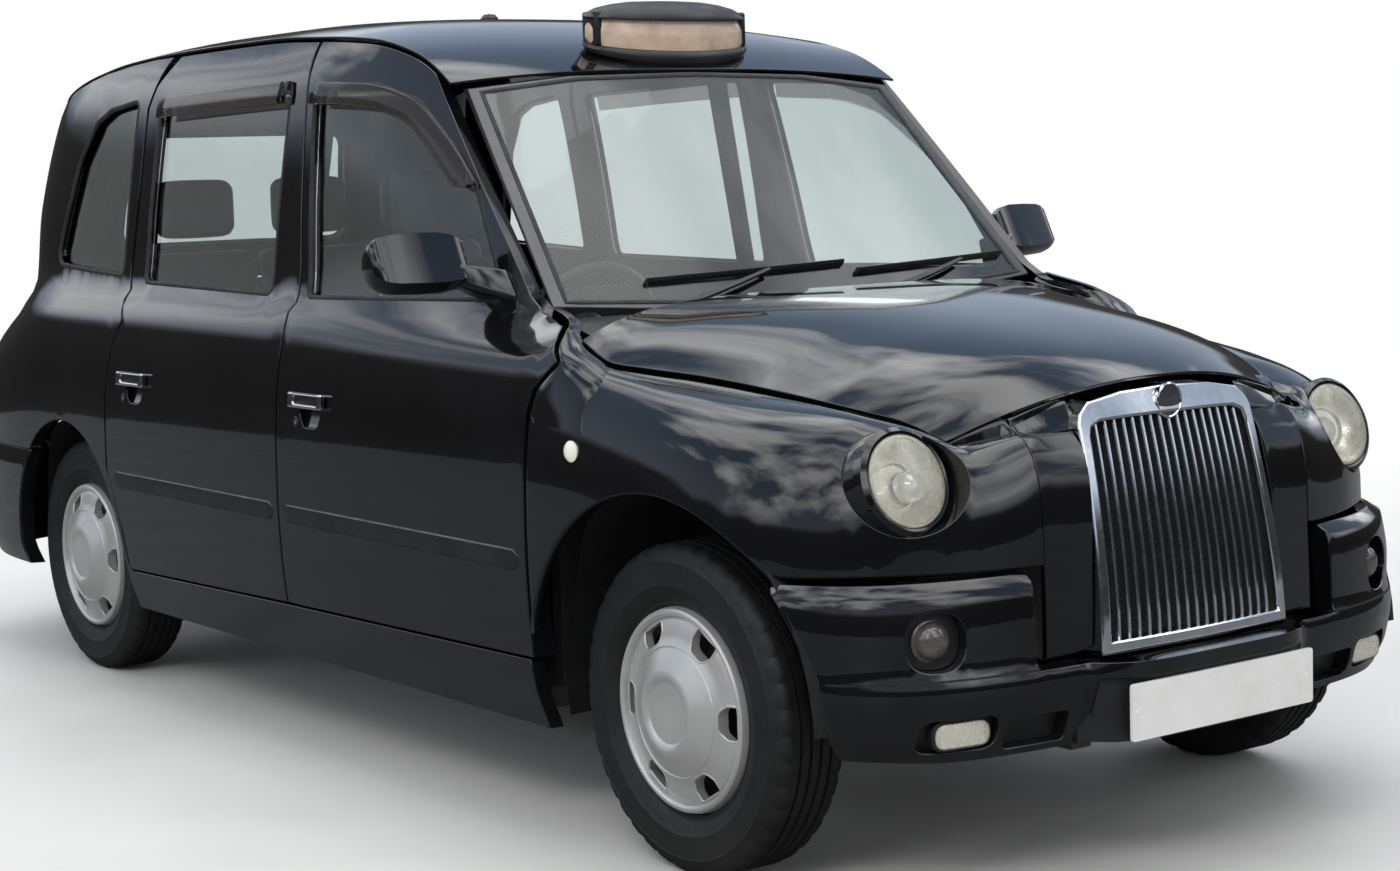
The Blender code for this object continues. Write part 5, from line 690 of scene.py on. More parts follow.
# Nose: the painted strips beside the grille, joined under it.
NOSE_BULGE = 0.020
SEAM_TURN = 0.060
MESH_SETBACK = 0.003
SEAM_SPAN_SHARE = 0.86
GRILLE_LOW_X = 0.2658
GRILLE_HIGH_X = 0.2467
GRILLE_LOW_Z = 0.454
GRILLE_SHOULDER_Z = 0.920
GRILLE_TOP_Z = 0.955
GRILLE_LOW_Y = 0.6278
GRILLE_HIGH_Y = 0.5441
GRILLE_BULGE = 0.012
GRILLE_SIDE = 0.026
GRILLE_TOP_BAND = 0.056
GRILLE_FOOT_BAND = 0.026
GRILLE_DEPTH = 0.050
BAR_FRONT = 0.008
BAR_BACK = 0.024
GRILLE_BARS = 17
GRILLE_BAR_WIDTH = 0.0075
NOSE_FOOT_Z = 0.425


def grille_y(z, x=0.0):
    """The grille's front face: it leans back towards the top and bulges a little."""
    share = (z - GRILLE_LOW_Z) / (GRILLE_SHOULDER_Z - GRILLE_LOW_Z)
    lean = GRILLE_LOW_Y + (GRILLE_HIGH_Y - GRILLE_LOW_Y) * share ** 1.6 if share > 0 else GRILLE_LOW_Y
    bow = GRILLE_BULGE * (1 - (x / GRILLE_LOW_X) ** 2)
    return FRONT_AXLE_Y - lean - bow


def grille_outline(inset, gap=0.0, foot=None):
    """The grille frame's front-view outline, moved in by an inset and out by a gap."""
    shift = inset - gap
    low_z = GRILLE_LOW_Z + (inset if foot is None else foot) - gap
    low_x = GRILLE_LOW_X - shift
    high_x = GRILLE_HIGH_X - shift
    shoulder_z = GRILLE_SHOULDER_Z - shift
    top_z = GRILLE_TOP_Z - (GRILLE_TOP_BAND if inset > 0 else -gap)
    right = [(low_x, low_z), (high_x, shoulder_z - GRILLE_SIDE),
             (high_x * 0.97, shoulder_z - GRILLE_SIDE * 0.3),
             (high_x * 0.86, shoulder_z + (top_z - shoulder_z) * 0.45),
             (high_x * 0.5, shoulder_z + (top_z - shoulder_z) * 0.86), (0.0, top_z)]
    return right + [(-x, z) for x, z in reversed(right[:-1])]


@functools.lru_cache(maxsize=None)
def seam_point(z):
    """The wing's front edge at a height, on the left side."""
    if z <= WING_BASE_Z:
        return wing_point(0.0, z - WING_BASE_Z)
    low_z, high_z = wing_point(0.0, 0.0).z, wing_upper(0.0).z
    rise = min((z - low_z) / (high_z - low_z), 1.0)
    angle = asin(rise ** (WING_SQUARENESS_SHARE / 2))
    return wing_point(0.0, WING_HEIGHT * angle / (pi / 2))


def nose_skin(x, z):
    """The nose meets the wings flush. Its foot passes behind the bumper."""
    seam = seam_point(z)
    y = seam.y - NOSE_BULGE * (1 - (x / seam.x) ** 2)
    if z < BUMPER_STEP_Z + LIP:
        y += BUMPER_WALL
    return Vector((x, y, z)), Vector((x, y + SKIN, z))

# Front bumper. Columns: height as a share of HEIGHT, half width as a share of HALF_WIDTH, reach as
# a share of FRONT_OVERHANG, squareness.
BUMPER_SHARES = (
    (0.155, 0.950, 0.870, 3.6),
    (0.190, 0.980, 0.895, 3.6),
    (0.236, 0.986, 0.915, 3.6),
    (0.246, 0.986, 0.905, 3.6),
    (0.252, 0.986, 0.895, 3.6),
    (0.290, 0.989, 0.892, 3.6),
    (0.335, 0.985, 0.880, 3.5),
    (0.3446, 0.975, 0.862, 3.5),
)
BUMPER_FOOT_Z = 0.290
BUMPER_STEP_Z = 0.450
BUMPER_WALL = 0.045
CHIN_HALF = 0.300
POD_X = 0.424
PLATE_WIDTH = 0.520
PLATE_HEIGHT = 0.111
PLATE_Z = 0.3534
INDICATOR_X = 0.632
INDICATOR_Z = 0.522
FOG_X = 0.591
FOG_Z = 0.344
FOG_HALF_WIDTH = 0.078
FOG_HALF_HEIGHT = 0.032
PATH_REACH_SHARE = 1.4


@functools.lru_cache(maxsize=None)
def bumper_point(path, z):
    key = z / HEIGHT
    width = curve_value(BUMPER_SHARES, 1, key) * HALF_WIDTH
    reach = curve_value(BUMPER_SHARES, 2, key) * FRONT_OVERHANG
    power = curve_value(BUMPER_SHARES, 3, key)
    point, normal = round_end(path, z, width, reach, power, FRONT_AXLE_Y, -1.0, FRONT_OVERHANG)
    chin = max(0.0, 1 - (abs(point.x) / CHIN_HALF) ** 6) if abs(point.x) < CHIN_HALF else 0.0
    low = min(max((BUMPER_STEP_Z + SKIN - z) / SKIN, 0.0), 1.0)
    point.y -= (FRONT_OVERHANG - reach) * chin * low
    return point, normal


def bumper_path(y, z):
    return bisected(HALF_WIDTH, HALF_WIDTH + FRONT_OVERHANG,
                    lambda path: bumper_point(path, z)[0].y < y)


@functools.lru_cache(maxsize=None)
def path_of_x(x, z):
    """The bumper's path that reaches a given x at a height."""
    return bisected(0.0, HALF_WIDTH * PATH_REACH_SHARE, lambda path: bumper_point(path, z)[0].x < x)

# Tail: rear window panel, boot lid, rear bumper and lamps. Shares of HALF_WIDTH and of HEIGHT.
TAIL_WINDOW_SHARES = ((0.520, 0.655), (0.500, 0.845), (-0.500, 0.845), (-0.520, 0.655))
TAIL_WINDOW_RADIUS = 0.060
TAIL_SPLIT_SHARE = 0.592
BOOT_LOW_SHARE = 0.352
BOOT_SKIN = 0.030
REAR_BUMPER_SHARES = (
    (0.130, 0.950, 0.960, 5.0),
    (0.190, 0.985, 0.995, 5.0),
    (0.290, 0.992, 1.000, 5.0),
    (0.335, 0.990, 0.996, 5.0),
    (0.3446, 0.982, 0.985, 5.0),
)
REAR_BUMPER_FOOT_Z = 0.270


def tail_sheet_skin(thickness):
    def skin(path, z):
        point, normal = tail_point(path, z)
        return point, point - normal * thickness
    return skin


@functools.lru_cache(maxsize=None)
def rear_bumper_point(path, z):
    key = z / HEIGHT
    width = curve_value(REAR_BUMPER_SHARES, 1, key) * HALF_WIDTH
    reach = curve_value(REAR_BUMPER_SHARES, 2, key) * REAR_OVERHANG
    power = curve_value(REAR_BUMPER_SHARES, 3, key)
    return round_end(path, z, width, reach, power, REAR_AXLE_Y, 1.0, REAR_OVERHANG)


def rear_bumper_path(y, z):
    return bisected(HALF_WIDTH, HALF_WIDTH + REAR_OVERHANG, lambda path: rear_bumper_point(path, z)[0].y > y)


# Rear lamps and hubs
REAR_LAMP_START_PATH = 0.640
REAR_LAMP_END_PATH = 0.760
REAR_LAMP_PROUD = 0.016
LAMP_SEAT = 0.0028
HUB_FACE = 0.010


def wheel_places():
    return (("front", "right", -1, FRONT_AXLE_Y), ("front", "left", 1, FRONT_AXLE_Y),
            ("rear", "right", -1, REAR_AXLE_Y), ("rear", "left", 1, REAR_AXLE_Y))


def side_matrix(side, y):
    """Local X points out of the car, at the wheel's middle plane."""
    turn = Matrix.Rotation(0 if side > 0 else pi, 4, "Z")
    turn.translation = Vector((side * TRACK / 2, y, AXLE_Z))
    return turn

REAR_FLOOR_Z = 0.640
HEEL_THICKNESS = 0.040
SEAT_X = 0.370
SEAT_WIDTH = 0.500
SEAT_FRONT = 0.920
SEAT_LENGTH = 0.500
SEAT_BASE_Z = 0.560
CUSHION_HEIGHT = 0.130
BACK_THICKNESS = 0.120
BACK_TOP_Z = 1.210
BACK_LEAN = 0.120
HEADREST_HALF = 0.130
HEADREST_LOW_Z = 1.235
HEADREST_HIGH_Z = 1.430
REAR_SEAT_FRONT = 2.330
REAR_SEAT_LENGTH = 0.480
REAR_SEAT_HALF = 0.600
REAR_SEAT_BASE_Z = 0.700
DASH_FRONT = 0.640
DASH_REAR = 0.880
DASH_HALF = 0.680
DASH_TOP_Z = 1.040
DASH_LOW_Z = 0.700
WHEEL_X = 0.370
WHEEL_RIM_RADIUS = 0.190
WHEEL_TUBE = 0.014
WHEEL_TILT = radians(28)
WHEEL_PLACE = 0.960
WHEEL_Z = 1.010
# Roof sign, mirrors and exhaust
SIGN_HALF = 0.246
SIGN_DEPTH = 0.085
SIGN_TOP_Z = 1.812
SIGN_PLACE = 1.090
MIRROR_PLACE = 0.640
MIRROR_Z = 1.215
MIRROR_OUT_X = 1.018
MIRROR_IN_X = 0.800
MIRROR_HEIGHT = 0.135
MIRROR_DEPTH = 0.130


def roof_height(x, y):
    def spot(share):
        return roof_point(x / side_x(*roof_edge(share)), share)
    return spot(bisected(0.0, 1.0, lambda share: spot(share).y < y)).z


# Materials. Each takes its detail from noise in the object's own coordinates.
RECORD_SLOTS = {row["slot"] for row in frame["record"]["materials"]}


def look(colour, second, scale, low, high, bump_scale, bump, share=0.5, metallic=0.0, coat=0.0, dust=0.0):
    """Two colours and the noise scale and share that mix them, roughness low and high, the scale and
    strength of the bumps, metal, clear coat, and how high dust reaches in metres."""
    return colour, second, scale, share, low, high, metallic, coat, bump_scale, bump, dust


LOOKS = {
    "paint_black": look((0.0030, 0.0032, 0.0040), (0.0050, 0.0053, 0.0064), 3.0, 0.08, 0.13, 900.0, 0.003,
                        coat=1.0, dust=0.45),
    "plastic_black": look((0.008, 0.008, 0.009), (0.014, 0.014, 0.015), 9.0, 0.30, 0.48, 700.0, 0.05,
                          dust=0.40),
    "rubber": look((0.010, 0.010, 0.011), (0.022, 0.022, 0.023), 12.0, 0.55, 0.75, 500.0, 0.04, dust=0.40),
    "tyre": look((0.0055, 0.0055, 0.0058), (0.0085, 0.0082, 0.0080), 16.0, 0.55, 0.72, 260.0, 0.10,
                 dust=0.30),
    "tyre_black": look((0.010, 0.010, 0.011), (0.022, 0.022, 0.022), 20.0, 0.70, 0.90, 300.0, 0.12),
    "chrome": look((0.74, 0.75, 0.77), (0.62, 0.63, 0.66), 30.0, 0.05, 0.14, 400.0, 0.003,
                   share=0.4, metallic=1.0),
    "trim_silver": look((0.58, 0.58, 0.57), (0.48, 0.478, 0.47), 7.0, 0.34, 0.46, 1200.0, 0.015,
                        metallic=0.60, coat=0.15, dust=0.34),
    "steel": look((0.10, 0.10, 0.10), (0.17, 0.12, 0.09), 9.0, 0.50, 0.75, 160.0, 0.12,
                  metallic=0.6, dust=0.5),
    "underbody": look((0.016, 0.016, 0.017), (0.040, 0.036, 0.032), 6.0, 0.70, 0.92, 180.0, 0.15, dust=0.6),
    "cabin_grey": look((0.022, 0.023, 0.026), (0.034, 0.035, 0.039), 14.0, 0.55, 0.72, 420.0, 0.12),
    "cabin_light": look((0.20, 0.20, 0.20), (0.26, 0.26, 0.26), 14.0, 0.60, 0.80, 420.0, 0.08),
    "seat_dark": look((0.009, 0.0095, 0.012), (0.016, 0.017, 0.021), 22.0, 0.50, 0.68, 320.0, 0.20),
    "piping": look((0.22, 0.22, 0.23), (0.30, 0.30, 0.31), 30.0, 0.50, 0.70, 600.0, 0.05),
    "pillar_grey": look((0.024, 0.025, 0.027), (0.036, 0.037, 0.040), 10.0, 0.26, 0.40, 500.0, 0.02,
                        coat=0.3),
    "plate_white": look((0.80, 0.80, 0.79), (0.70, 0.70, 0.68), 12.0, 0.22, 0.40, 600.0, 0.02,
                        share=0.4, coat=0.3),
    "plate_yellow": look((0.80, 0.58, 0.06), (0.72, 0.52, 0.05), 12.0, 0.22, 0.40, 600.0, 0.02,
                         share=0.4, coat=0.3),
    "reflector": look((0.86, 0.86, 0.80), (0.76, 0.76, 0.70), 60.0, 0.22, 0.40, 120.0, 0.05,
                      share=0.4, metallic=0.8),
    "lens_cream": look((0.72, 0.71, 0.60), (0.80, 0.79, 0.70), 26.0, 0.16, 0.30, 90.0, 0.03, coat=0.4),
    "lamp_red": look((0.36, 0.006, 0.008), (0.50, 0.014, 0.012), 40.0, 0.08, 0.18, 60.0, 0.12, coat=0.6),
    "lamp_amber": look((0.62, 0.20, 0.02), (0.74, 0.27, 0.03), 40.0, 0.08, 0.18, 60.0, 0.12, coat=0.6),
    "lamp_clear": look((0.60, 0.61, 0.62), (0.74, 0.75, 0.76), 50.0, 0.08, 0.20, 60.0, 0.15,
                       metallic=0.3, coat=0.6),
    "lamp_smoke": look((0.060, 0.055, 0.050), (0.100, 0.092, 0.084), 50.0, 0.08, 0.20, 70.0, 0.12, coat=0.6),
    "sign": look((0.46, 0.34, 0.25), (0.60, 0.47, 0.36), 20.0, 0.18, 0.30, 40.0, 0.03, share=0.6, coat=0.5),
    "dark": look((0.004, 0.004, 0.004), (0.008, 0.008, 0.008), 30.0, 0.70, 0.90, 200.0, 0.05),
    "mirror": look((0.80, 0.81, 0.82), (0.74, 0.75, 0.76), 20.0, 0.02, 0.06, 300.0, 0.002,
                   share=0.4, metallic=1.0),
    "floor": look((0.78, 0.78, 0.77), (0.72, 0.72, 0.71), 0.9, 0.45, 0.65, 90.0, 0.03),
    "badge": look((0.045, 0.048, 0.056), (0.070, 0.074, 0.084), 40.0, 0.14, 0.26, 500.0, 0.01,
                  metallic=0.4, coat=0.7),
}
DUST_COLOUR = (0.060, 0.055, 0.047)
# Clear materials. Columns: colour, roughness, share of light that passes, index.
CLEAR = {
    "glass": ((0.72, 0.78, 0.77), 0.0, 1.0, 1.45),
    "glass_dark": ((0.34, 0.37, 0.38), 0.0, 1.0, 1.45),
    "smoke": ((0.36, 0.33, 0.32), 0.03, 1.0, 1.40),
    "lens": ((0.93, 0.92, 0.84), 0.05, 0.80, 1.40),
    "lamp": ((0.90, 0.91, 0.87), 0.03, 1.0, 1.40),
    "lens_smoke": ((0.40, 0.37, 0.34), 0.04, 1.0, 1.40),
}


def noise(tree, coordinates, scale, detail=3.0):
    node = tree.nodes.new("ShaderNodeTexNoise")
    node.inputs["Scale"].default_value = scale
    node.inputs["Detail"].default_value = detail
    tree.links.new(coordinates, node.inputs["Vector"])
    return node.outputs["Fac"]


def ranged(tree, value, low, high, start=0.0, end=1.0):
    node = tree.nodes.new("ShaderNodeMapRange")
    node.inputs["From Min"].default_value = start
    node.inputs["From Max"].default_value = end
    node.inputs["To Min"].default_value = low
    node.inputs["To Max"].default_value = high
    tree.links.new(value, node.inputs["Value"])
    return node.outputs["Result"]


def blended(tree, share, first, second):
    """Mixes two colours, each a tuple or a socket."""
    node = tree.nodes.new("ShaderNodeMix")
    node.data_type = "RGBA"
    tree.links.new(share, node.inputs["Factor"])
    for socket, value in ((node.inputs[6], first), (node.inputs[7], second)):
        if isinstance(value, tuple):
            socket.default_value = (*value, 1.0)
        else:
            tree.links.new(value, socket)
    return node.outputs[2]


def worked(tree, operation, *values):
    """A math node on sockets and numbers."""
    node = tree.nodes.new("ShaderNodeMath")
    node.operation = operation
    for socket, value in zip(node.inputs, values):
        if isinstance(value, float):
            socket.default_value = value
        else:
            tree.links.new(value, socket)
    return node.outputs[0]


def height_in(tree, spot):
    """The Z of a vector socket."""
    parts = tree.nodes.new("ShaderNodeSeparateXYZ")
    tree.links.new(spot, parts.inputs[0])
    return parts.outputs["Z"]


def mixed(tree, share, first, second):
    """Mixes two shaders."""
    node = tree.nodes.new("ShaderNodeMixShader")
    for socket, value in zip(node.inputs, (share, first, second)):
        tree.links.new(value, socket)
    return node.outputs[0]


def finish(slot):
    """The material of a slot, made on its first use."""
    if slot in MADE:
        return MADE[slot]
    made = bpy.data.materials.new("look_" + slot)
    made.use_nodes = True
    MADE[slot] = made
    tree = made.node_tree
    shader = tree.nodes["Principled BSDF"]
    spot = tree.nodes.new("ShaderNodeTexCoord").outputs["Object"]
    if slot in CLEAR:
        colour, roughness, passing, index = CLEAR[slot]
        speck = ranged(tree, noise(tree, spot, 9.0, 5.0), roughness, roughness + 0.03, 0.45, 0.75)
        tree.links.new(speck, shader.inputs["Roughness"])
        faint = tuple(c * 0.94 for c in colour)
        tree.links.new(blended(tree, noise(tree, spot, 4.0), colour, faint), shader.inputs["Base Color"])
        shader.inputs["Transmission Weight"].default_value = passing
        shader.inputs["IOR"].default_value = index
        return made
    (colour, second, scale, share, low, high, metallic, coat, bump_scale, bump_strength, dust) = LOOKS[slot]
    grain = noise(tree, spot, scale, 4.0)
    base = blended(tree, ranged(tree, grain, 0.0, share * 2, 0.35, 0.70), colour, second)
    rough = ranged(tree, noise(tree, spot, scale * 2.3, 3.0), low, high, 0.3, 0.7)
    if dust > 0:
        low_down = ranged(tree, height_in(tree, spot), 1.0, 0.0, 0.0, dust)
        patch = ranged(tree, noise(tree, spot, 5.0, 6.0), 0.01, 0.20, 0.35, 0.75)
        weight = worked(tree, "MULTIPLY", low_down, patch)
        base = blended(tree, weight, base, DUST_COLOUR)
        rough = worked(tree, "MULTIPLY_ADD", weight, 0.5, rough)
    tree.links.new(base, shader.inputs["Base Color"])
    tree.links.new(rough, shader.inputs["Roughness"])
    shader.inputs["Metallic"].default_value = metallic
    shader.inputs["Coat Weight"].default_value = coat
    shader.inputs["Coat Roughness"].default_value = 0.02
    if slot == "paint_black":
        shader.inputs["Specular IOR Level"].default_value = 0.12
    bump = tree.nodes.new("ShaderNodeBump")
    bump.inputs["Strength"].default_value = bump_strength
    bump.inputs["Distance"].default_value = 0.002
    tree.links.new(noise(tree, spot, bump_scale, 2.0), bump.inputs["Height"])
    tree.links.new(bump.outputs["Normal"], shader.inputs["Normal"])
    return made


def meshwork():
    """A black net of small diamond holes."""
    made = finish("dark").copy()
    made.name = "look_net"
    tree = made.node_tree
    shader = tree.nodes["Principled BSDF"]
    spot = next(n for n in tree.nodes if n.type == "TEX_COORD").outputs["Object"]
    turn = tree.nodes.new("ShaderNodeMapping")
    turn.inputs["Rotation"].default_value = (0, radians(45), 0)
    turn.inputs["Scale"].default_value = (1, 0, 1)
    tree.links.new(spot, turn.inputs["Vector"])
    cells = tree.nodes.new("ShaderNodeTexVoronoi")
    cells.feature = "DISTANCE_TO_EDGE"
    cells.inputs["Scale"].default_value = 110.0
    cells.inputs["Randomness"].default_value = 0.0
    tree.links.new(turn.outputs["Vector"], cells.inputs["Vector"])
    wire = ranged(tree, cells.outputs["Distance"], 1.0, 0.0, 0.06, 0.14)
    # The wires are dark grey and the hole centres near-black: painted shade in place of real openings.
    tree.links.new(blended(tree, wire, (0.0015, 0.0015, 0.0015), (0.030, 0.030, 0.032)),
                   shader.inputs["Base Color"])
    bump = next(n for n in tree.nodes if n.type == "BUMP")
    tree.links.new(wire, bump.inputs["Height"])
    bump.inputs["Strength"].default_value = 0.8
    return made


# Drawing: the same surfaces as the solids, on finer meshes with their true normals.
FINE = 0.030
EDGE = 0.0028
EPSILON = 0.0006
BODIES = frame["record"]["behaviour"]["bodies"]
BODY_OF = {node: body for body, members in BODIES.items() for node in members}
MADE = {}


def link_mesh(name, verts, faces, slot, normals=None, angle=None):
    mesh = bpy.data.meshes.new(name)
    mesh.from_pydata([tuple(v) for v in verts], [], faces)
    mesh.update()
    mesh.materials.append(finish(slot))
    mesh.shade_smooth()
    if normals:
        mesh.normals_split_custom_set_from_vertices([tuple(n) for n in normals])
    elif angle:
        mesh.set_sharp_from_angle(angle=angle)
    item = bpy.data.objects.new(name, mesh)
    bpy.context.scene.collection.objects.link(item)
    if slot in RECORD_SLOTS:
        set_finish(item, slot)
    return item


def finish_bmesh(name, bm, slot, smooth_angle=radians(35)):
    bmesh.ops.recalc_face_normals(bm, faces=bm.faces[:])
    if bm.calc_volume(signed=True) < 0:
        bmesh.ops.reverse_faces(bm, faces=bm.faces[:])
    mesh = bpy.data.meshes.new(name)
    bm.to_mesh(mesh)
    bm.free()
    mesh.materials.append(finish(slot))
    mesh.shade_smooth()
    mesh.set_sharp_from_angle(angle=smooth_angle)
    item = bpy.data.objects.new(name, mesh)
    bpy.context.scene.collection.objects.link(item)
    if slot in RECORD_SLOTS:
        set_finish(item, slot)
    return item


def put(item, body, *nodes):
    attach(item, body)
    if nodes:
        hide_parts(*nodes)
    return item


def stand_for(item, node):
    return put(item, BODY_OF[node], node)


def mask(points, polygon):
    """Which of an array of points lie inside a polygon."""
    shape = np.asarray(polygon, float)
    ahead = np.roll(shape, -1, axis=0)
    hit = np.zeros(len(points), bool)
    for (x1, y1), (x2, y2) in zip(shape, ahead):
        if y1 == y2:
            continue
        spans = (y1 > points[:, 1]) != (y2 > points[:, 1])
        cross = (x2 - x1) * (points[:, 1] - y1) / (y2 - y1) + x1
        hit ^= spans & (points[:, 0] < cross)
    return hit


def clearances(points, polygon):
    shape = np.asarray(polygon, float)
    runs = np.roll(shape, -1, axis=0) - shape
    best = np.full(len(points), 1e9)
    for start, run in zip(shape, runs):
        length = float(run @ run)
        if length == 0:
            continue
        share = np.clip(((points - start) @ run) / length, 0, 1)
        best = np.minimum(best, np.linalg.norm(points - start - share[:, None] * run, axis=1))
    return best


def fill(outline, holes, step):
    """Triangles that fill an outline less its holes."""
    loops = [outline] + holes
    points, edges = [], []
    for loop in loops:
        first = len(points)
        points += [Vector(point) for point in loop]
        edges += [(first + i, first + (i + 1) % len(loop)) for i in range(len(loop))]
    shape = np.asarray(outline, float)
    low, high = shape.min(0), shape.max(0)
    counts = [max(2, int(ceil((high[i] - low[i]) / step))) for i in (0, 1)]
    xs, ys = (np.linspace(low[i], high[i], counts[i] + 1)[1:-1] for i in (0, 1))
    grid = np.array([(x, y) for y in ys for x in xs])
    if len(grid):
        keep = mask(grid, outline)
        for hole in holes:
            keep &= ~mask(grid, hole)
        grid = grid[keep]
        for loop in loops:
            if len(grid):
                grid = grid[clearances(grid, loop) > step * 0.4]
        points += [Vector((float(x), float(y))) for x, y in grid]
    verts, _, faces, _, _, _ = delaunay_2d_cdt(points, edges, [], 0, 1e-7)
    spots = np.array([(v.x, v.y) for v in verts])
    centres = np.array([spots[list(face)].mean(0) for face in faces])
    keep = mask(centres, outline)
    for hole in holes:
        keep &= ~mask(centres, hole)
    return verts, [tuple(face) for face, held in zip(faces, keep) if held]


def on_surface(skin, a, b):
    """Outer point, inner point and outward normal."""
    outer, inner = skin(a, b)
    by_a = skin(a + EPSILON, b)[0] - skin(a - EPSILON, b)[0]
    by_b = skin(a, b + EPSILON)[0] - skin(a, b - EPSILON)[0]
    normal = by_a.cross(by_b)
    if normal.length < 1e-12:
        normal = outer - inner
    normal.normalize()
    if normal.dot(outer - inner) < 0:
        normal = -normal
    return outer, inner, normal


def smooth_normals(faces, outer, inner, normals, rounds=2):
    """Evens out the normals of a panel's face, so that its reflections run smoothly."""
    near = {}
    for face in faces:
        for i in face:
            near.setdefault(i, set()).update(face)
    for _ in range(rounds):
        fresh = {i: sum((normals[outer[j]] for j in ring), Vector()) for i, ring in near.items()}
        for i, total in fresh.items():
            if total.length > 1e-6:
                normals[outer[i]] = total.normalized()
                normals[inner[i]] = -normals[outer[i]]


def fine_panel(name, slot, outline, skin, holes=(), step=FINE, edge=EDGE, edge_step=None):
    """A panel with rounded edges. skin(a, b) gives the outer and inner point."""
    edge_step = edge_step or step
    loops = [refine(loop, edge_step) for loop in [outline] + list(holes)]
    insets = [shrunk(loops[0], edge)] + [shrunk(loop, -edge) for loop in loops[1:]]
    flat, faces = fill(insets[0], insets[1:], step)
    verts, normals, made = [], [], []
    outer, inner = {}, {}
    used = sorted({i for face in faces for i in face})
    for i in used:
        point, back, normal = on_surface(skin, flat[i][0], flat[i][1])
        outer[i] = len(verts)
        verts.append(point)
        normals.append(normal)
        inner[i] = len(verts)
        verts.append(back)
        normals.append(-normal)
    smooth_normals(faces, outer, inner, normals)
    for face in faces:
        a, b, c = (verts[outer[i]] for i in face[:3])
        flip = (b - a).cross(c - a).dot(normals[outer[face[0]]]) < 0
        ring = [outer[i] for i in face]
        back = [inner[i] for i in face]
        made.append(ring[::-1] if flip else ring)
        made.append(back if flip else back[::-1])
    evened = {(round(flat[i][0], 5), round(flat[i][1], 5)): normals[outer[i]] for i in used}
    for loop, inset in zip(loops, insets):
        rows = []
        for (a0, b0), (a1, b1) in zip(loop, inset):
            rim, rim_back, rim_normal = on_surface(skin, a0, b0)
            top, _, normal = on_surface(skin, a1, b1)
            normal = evened.get((round(a1, 5), round(b1, 5)), normal)
            away = (rim - top).normalized() if (rim - top).length > 1e-7 else rim_normal
            depth = min(edge, (rim - rim_back).length * 0.5)
            corner = rim - rim_normal * depth
            middle = top.lerp(rim, 0.7) - rim_normal * depth * 0.3
            half = (normal + away).normalized()
            first = len(verts)
            verts += [top, middle, corner, rim_back]
            normals += [normal, half, away, away]
            rows.append((first, first + 1, first + 2, first + 3, rim_back))
        count = len(rows)
        for i in range(count):
            here, ahead = rows[i], rows[(i + 1) % count]
            for k in range(3):
                quad = (here[k], ahead[k], ahead[k + 1], here[k + 1])
                a, b, c = (verts[quad[j]] for j in (0, 1, 2))
                facing = (b - a).cross(c - a)
                if facing.dot(normals[quad[3]] + normals[quad[0]]) < 0:
                    quad = quad[::-1]
                made.append(quad)
    return link_mesh(name, verts, made, slot, normals)


def fine_sheet(name, slot, width, length, skin, step=FINE, edge=EDGE):
    """A sheet whose skin takes shares from 0 to 1 across and along."""
    def scaled(a, b):
        return skin(min(max(a / width, 0.0), 1.0), min(max(b / length, 0.0), 1.0))
    outline = [(0.0, 0.0), (width, 0.0), (width, length), (0.0, length)]
    return fine_panel(name, slot, outline, scaled, (), step, edge)


def sweep(name, slot, route, ups, profile, closed=False, capped=True, angle=radians(40)):
    """Runs a profile of (across, up) points along a route. ups are the surface normals."""
    count = len(route)
    verts, faces = [], []
    width = len(profile)
    for i in range(count):
        if closed:
            run = route[(i + 1) % count] - route[i - 1]
        else:
            run = route[min(i + 1, count - 1)] - route[max(i - 1, 0)]
        run.normalize()
        up = (ups[i] - run * ups[i].dot(run)).normalized()
        across = run.cross(up)
        share = i / max(count - 1, 1)
        for item in profile:
            scale = item[2](share) if len(item) > 2 else 1.0
            verts.append(route[i] + across * item[0] * scale + up * item[1] * scale)
    spans = count if closed else count - 1
    for i in range(spans):
        low, high = i * width, ((i + 1) % count) * width
        for k in range(width):
            j = (k + 1) % width
            faces.append((low + k, low + j, high + j, high + k))
    if capped and not closed:
        faces.append(tuple(range(width))[::-1])
        faces.append(tuple(range((count - 1) * width, count * width)))
    bm = bmesh.new()
    made = [bm.verts.new(v) for v in verts]
    for face in faces:
        bm.faces.new([made[i] for i in face])
    return finish_bmesh(name, bm, slot, angle)


def round_profile(width, height, count=8, sunk=0.0):
    """A half-round moulding profile, standing on the surface."""
    points = [(width / 2 * cos(pi * i / count), height * sin(pi * i / count)) for i in range(count + 1)]
    return points + [(-width / 2, -sunk), (width / 2, -sunk)] if sunk else points


def follow(skin, path, lift=0.0):
    """Points and normals of a surface along a path of (a, b) places."""
    route, ups = [], []
    for a, b in path:
        point, _, normal = on_surface(skin, a, b)
        route.append(point + normal * lift)
        ups.append(normal)
    return route, ups


def spun(name, slot, profile, segments, matrix=Matrix(), angle=radians(30)):
    """Turns an open profile of (radius, along) points about local X. Points on the axis close it."""
    bm = bmesh.new()
    rings = []
    for radius, along in profile:
        if radius < 1e-6:
            rings.append([bm.verts.new(matrix @ Vector((along, 0, 0)))])
        else:
            rings.append([bm.verts.new(matrix @ Vector((along, radius * cos(2 * pi * i / segments),
                                                        radius * sin(2 * pi * i / segments))))
                          for i in range(segments)])
    for low, high in zip(rings, rings[1:]):
        for i in range(segments):
            j = (i + 1) % segments
            ring = [low[i % len(low)], low[j % len(low)], high[j % len(high)], high[i % len(high)]]
            ring = list(dict.fromkeys(ring))
            if len(ring) > 2:
                bm.faces.new(ring)
    return finish_bmesh(name, bm, slot, angle)


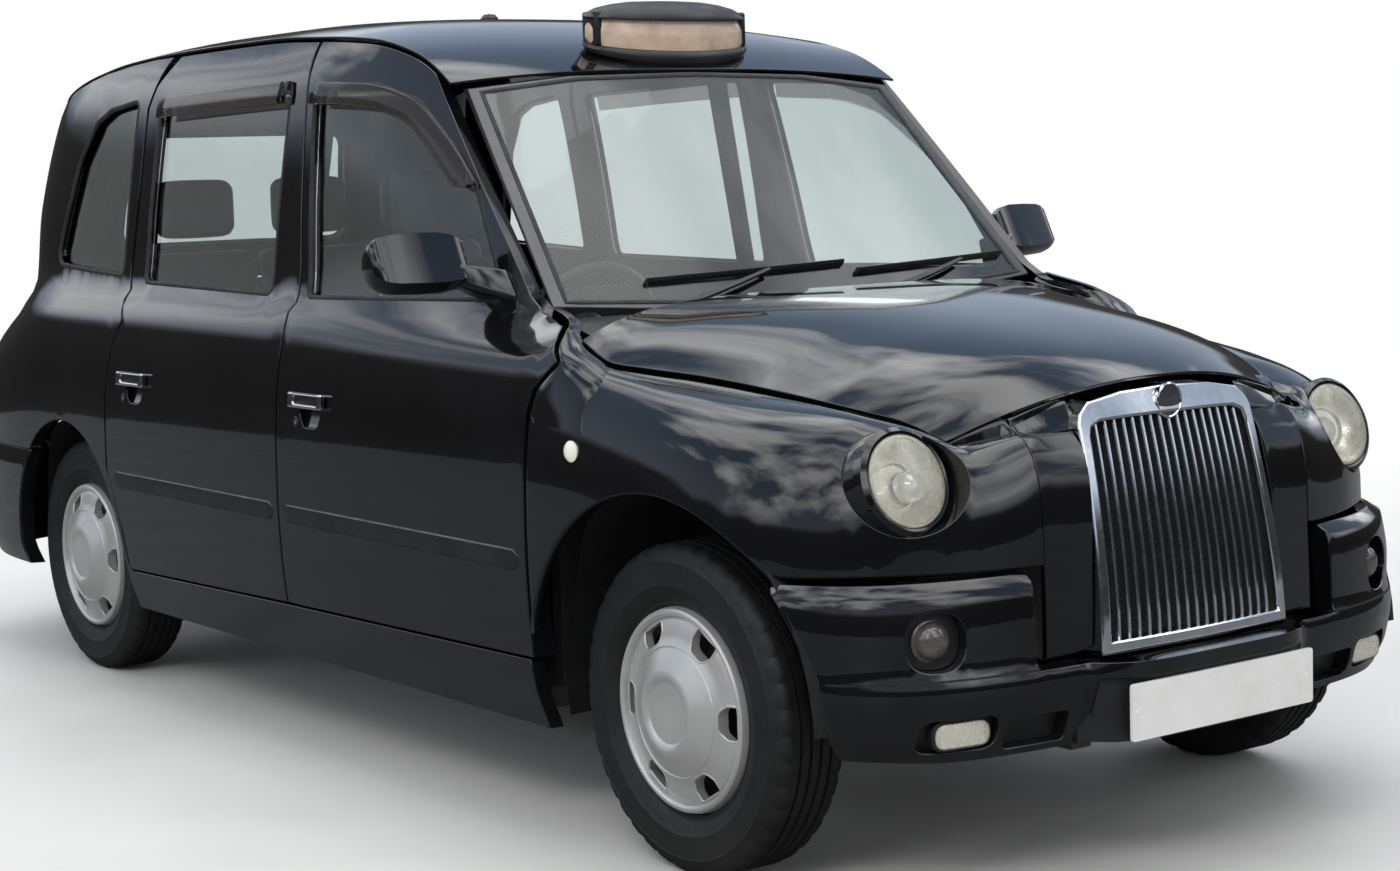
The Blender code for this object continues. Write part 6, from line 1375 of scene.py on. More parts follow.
def soft_box(name, slot, low, high, radius, segments=3):
    """A block with rounded edges."""
    bm = bmesh.new()
    bmesh.ops.create_cube(bm, size=1.0)
    for vert in bm.verts:
        vert.co = Vector([low[i] + (high[i] - low[i]) * (vert.co[i] + 0.5) for i in range(3)])
    bmesh.ops.bevel(bm, geom=bm.edges[:], offset=radius, segments=segments, affect="EDGES", profile=0.5)
    return finish_bmesh(name, bm, slot, radians(50))


def joined(name, items):
    """Joins pieces into one object."""
    base = items[0]
    bm = bmesh.new()
    slots = []
    for item in items:
        for material_here in item.data.materials:
            if material_here not in slots:
                slots.append(material_here)
    for item in items:
        start = len(bm.faces)
        bm.from_mesh(item.data)
        bm.faces.ensure_lookup_table()
        index = slots.index(item.data.materials[0])
        for face in bm.faces[start:]:
            face.material_index = index
    mesh = bpy.data.meshes.new(name)
    bm.to_mesh(mesh)
    bm.free()
    for material_here in slots:
        mesh.materials.append(material_here)
    base_slot = base.get("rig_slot")
    for item in items:
        bpy.data.objects.remove(item, do_unlink=True)
    made = bpy.data.objects.new(name, mesh)
    bpy.context.scene.collection.objects.link(made)
    if base_slot:
        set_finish(made, base_slot)
    return made


def shifted(skin, low, high):
    """A skin between two heights over another one."""
    def made(a, b):
        point, _, normal = on_surface(skin, a, b)
        return point + normal * high, point + normal * low
    return made


def rectangle(x0, x1, z0, z1):
    return [(x0, z0), (x1, z0), (x1, z1), (x0, z1)]


def oval(wide, tall, count):
    angles = [2 * pi * i / count for i in range(count)]
    return [(wide * cos(angle), tall * sin(angle)) for angle in angles]


def mirrored(half):
    """Half an outline and its mirror image, as one ring."""
    return half + [(-a, b) for a, b in reversed(half)]


def turned(angle, axis, place):
    """A turn about an axis, then a move to a place."""
    matrix = Matrix.Rotation(angle, 4, axis)
    matrix.translation = Vector(place)
    return matrix


def aimed(aim, place):
    """Local X along the aim and local Z as upright as it can be."""
    up = (Vector((0, 0, 1)) - aim * aim.z).normalized()
    matrix = Matrix((aim, up.cross(aim), up)).transposed().to_4x4()
    matrix.translation = place
    return matrix


def dress_doors():
    front_outline = share_points(FRONT_DOOR_SHARES) + top_line(FRONT_TOP_SHARES, 14)
    rear_outline = share_points(REAR_DOOR_SHARES) + top_line(REAR_TOP_SHARES, 16)
    rows = (
        ("front_door", front_outline, FRONT_WINDOW_SHARES, FRONT_WINDOW_RADII, (0.151, 0.5365)),
        ("rear_door", rear_outline, REAR_WINDOW_SHARES, WINDOW_RADIUS, (0.5385, 0.884)),
    )
    for side, side_name in SIDES:
        for kind, outline, window_shares, radii, span_shares in rows:
            node = kind + "_" + side_name
            body = BODY_OF[node]
            skin = door_skin(side)
            window = rounded(share_points(window_shares), radii, 8)
            scoop = handle_scoop(FRONT_AXLE_Y + span_shares[1] * WHEELBASE - HANDLE_INSET)
            stand_for(fine_panel(node + "_skin", "paint_black", outline, skin, [window, scoop]), node)
            pane = shrunk(refine(window, 0.04), SEAT_GAP)
            glass = fine_panel(kind + "_pane_" + side_name, "glass", pane, glass_skin(side, GLASS_DEPTH),
                               (), 0.08, 0.0004)
            stand_for(glass, kind + "_glass_" + side_name)
            ring = refine(window, 0.02)
            route, ups = follow(skin, ring, -0.004)
            put(sweep(node + "_seal", "rubber", route, ups, round_profile(0.016, 0.006, 6), True), body)
            front_y = FRONT_AXLE_Y + span_shares[0] * WHEELBASE
            rear_y = FRONT_AXLE_Y + span_shares[1] * WHEELBASE
            low_y, high_y = front_y + STRIP_INSET, rear_y - STRIP_INSET
            middle = (STRIP_LOW_Z + STRIP_HIGH_Z) / 2
            height = STRIP_HIGH_Z - STRIP_LOW_Z
            path = [(low_y + (high_y - low_y) * step / 40, middle) for step in range(41)]
            route, ups = follow(skin, path, -0.002)

            def taper(share):
                end = min(share, 1 - share) * (high_y - low_y)
                return min(1.0, 0.25 + (end / 0.018) ** 0.5)
            profile = [(u, v, taper) for u, v in
                       ((-height / 2, 0), (-height / 2 + 0.004, 0.006), (-height * 0.25, 0.0072),
                        (height * 0.25, 0.0072), (height / 2 - 0.004, 0.006), (height / 2, 0))]
            put(sweep(node + "_strip", "plastic_black", route, ups, profile), body)
            dress_handle(node, body, side, skin, rear_y - HANDLE_INSET)


def handle_scoop(rear):
    """The finger bowl under a door handle."""
    middle, top = rear - HANDLE_LENGTH * 0.52, HANDLE_Z - 0.004
    ring = [(middle - 0.052, top), (middle - 0.050, top - 0.026), (middle - 0.034, top - 0.056),
            (middle + 0.034, top - 0.056), (middle + 0.050, top - 0.026), (middle + 0.052, top)]
    return rounded(ring, (0.004, 0.020, 0.026, 0.026, 0.020, 0.004), 6)


def dress_handle(node, body, side, skin, rear):
    front = rear - HANDLE_LENGTH

    def bowl(a, b):
        point, _, normal = on_surface(skin, a, b)
        share = min(max((HANDLE_Z - b) / 0.060, 0.0), 1.0)
        depth = 0.020 - 0.012 * share ** 2
        return point - normal * depth, point - normal * (depth + 0.003)
    scoop = shrunk(handle_scoop(rear), 0.0004)
    put(fine_panel(node + "_bowl", "paint_black", scoop, bowl, (), 0.008, 0.001), body)
    low_z, high_z = HANDLE_Z - HANDLE_HEIGHT / 2, HANDLE_Z + HANDLE_HEIGHT / 2 + 0.008
    flap = rectangle(front, rear, low_z, high_z)
    pull = rounded(rectangle(front + 0.016, rear - 0.030, low_z + 0.012, high_z - 0.007), 0.004, 4)
    put(fine_panel(node + "_handle", "chrome", rounded(flap, 0.005, 6),
                   shifted(skin, 0.0004, HANDLE_DEPTH * 0.85), [pull], 0.012, 0.006), body)
    put(fine_panel(node + "_grip", "plastic_black", rounded(flap, 0.006, 6), shifted(skin, 0.0005, 0.006),
                   (), 0.02, 0.002), body)
    turn = turned(0 if side > 0 else pi, "Z", on_surface(skin, rear - 0.018, HANDLE_Z - 0.050)[0])
    lock = spun("lock", "plastic_black",
                [(0.006, 0.0035), (0.012, 0.0035), (0.0135, 0.001), (0.0135, -0.002)], 28, turn)
    core = spun("core", "chrome", [(0, 0.0025), (0.006, 0.0025), (0.006, -0.002)], 24, turn)
    put(joined(node + "_lock", [lock, core]), body)


def dress_deflectors():
    """Smoked shields over the tops of the door windows."""
    rows = (
        ("front_door", ((0.292, 0.752), (0.330, 0.803), (0.384, 0.860), (0.445, 0.884), (0.545, 0.893))),
        ("rear_door", ((0.590, 0.897), (0.720, 0.894), (0.850, 0.889))),
    )
    # Columns: share of the depth below the window's top, height over the door.
    section = ((-0.014, 0.0022), (0.0, 0.010), (0.5, 0.013), (0.94, 0.013), (1.0, 0.010))
    for side, side_name in SIDES:
        skin = door_skin(side)
        for kind, shares in rows:
            corners = [Vector(corner) for corner in share_points(shares)]
            line = [start.lerp(end, step / 8)
                    for start, end in zip(corners, corners[1:]) for step in range(8)]
            line.append(corners[-1])
            for _ in range(6):
                inner = [(a + b * 2 + c) / 4 for a, b, c in zip(line, line[1:], line[2:])]
                line = [line[0]] + inner + [line[-1]]
            verts, faces = [], []
            for index, spot in enumerate(line):
                run = (line[min(index + 1, len(line) - 1)] - line[max(index - 1, 0)]).normalized()
                down = Vector((run.y, -run.x))
                share = index / (len(line) - 1)
                depth = 0.052 * min(1.0, share / 0.12 + 0.15) if kind == "front_door" else 0.052
                for step, (along, lift) in enumerate(section):
                    place = spot + down * depth * along
                    point, _, normal = on_surface(skin, place.x, place.y)
                    verts.append(point + normal * lift)
                    if index and step:
                        now = index * len(section) + step
                        before = now - len(section)
                        faces.append((before - 1, before, now, now - 1))
            shield = link_mesh(kind + "_deflector_" + side_name, verts, faces, "smoke", None, radians(50))
            solid = shield.modifiers.new("thickness", "SOLIDIFY")
            solid.thickness = 0.002
            put(shield, BODY_OF[kind + "_" + side_name])


def dress_roof():
    def skin(u, v):
        point = roof_point(2 * u - 1, v)
        body = (1 - abs(2 * u - 1) ** 4) * min(v * 7, (1 - v) * 7, 1.0)
        top = point + Vector((0, 0, SEAM + LIP))
        return top, top - Vector((0, 0, LIP + (ROOF_THICKNESS - LIP) * body))
    put(fine_sheet("roof_skin", "paint_black", 1.4, 2.4, skin, 0.045), "body", "roof_panel")
    y = FRONT_AXLE_Y + AERIAL_PLACE
    turn = turned(-pi / 2, "Y", (0, y, roof_height(0.0, y)))
    top = HEIGHT - turn.translation.z
    put(spun("aerial_base", "plastic_black", [(0.024, 0.0), (0.024, top * 0.5), (0.016, top * 0.9), (0, top)],
             32, turn), "body")


def dress_side_frames():
    rear_gap = share_points(REAR_DOOR_SHARES)[REAR_GAP_START:]
    tail_low = BUMPER_TOP_Z + SEAM
    low_angle = asin((tail_low - AXLE_Z) / REAR_ARCH_HEIGHT)
    high_angle = pi - asin((SILL_BOTTOM_Z - AXLE_Z) / REAR_ARCH_HEIGHT)
    arch = []
    for step in range(49):
        angle = low_angle + (high_angle - low_angle) * step / 48
        y = REAR_AXLE_Y + REAR_ARCH_REACH * cos(angle)
        z = AXLE_Z + REAR_ARCH_HEIGHT * sin(angle)
        arch.append((tail_path(y, z), z))
    rows = [row / ROOF_ROWS for row in range(ROOF_ROWS + 1) if row / ROOF_ROWS > ROOF_REAR_SHARE]
    top = [roof_edge(share) for share in [ROOF_REAR_SHARE] + rows]
    seam = [(tail_path(y, z - SEAM), z - SEAM) for y, z in top]
    seam[0] = (seam[0][0], seam[0][1] - LIP / 2)
    window = [(tail_path(y, z), z) for y, z in
              refine(rounded(share_points(QUARTER_WINDOW_SHARES), QUARTER_WINDOW_RADII, 8), 0.04)]
    sill_front_y = FRONT_AXLE_Y + SILL_FRONT_SHARE * WHEELBASE
    front_low, middle_low = share_points(FRONT_DOOR_SHARES)[6:8]
    bottoms = [(sill_front_y, front_low[1]), middle_low, rear_gap[0]]
    door_bottom = [(tail_path(y, z - GAP), z - GAP) for y, z in bottoms]
    gap_line = [(tail_path(y + (GAP if z < BELT_Z else UPPER_GAP), z), z) for y, z in rear_gap]
    outline = [(tail_path(sill_front_y, SILL_BOTTOM_Z), SILL_BOTTOM_Z)]
    outline += door_bottom + gap_line + seam
    outline += [(QUARTER_END_PATH, z) for z in tail_seam_levels(seam[-1][1], tail_low)]
    outline += arch
    for side, side_name in SIDES:
        skin = tail_skin(side, 0, BODY_THICKNESS)
        stand_for(fine_panel("quarter_" + side_name, "paint_black", outline, skin, [window], 0.035),
                  "side_frame_" + side_name)
        stand_for(fine_panel("quarter_pane_" + side_name, "glass", shrunk(window, SEAT_GAP),
                             tail_skin(side, GLASS_DEPTH, GLASS_THICKNESS), (), 0.08, 0.0004),
                  "quarter_glass_" + side_name)
        route, ups = follow(skin, refine(window, 0.02), -0.004)
        put(sweep("quarter_seal_" + side_name, "rubber", route, ups, round_profile(0.016, 0.006, 6), True),
            "body")


# The side repeater's place on the wing, as (y, z).
REPEATER_SPOT = (FRONT_AXLE_Y + 0.263, 0.839)


def dress_front():
    def bonnet_skin(u, v):
        point = bonnet_point(2 * u - 1, v)
        body = (1 - abs(2 * u - 1) ** 6) * min(v * 5, 1.0)
        return point, point - Vector((0, 0, LIP + (BONNET_THICKNESS - LIP) * body))
    stand_for(fine_sheet("bonnet_skin", "paint_black", 1.3, 0.95, bonnet_skin, 0.026), "bonnet_panel")
    outline, hole = wing_outline()
    for side, side_name in SIDES:
        stand_for(fine_panel("wing_skin_" + side_name, "paint_black", outline, wing_skin(side, SKIN), [hole],
                             0.028), "front_wing_" + side_name)
        dress_lamp(side, side_name, hole)
        point = wing_spot(*REPEATER_SPOT)
        turn = turned(0 if side > 0 else pi, "Z", (side * (point.x + 0.001), point.y, point.z))
        profile = [(0, 0.011), (0.010, 0.010), (0.018, 0.006), (0.0225, 0.001), (0.0225, -0.003)]
        put(spun("repeater_" + side_name, "lens_cream", profile, 40, turn), "body")
        dress_liner(side, side_name)
    dress_nose_lip()
    dress_cowl(outline)
    stand_for(fine_panel("nose_skin", "paint_black", nose_outline(), nose_skin, (), 0.022), "nose_panel")


# The corner behind the wing starts at a place on the wing, follows the wing's rear edge up, and then
# runs between places of the door's edge (y, z) and places beside the bonnet (x, y, z).
COWL_START = (1.2700, 0.160)
COWL_DOOR = ((-1.2370, 1.0390), (-1.2175, 1.0575), (-1.1985, 1.0750), (-1.1800, 1.0920), (-1.1200, 1.1080),
             (-1.0620, 1.1190))
COWL_FRONT = ((0.7715, -1.2520, 1.0330), (0.7720, -1.2360, 1.0430), (0.7705, -1.2180, 1.0540),
              (0.7560, -1.2000, 1.0650), (0.7310, -1.1350, 1.0880), (0.7130, -1.0480, 1.1040))


def dress_cowl(wing_ring):
    """The corner between the wing, the bonnet, the front door and the foot of the screen."""
    rear_edge = [(along, up) for along, up in wing_ring
                 if along > WING_LENGTH / 2 and COWL_START[1] < up < WING_HEIGHT]
    for side, side_name in SIDES:
        rows = []
        for along, up in [COWL_START] + rear_edge:
            edge = wing_point(along, up)
            rows.append((Vector((side_x(edge.y, edge.z), edge.y - 0.004, edge.z)),
                         wing_point(along - 0.050, up) + Vector((0.0012, 0, 0.0012))))
        for (y, z), front in zip(COWL_DOOR, COWL_FRONT):
            rows.append((Vector((side_x(y, z), y, z)), Vector(front)))
        verts, faces = [], []
        for rear, front in rows:
            verts.append(rear - Vector((0.020, 0.002, 0)))
            for step in range(6):
                share = step / 5
                point = rear.lerp(front, share)
                crown = 0.008 * sin(pi * share) * min((rear - front).length / 0.05, 1)
                verts.append(point + Vector((0.5, 0, 0.6)) * crown)
            verts.append(front + Vector((-0.6, 0, -0.8)) * 0.010)
        width = 8
        for row in range(len(rows) - 1):
            for k in range(width - 1):
                a = row * width + k
                faces.append((a, a + 1, a + width + 1, a + width))
        verts = [Vector((side * v.x, v.y, v.z)) for v in verts]
        if side < 0:
            faces = [face[::-1] for face in faces]
        item = link_mesh("cowl_corner_" + side_name, verts, faces, "paint_black", None, radians(50))
        smooth = item.modifiers.new("smooth", "SUBSURF")
        smooth.levels = 1
        smooth.render_levels = 1
        put(item, "body")


NOSE_LIP_X = 0.236


def dress_nose_lip():
    """Closes the line between the bonnet's front edge and the nose and wings under it."""
    corner = bonnet_edge(0)
    for side, side_name in SIDES:
        verts, faces = [], []
        for step in range(25):
            x = NOSE_LIP_X + (corner.x - 0.004 - NOSE_LIP_X) * step / 24
            upper = bonnet_point(min(x / corner.x, 1.0), 0.0) - Vector((0, 0, LIP + 0.0015))
            if x < SEAM_TOP_X:
                low_z = SEAM_TOP_Z - GAP - 0.012
                lower = nose_skin(x, low_z)[0] + Vector((0, 0.004, 0))
            else:
                share = (x - SEAM_TOP_X) / (corner.x - SEAM_TOP_X)
                seam_top = Vector((SEAM_TOP_X, FRONT_AXLE_Y - SEAM_TOP_Y, SEAM_TOP_Z - GAP))
                lower = seam_top.lerp(corner - Vector((0, 0, GAP + LIP)), share) + Vector((0, 0.004, -0.012))
            for row in range(5):
                point = lower.lerp(upper, row / 4)
                back = 0.008 if x < SEAM_TOP_X else 0.003
                verts.append(Vector((side * point.x, point.y + back, point.z)))
        for step in range(24):
            for row in range(4):
                a = step * 5 + row
                faces.append((a, a + 5, a + 6, a + 1) if side < 0 else (a, a + 1, a + 6, a + 5))
        item = link_mesh("nose_lip_" + side_name, verts, faces, "paint_black")
        solid = item.modifiers.new("thickness", "SOLIDIFY")
        solid.thickness = 0.003
        put(item, "body")


def wing_spot(y, z):
    along, up = solve_wing(side_view, (y, z), WING_LENGTH * 0.8, 0.2)
    return wing_point(along, up)


def wing_outline():
    rear_y = FRONT_AXLE_Y + FRONT_DOOR_SHARES[6][0] * WHEELBASE - GAP
    low_angle = asin((WING_BOTTOM_Z - AXLE_Z) / ARCH_RADIUS)
    high_angle = pi - asin((WING_BASE_Z - AXLE_Z) / ARCH_RADIUS)
    arch = []
    for step in range(43):
        angle = high_angle + (low_angle - high_angle) * step / 42
        arch.append((FRONT_AXLE_Y - ARCH_RADIUS * cos(pi - angle), AXLE_Z + ARCH_RADIUS * sin(angle)))
    outline = [(0.0, 0.0)]
    guess = (WING_LENGTH * 0.5, 0.0)
    for spot in arch:
        guess = solve_wing(side_view, spot, *guess)
        outline.append(guess)
    door_line = [(rear_y, WING_BOTTOM_Z)]
    door_line += [(y - GAP, z) for y, z in reversed(share_points(FRONT_DOOR_SHARES)[3:6])]
    for low, high in zip(door_line, door_line[1:]):
        run = Vector(high) - Vector(low)
        pieces = ceil(run.length / 0.03)
        for piece in range(pieces):
            guess = solve_wing(side_view, Vector(low) + run * (piece / pieces), *guess)
            outline.append(guess)
    guess = solve_wing(side_view, door_line[-1], *guess)
    outline.append(guess)
    for step in range(41):
        outline.append((guess[0] * (1 - step / 40), WING_HEIGHT))
    outline += [(0.0, WING_HEIGHT * row / 18 * SEAM_SPAN_SHARE) for row in range(18, 0, -1)]
    centre, _, across, lift = lamp_frame(1)

    def lamp_view(point):
        return (point - centre).dot(across), (point - centre).dot(lift)
    hole = []
    spot = (WING_LENGTH * 0.2, WING_HEIGHT * 0.4)
    for place in oval(LAMP_RADIUS + 0.0012, LAMP_RADIUS + 0.0012, 64):
        spot = solve_wing(lamp_view, place, *spot)
        hole.append(spot)
    return outline, hole


def nose_outline():
    notch = GRILLE_HIGH_X + SEAM
    notch_z = bonnet_point(notch / bonnet_edge(0).x, 0.0).z - LIP - GAP * 5
    share = (notch_z - GRILLE_LOW_Z) / (GRILLE_SHOULDER_Z - GRILLE_SIDE - GRILLE_LOW_Z)
    notch_x = GRILLE_LOW_X + (GRILLE_HIGH_X - GRILLE_LOW_X) * min(share, 1.0) + SEAM
    corner_x = bonnet_edge(0).x

    def below_bonnet(x):
        return bonnet_point(min(x / corner_x, 1.0), 0.0).z - LIP - 0.0020
    right = [(GRILLE_LOW_X + SEAM, GRILLE_LOW_Z - SEAM), (notch_x, below_bonnet(notch_x) - 0.004)]
    seam_x = wing_point(0.0, WING_HEIGHT * SEAM_SPAN_SHARE).x - SEAM * 3
    for step in range(9):
        x = notch_x + (seam_x - notch_x) * (step + 1) / 9
        right.append((x, below_bonnet(x)))
    for row in range(18, -1, -1):
        point = wing_point(0.0, WING_HEIGHT * row / 18 * SEAM_SPAN_SHARE)
        right.append((point.x - SEAM * 3, point.z))
    for z in (BUMPER_STEP_Z + SKIN, BUMPER_STEP_Z + LIP / 2, NOSE_FOOT_Z):
        right.append((seam_point(z).x - SEAM * 3, z))
    return mirrored(right)


def dress_lamp(side, side_name, hole):
    """A headlamp, and the collar that closes the wing's opening around it."""
    centre, forward, across, lift = lamp_frame(side)
    turn = Matrix((forward, across, lift)).transposed().to_4x4()
    turn.translation = centre
    r = LENS_RADIUS
    put(spun("lamp_bezel_" + side_name, "paint_black", [
        (r * 0.93, -0.030), (r * 0.955, 0.0), (r * 0.97, SKIN * 0.45), (r * 1.02, SKIN * 0.55),
        (LAMP_RADIUS, -0.001), (LAMP_RADIUS, -0.025)], 96, turn, radians(50)), "body",
        "headlamp_" + side_name)
    put(spun("lamp_bowl_" + side_name, "reflector", [
        (r * 0.93, 0.000), (r * 0.90, -0.014), (r * 0.78, -0.030), (r * 0.62, -0.045), (r * 0.46, -0.055),
        (r * 0.42, -0.050), (r * 0.38, -0.060), (0, -0.064)], 64, turn, radians(20)), "body")
    put(spun("lamp_ring_" + side_name, "lens_cream", [
        (r * 0.93, 0.0005), (r * 0.925, 0.005), (r * 0.86, 0.004), (r * 0.84, -0.004), (r * 0.90, -0.012)],
        96, turn, radians(50)), "body")
    aim = turn @ Matrix.Translation((0, -side * 0.022, -0.006))
    put(spun("lamp_projector_" + side_name, "lamp_clear", [
        (r * 0.30, -0.055), (r * 0.30, -0.030), (r * 0.26, -0.022), (r * 0.24, -0.026), (r * 0.14, -0.018),
        (0, -0.014)], 48, aim, radians(40)), "body")
    put(spun("lamp_lens_" + side_name, "lens", [
        (r * 0.955, -0.001), (r * 0.94, SKIN * 0.6), (r * 0.80, LENS_CROWN * 0.62),
        (r * 0.6, LENS_CROWN * 0.82), (r * 0.3, LENS_CROWN * 0.96), (0, LENS_CROWN)],
        96, turn, radians(60)), "body")
    rings = []
    for index, place in enumerate(hole):
        angle = 2 * pi * index / len(hole)
        spot = wing_point(*place)
        edge = Vector((side * spot.x, spot.y, spot.z))
        rim = centre + (side * across * cos(angle) + lift * sin(angle)) * (LAMP_RADIUS * 0.985)
        rings.append((rim - forward * 0.0015, edge - forward * 0.0008))
    verts, faces = [], []
    for rim, edge in rings:
        for step in range(4):
            share = step / 3
            crown = 0.003 * sin(pi * share) * min((rim - edge).length / 0.02, 1)
            verts.append(rim.lerp(edge, share) + forward * crown)
    count = len(rings)
    for index in range(count):
        ahead = (index + 1) % count
        for k in range(3):
            quad = (index * 4 + k, index * 4 + k + 1, ahead * 4 + k + 1, ahead * 4 + k)
            faces.append(quad if side > 0 else quad[::-1])
    put(link_mesh("lamp_collar_" + side_name, verts, faces, "paint_black", None, radians(60)), "body")


def dress_liner(side, side_name):
    """Black liners inside the front and rear arches."""
    # Columns: end, axle, reach, height, where the arc ends as a share of pi, inner and outer X.
    rows = (
        ("front", FRONT_AXLE_Y, ARCH_RADIUS + 0.010, ARCH_RADIUS + 0.010, 0.985, 0.500, 0.835),
        ("rear", REAR_AXLE_Y, REAR_ARCH_REACH + 0.006, REAR_ARCH_HEIGHT + 0.006, 1.05, 0.610, 0.835),
    )
    start = -0.06
    for end, axle_y, reach, height, stop, inner_x, outer_x in rows:
        verts = []
        for step in range(37):
            angle = pi * (start + (stop - start) * step / 36)
            along = reach * cos(angle) * (-1 if end == "rear" else 1)
            y, z = axle_y + along, AXLE_Z + height * sin(angle)
            if end == "rear":
                outer = min(outer_x, side_x(y, max(z, 0.35)) - 0.040,
                            outer_x - 0.10 * max(0.0, along / reach - 0.5))
            else:
                outer = outer_x - 0.055 * min(1.0, max(0.0, (along / reach - 0.6) / 0.3))
            verts += [(side * inner_x, y, z), (side * outer, y, z)]
        faces = [(2 * step, 2 * step + 1, 2 * step + 3, 2 * step + 2) for step in range(36)]
        put(link_mesh("arch_liner_%s_%s" % (end, side_name), verts, faces, "dark"), "body")


BADGE_Z = 0.922


def dress_grille():
    outer = refine(grille_outline(0.0), 0.02)
    inner = refine(grille_outline(GRILLE_SIDE, 0.0, GRILLE_FOOT_BAND), 0.02)

    def skin(x, z):
        y = grille_y(z, x)
        return Vector((x, y, z)), Vector((x, y + GRILLE_DEPTH, z))
    put(fine_panel("grille_frame", "chrome", outer, skin, [inner], 0.012, 0.006), "body", "grille")
    pitch = 2 * (GRILLE_HIGH_X - GRILLE_SIDE) / (GRILLE_BARS + 1)
    spread_share = (GRILLE_LOW_X - GRILLE_SIDE) / (GRILLE_HIGH_X - GRILLE_SIDE)
    low_z = GRILLE_LOW_Z + GRILLE_FOOT_BAND * 0.5
    high_z = GRILLE_TOP_Z - GRILLE_TOP_BAND * 0.7
    bars = []
    for index in range(GRILLE_BARS):
        top_x = -GRILLE_HIGH_X + GRILLE_SIDE + pitch * (index + 1)
        edge_share = abs(top_x) / (GRILLE_HIGH_X - GRILLE_SIDE)
        reach_z = high_z - (GRILLE_TOP_Z - GRILLE_SHOULDER_Z) * edge_share ** 2
        route, ups = [], []
        for row in range(17):
            z = low_z + (reach_z - low_z) * row / 16
            lean = (z - low_z) / (high_z - low_z)
            x = top_x * (spread_share + (1 - spread_share) * lean)
            route.append(Vector((x, grille_y(z, x) + BAR_FRONT + 0.008, z)))
            ups.append(Vector((0, -1, 0)))
        half = GRILLE_BAR_WIDTH / 2
        profile = [(-half, -0.006), (-half, 0.004), (-half * 0.6, 0.0075), (half * 0.6, 0.0075),
                   (half, 0.004), (half, -0.006)]
        bars.append(sweep("bar", "chrome", route, ups, profile))
    put(joined("grille_bars", bars), "body")
    backing = shrunk(inner, SEAT_GAP * 2)

    def backing_skin(x, z):
        y = grille_y(z, x) + BAR_BACK + MESH_SETBACK
        return Vector((x, y, z)), Vector((x, y + LIP, z))
    net = fine_panel("grille_net", "dark", backing, backing_skin, (), 0.03, 0.0004)
    net.data.materials[0] = meshwork()
    put(net, "body", "grille_mesh")
    turn = turned(-pi / 2, "Z", (0, grille_y(BADGE_Z) - 0.0005, BADGE_Z))
    put(spun("badge_rim", "chrome", [(0.036, -0.004), (0.036, 0.003), (0.033, 0.005), (0.031, 0.003),
                                     (0.031, 0.001)], 64, turn), "body")
    put(spun("badge_face", "badge", [(0, 0.0032), (0.016, 0.0030), (0.0312, 0.0020), (0.0312, -0.003)], 64,
             turn), "body")


BUMPER_ROLL = 0.024
PLATE_BAY_MARGIN = 0.033
PLATE_BAY_TOP_Z = 0.417
# Openings of the front bumper. Columns: name, X, Z, half width, half height, corner radius, depth.
BUMPER_OPENINGS = (
    ("indicator", INDICATOR_X, INDICATOR_Z, 0.0555, 0.0555, 0.0550, 0.030),
    ("fog", FOG_X, FOG_Z, FOG_HALF_WIDTH, FOG_HALF_HEIGHT, 0.028, 0.026),
    ("intake", 0.424, 0.334, 0.072, 0.029, 0.012, 0.034),
)
# The fog lamp. Columns: piece, slot, half width, half height, rear and front place along its aim.
FOG_PIECES = (
    ("bezel", "plastic_black", 0.066, 0.0285, -0.012, 0.003),
    ("bowl", "reflector", 0.058, 0.022, -0.004, 0.005),
    ("lens", "lens", 0.060, 0.0235, 0.006, 0.009),
)


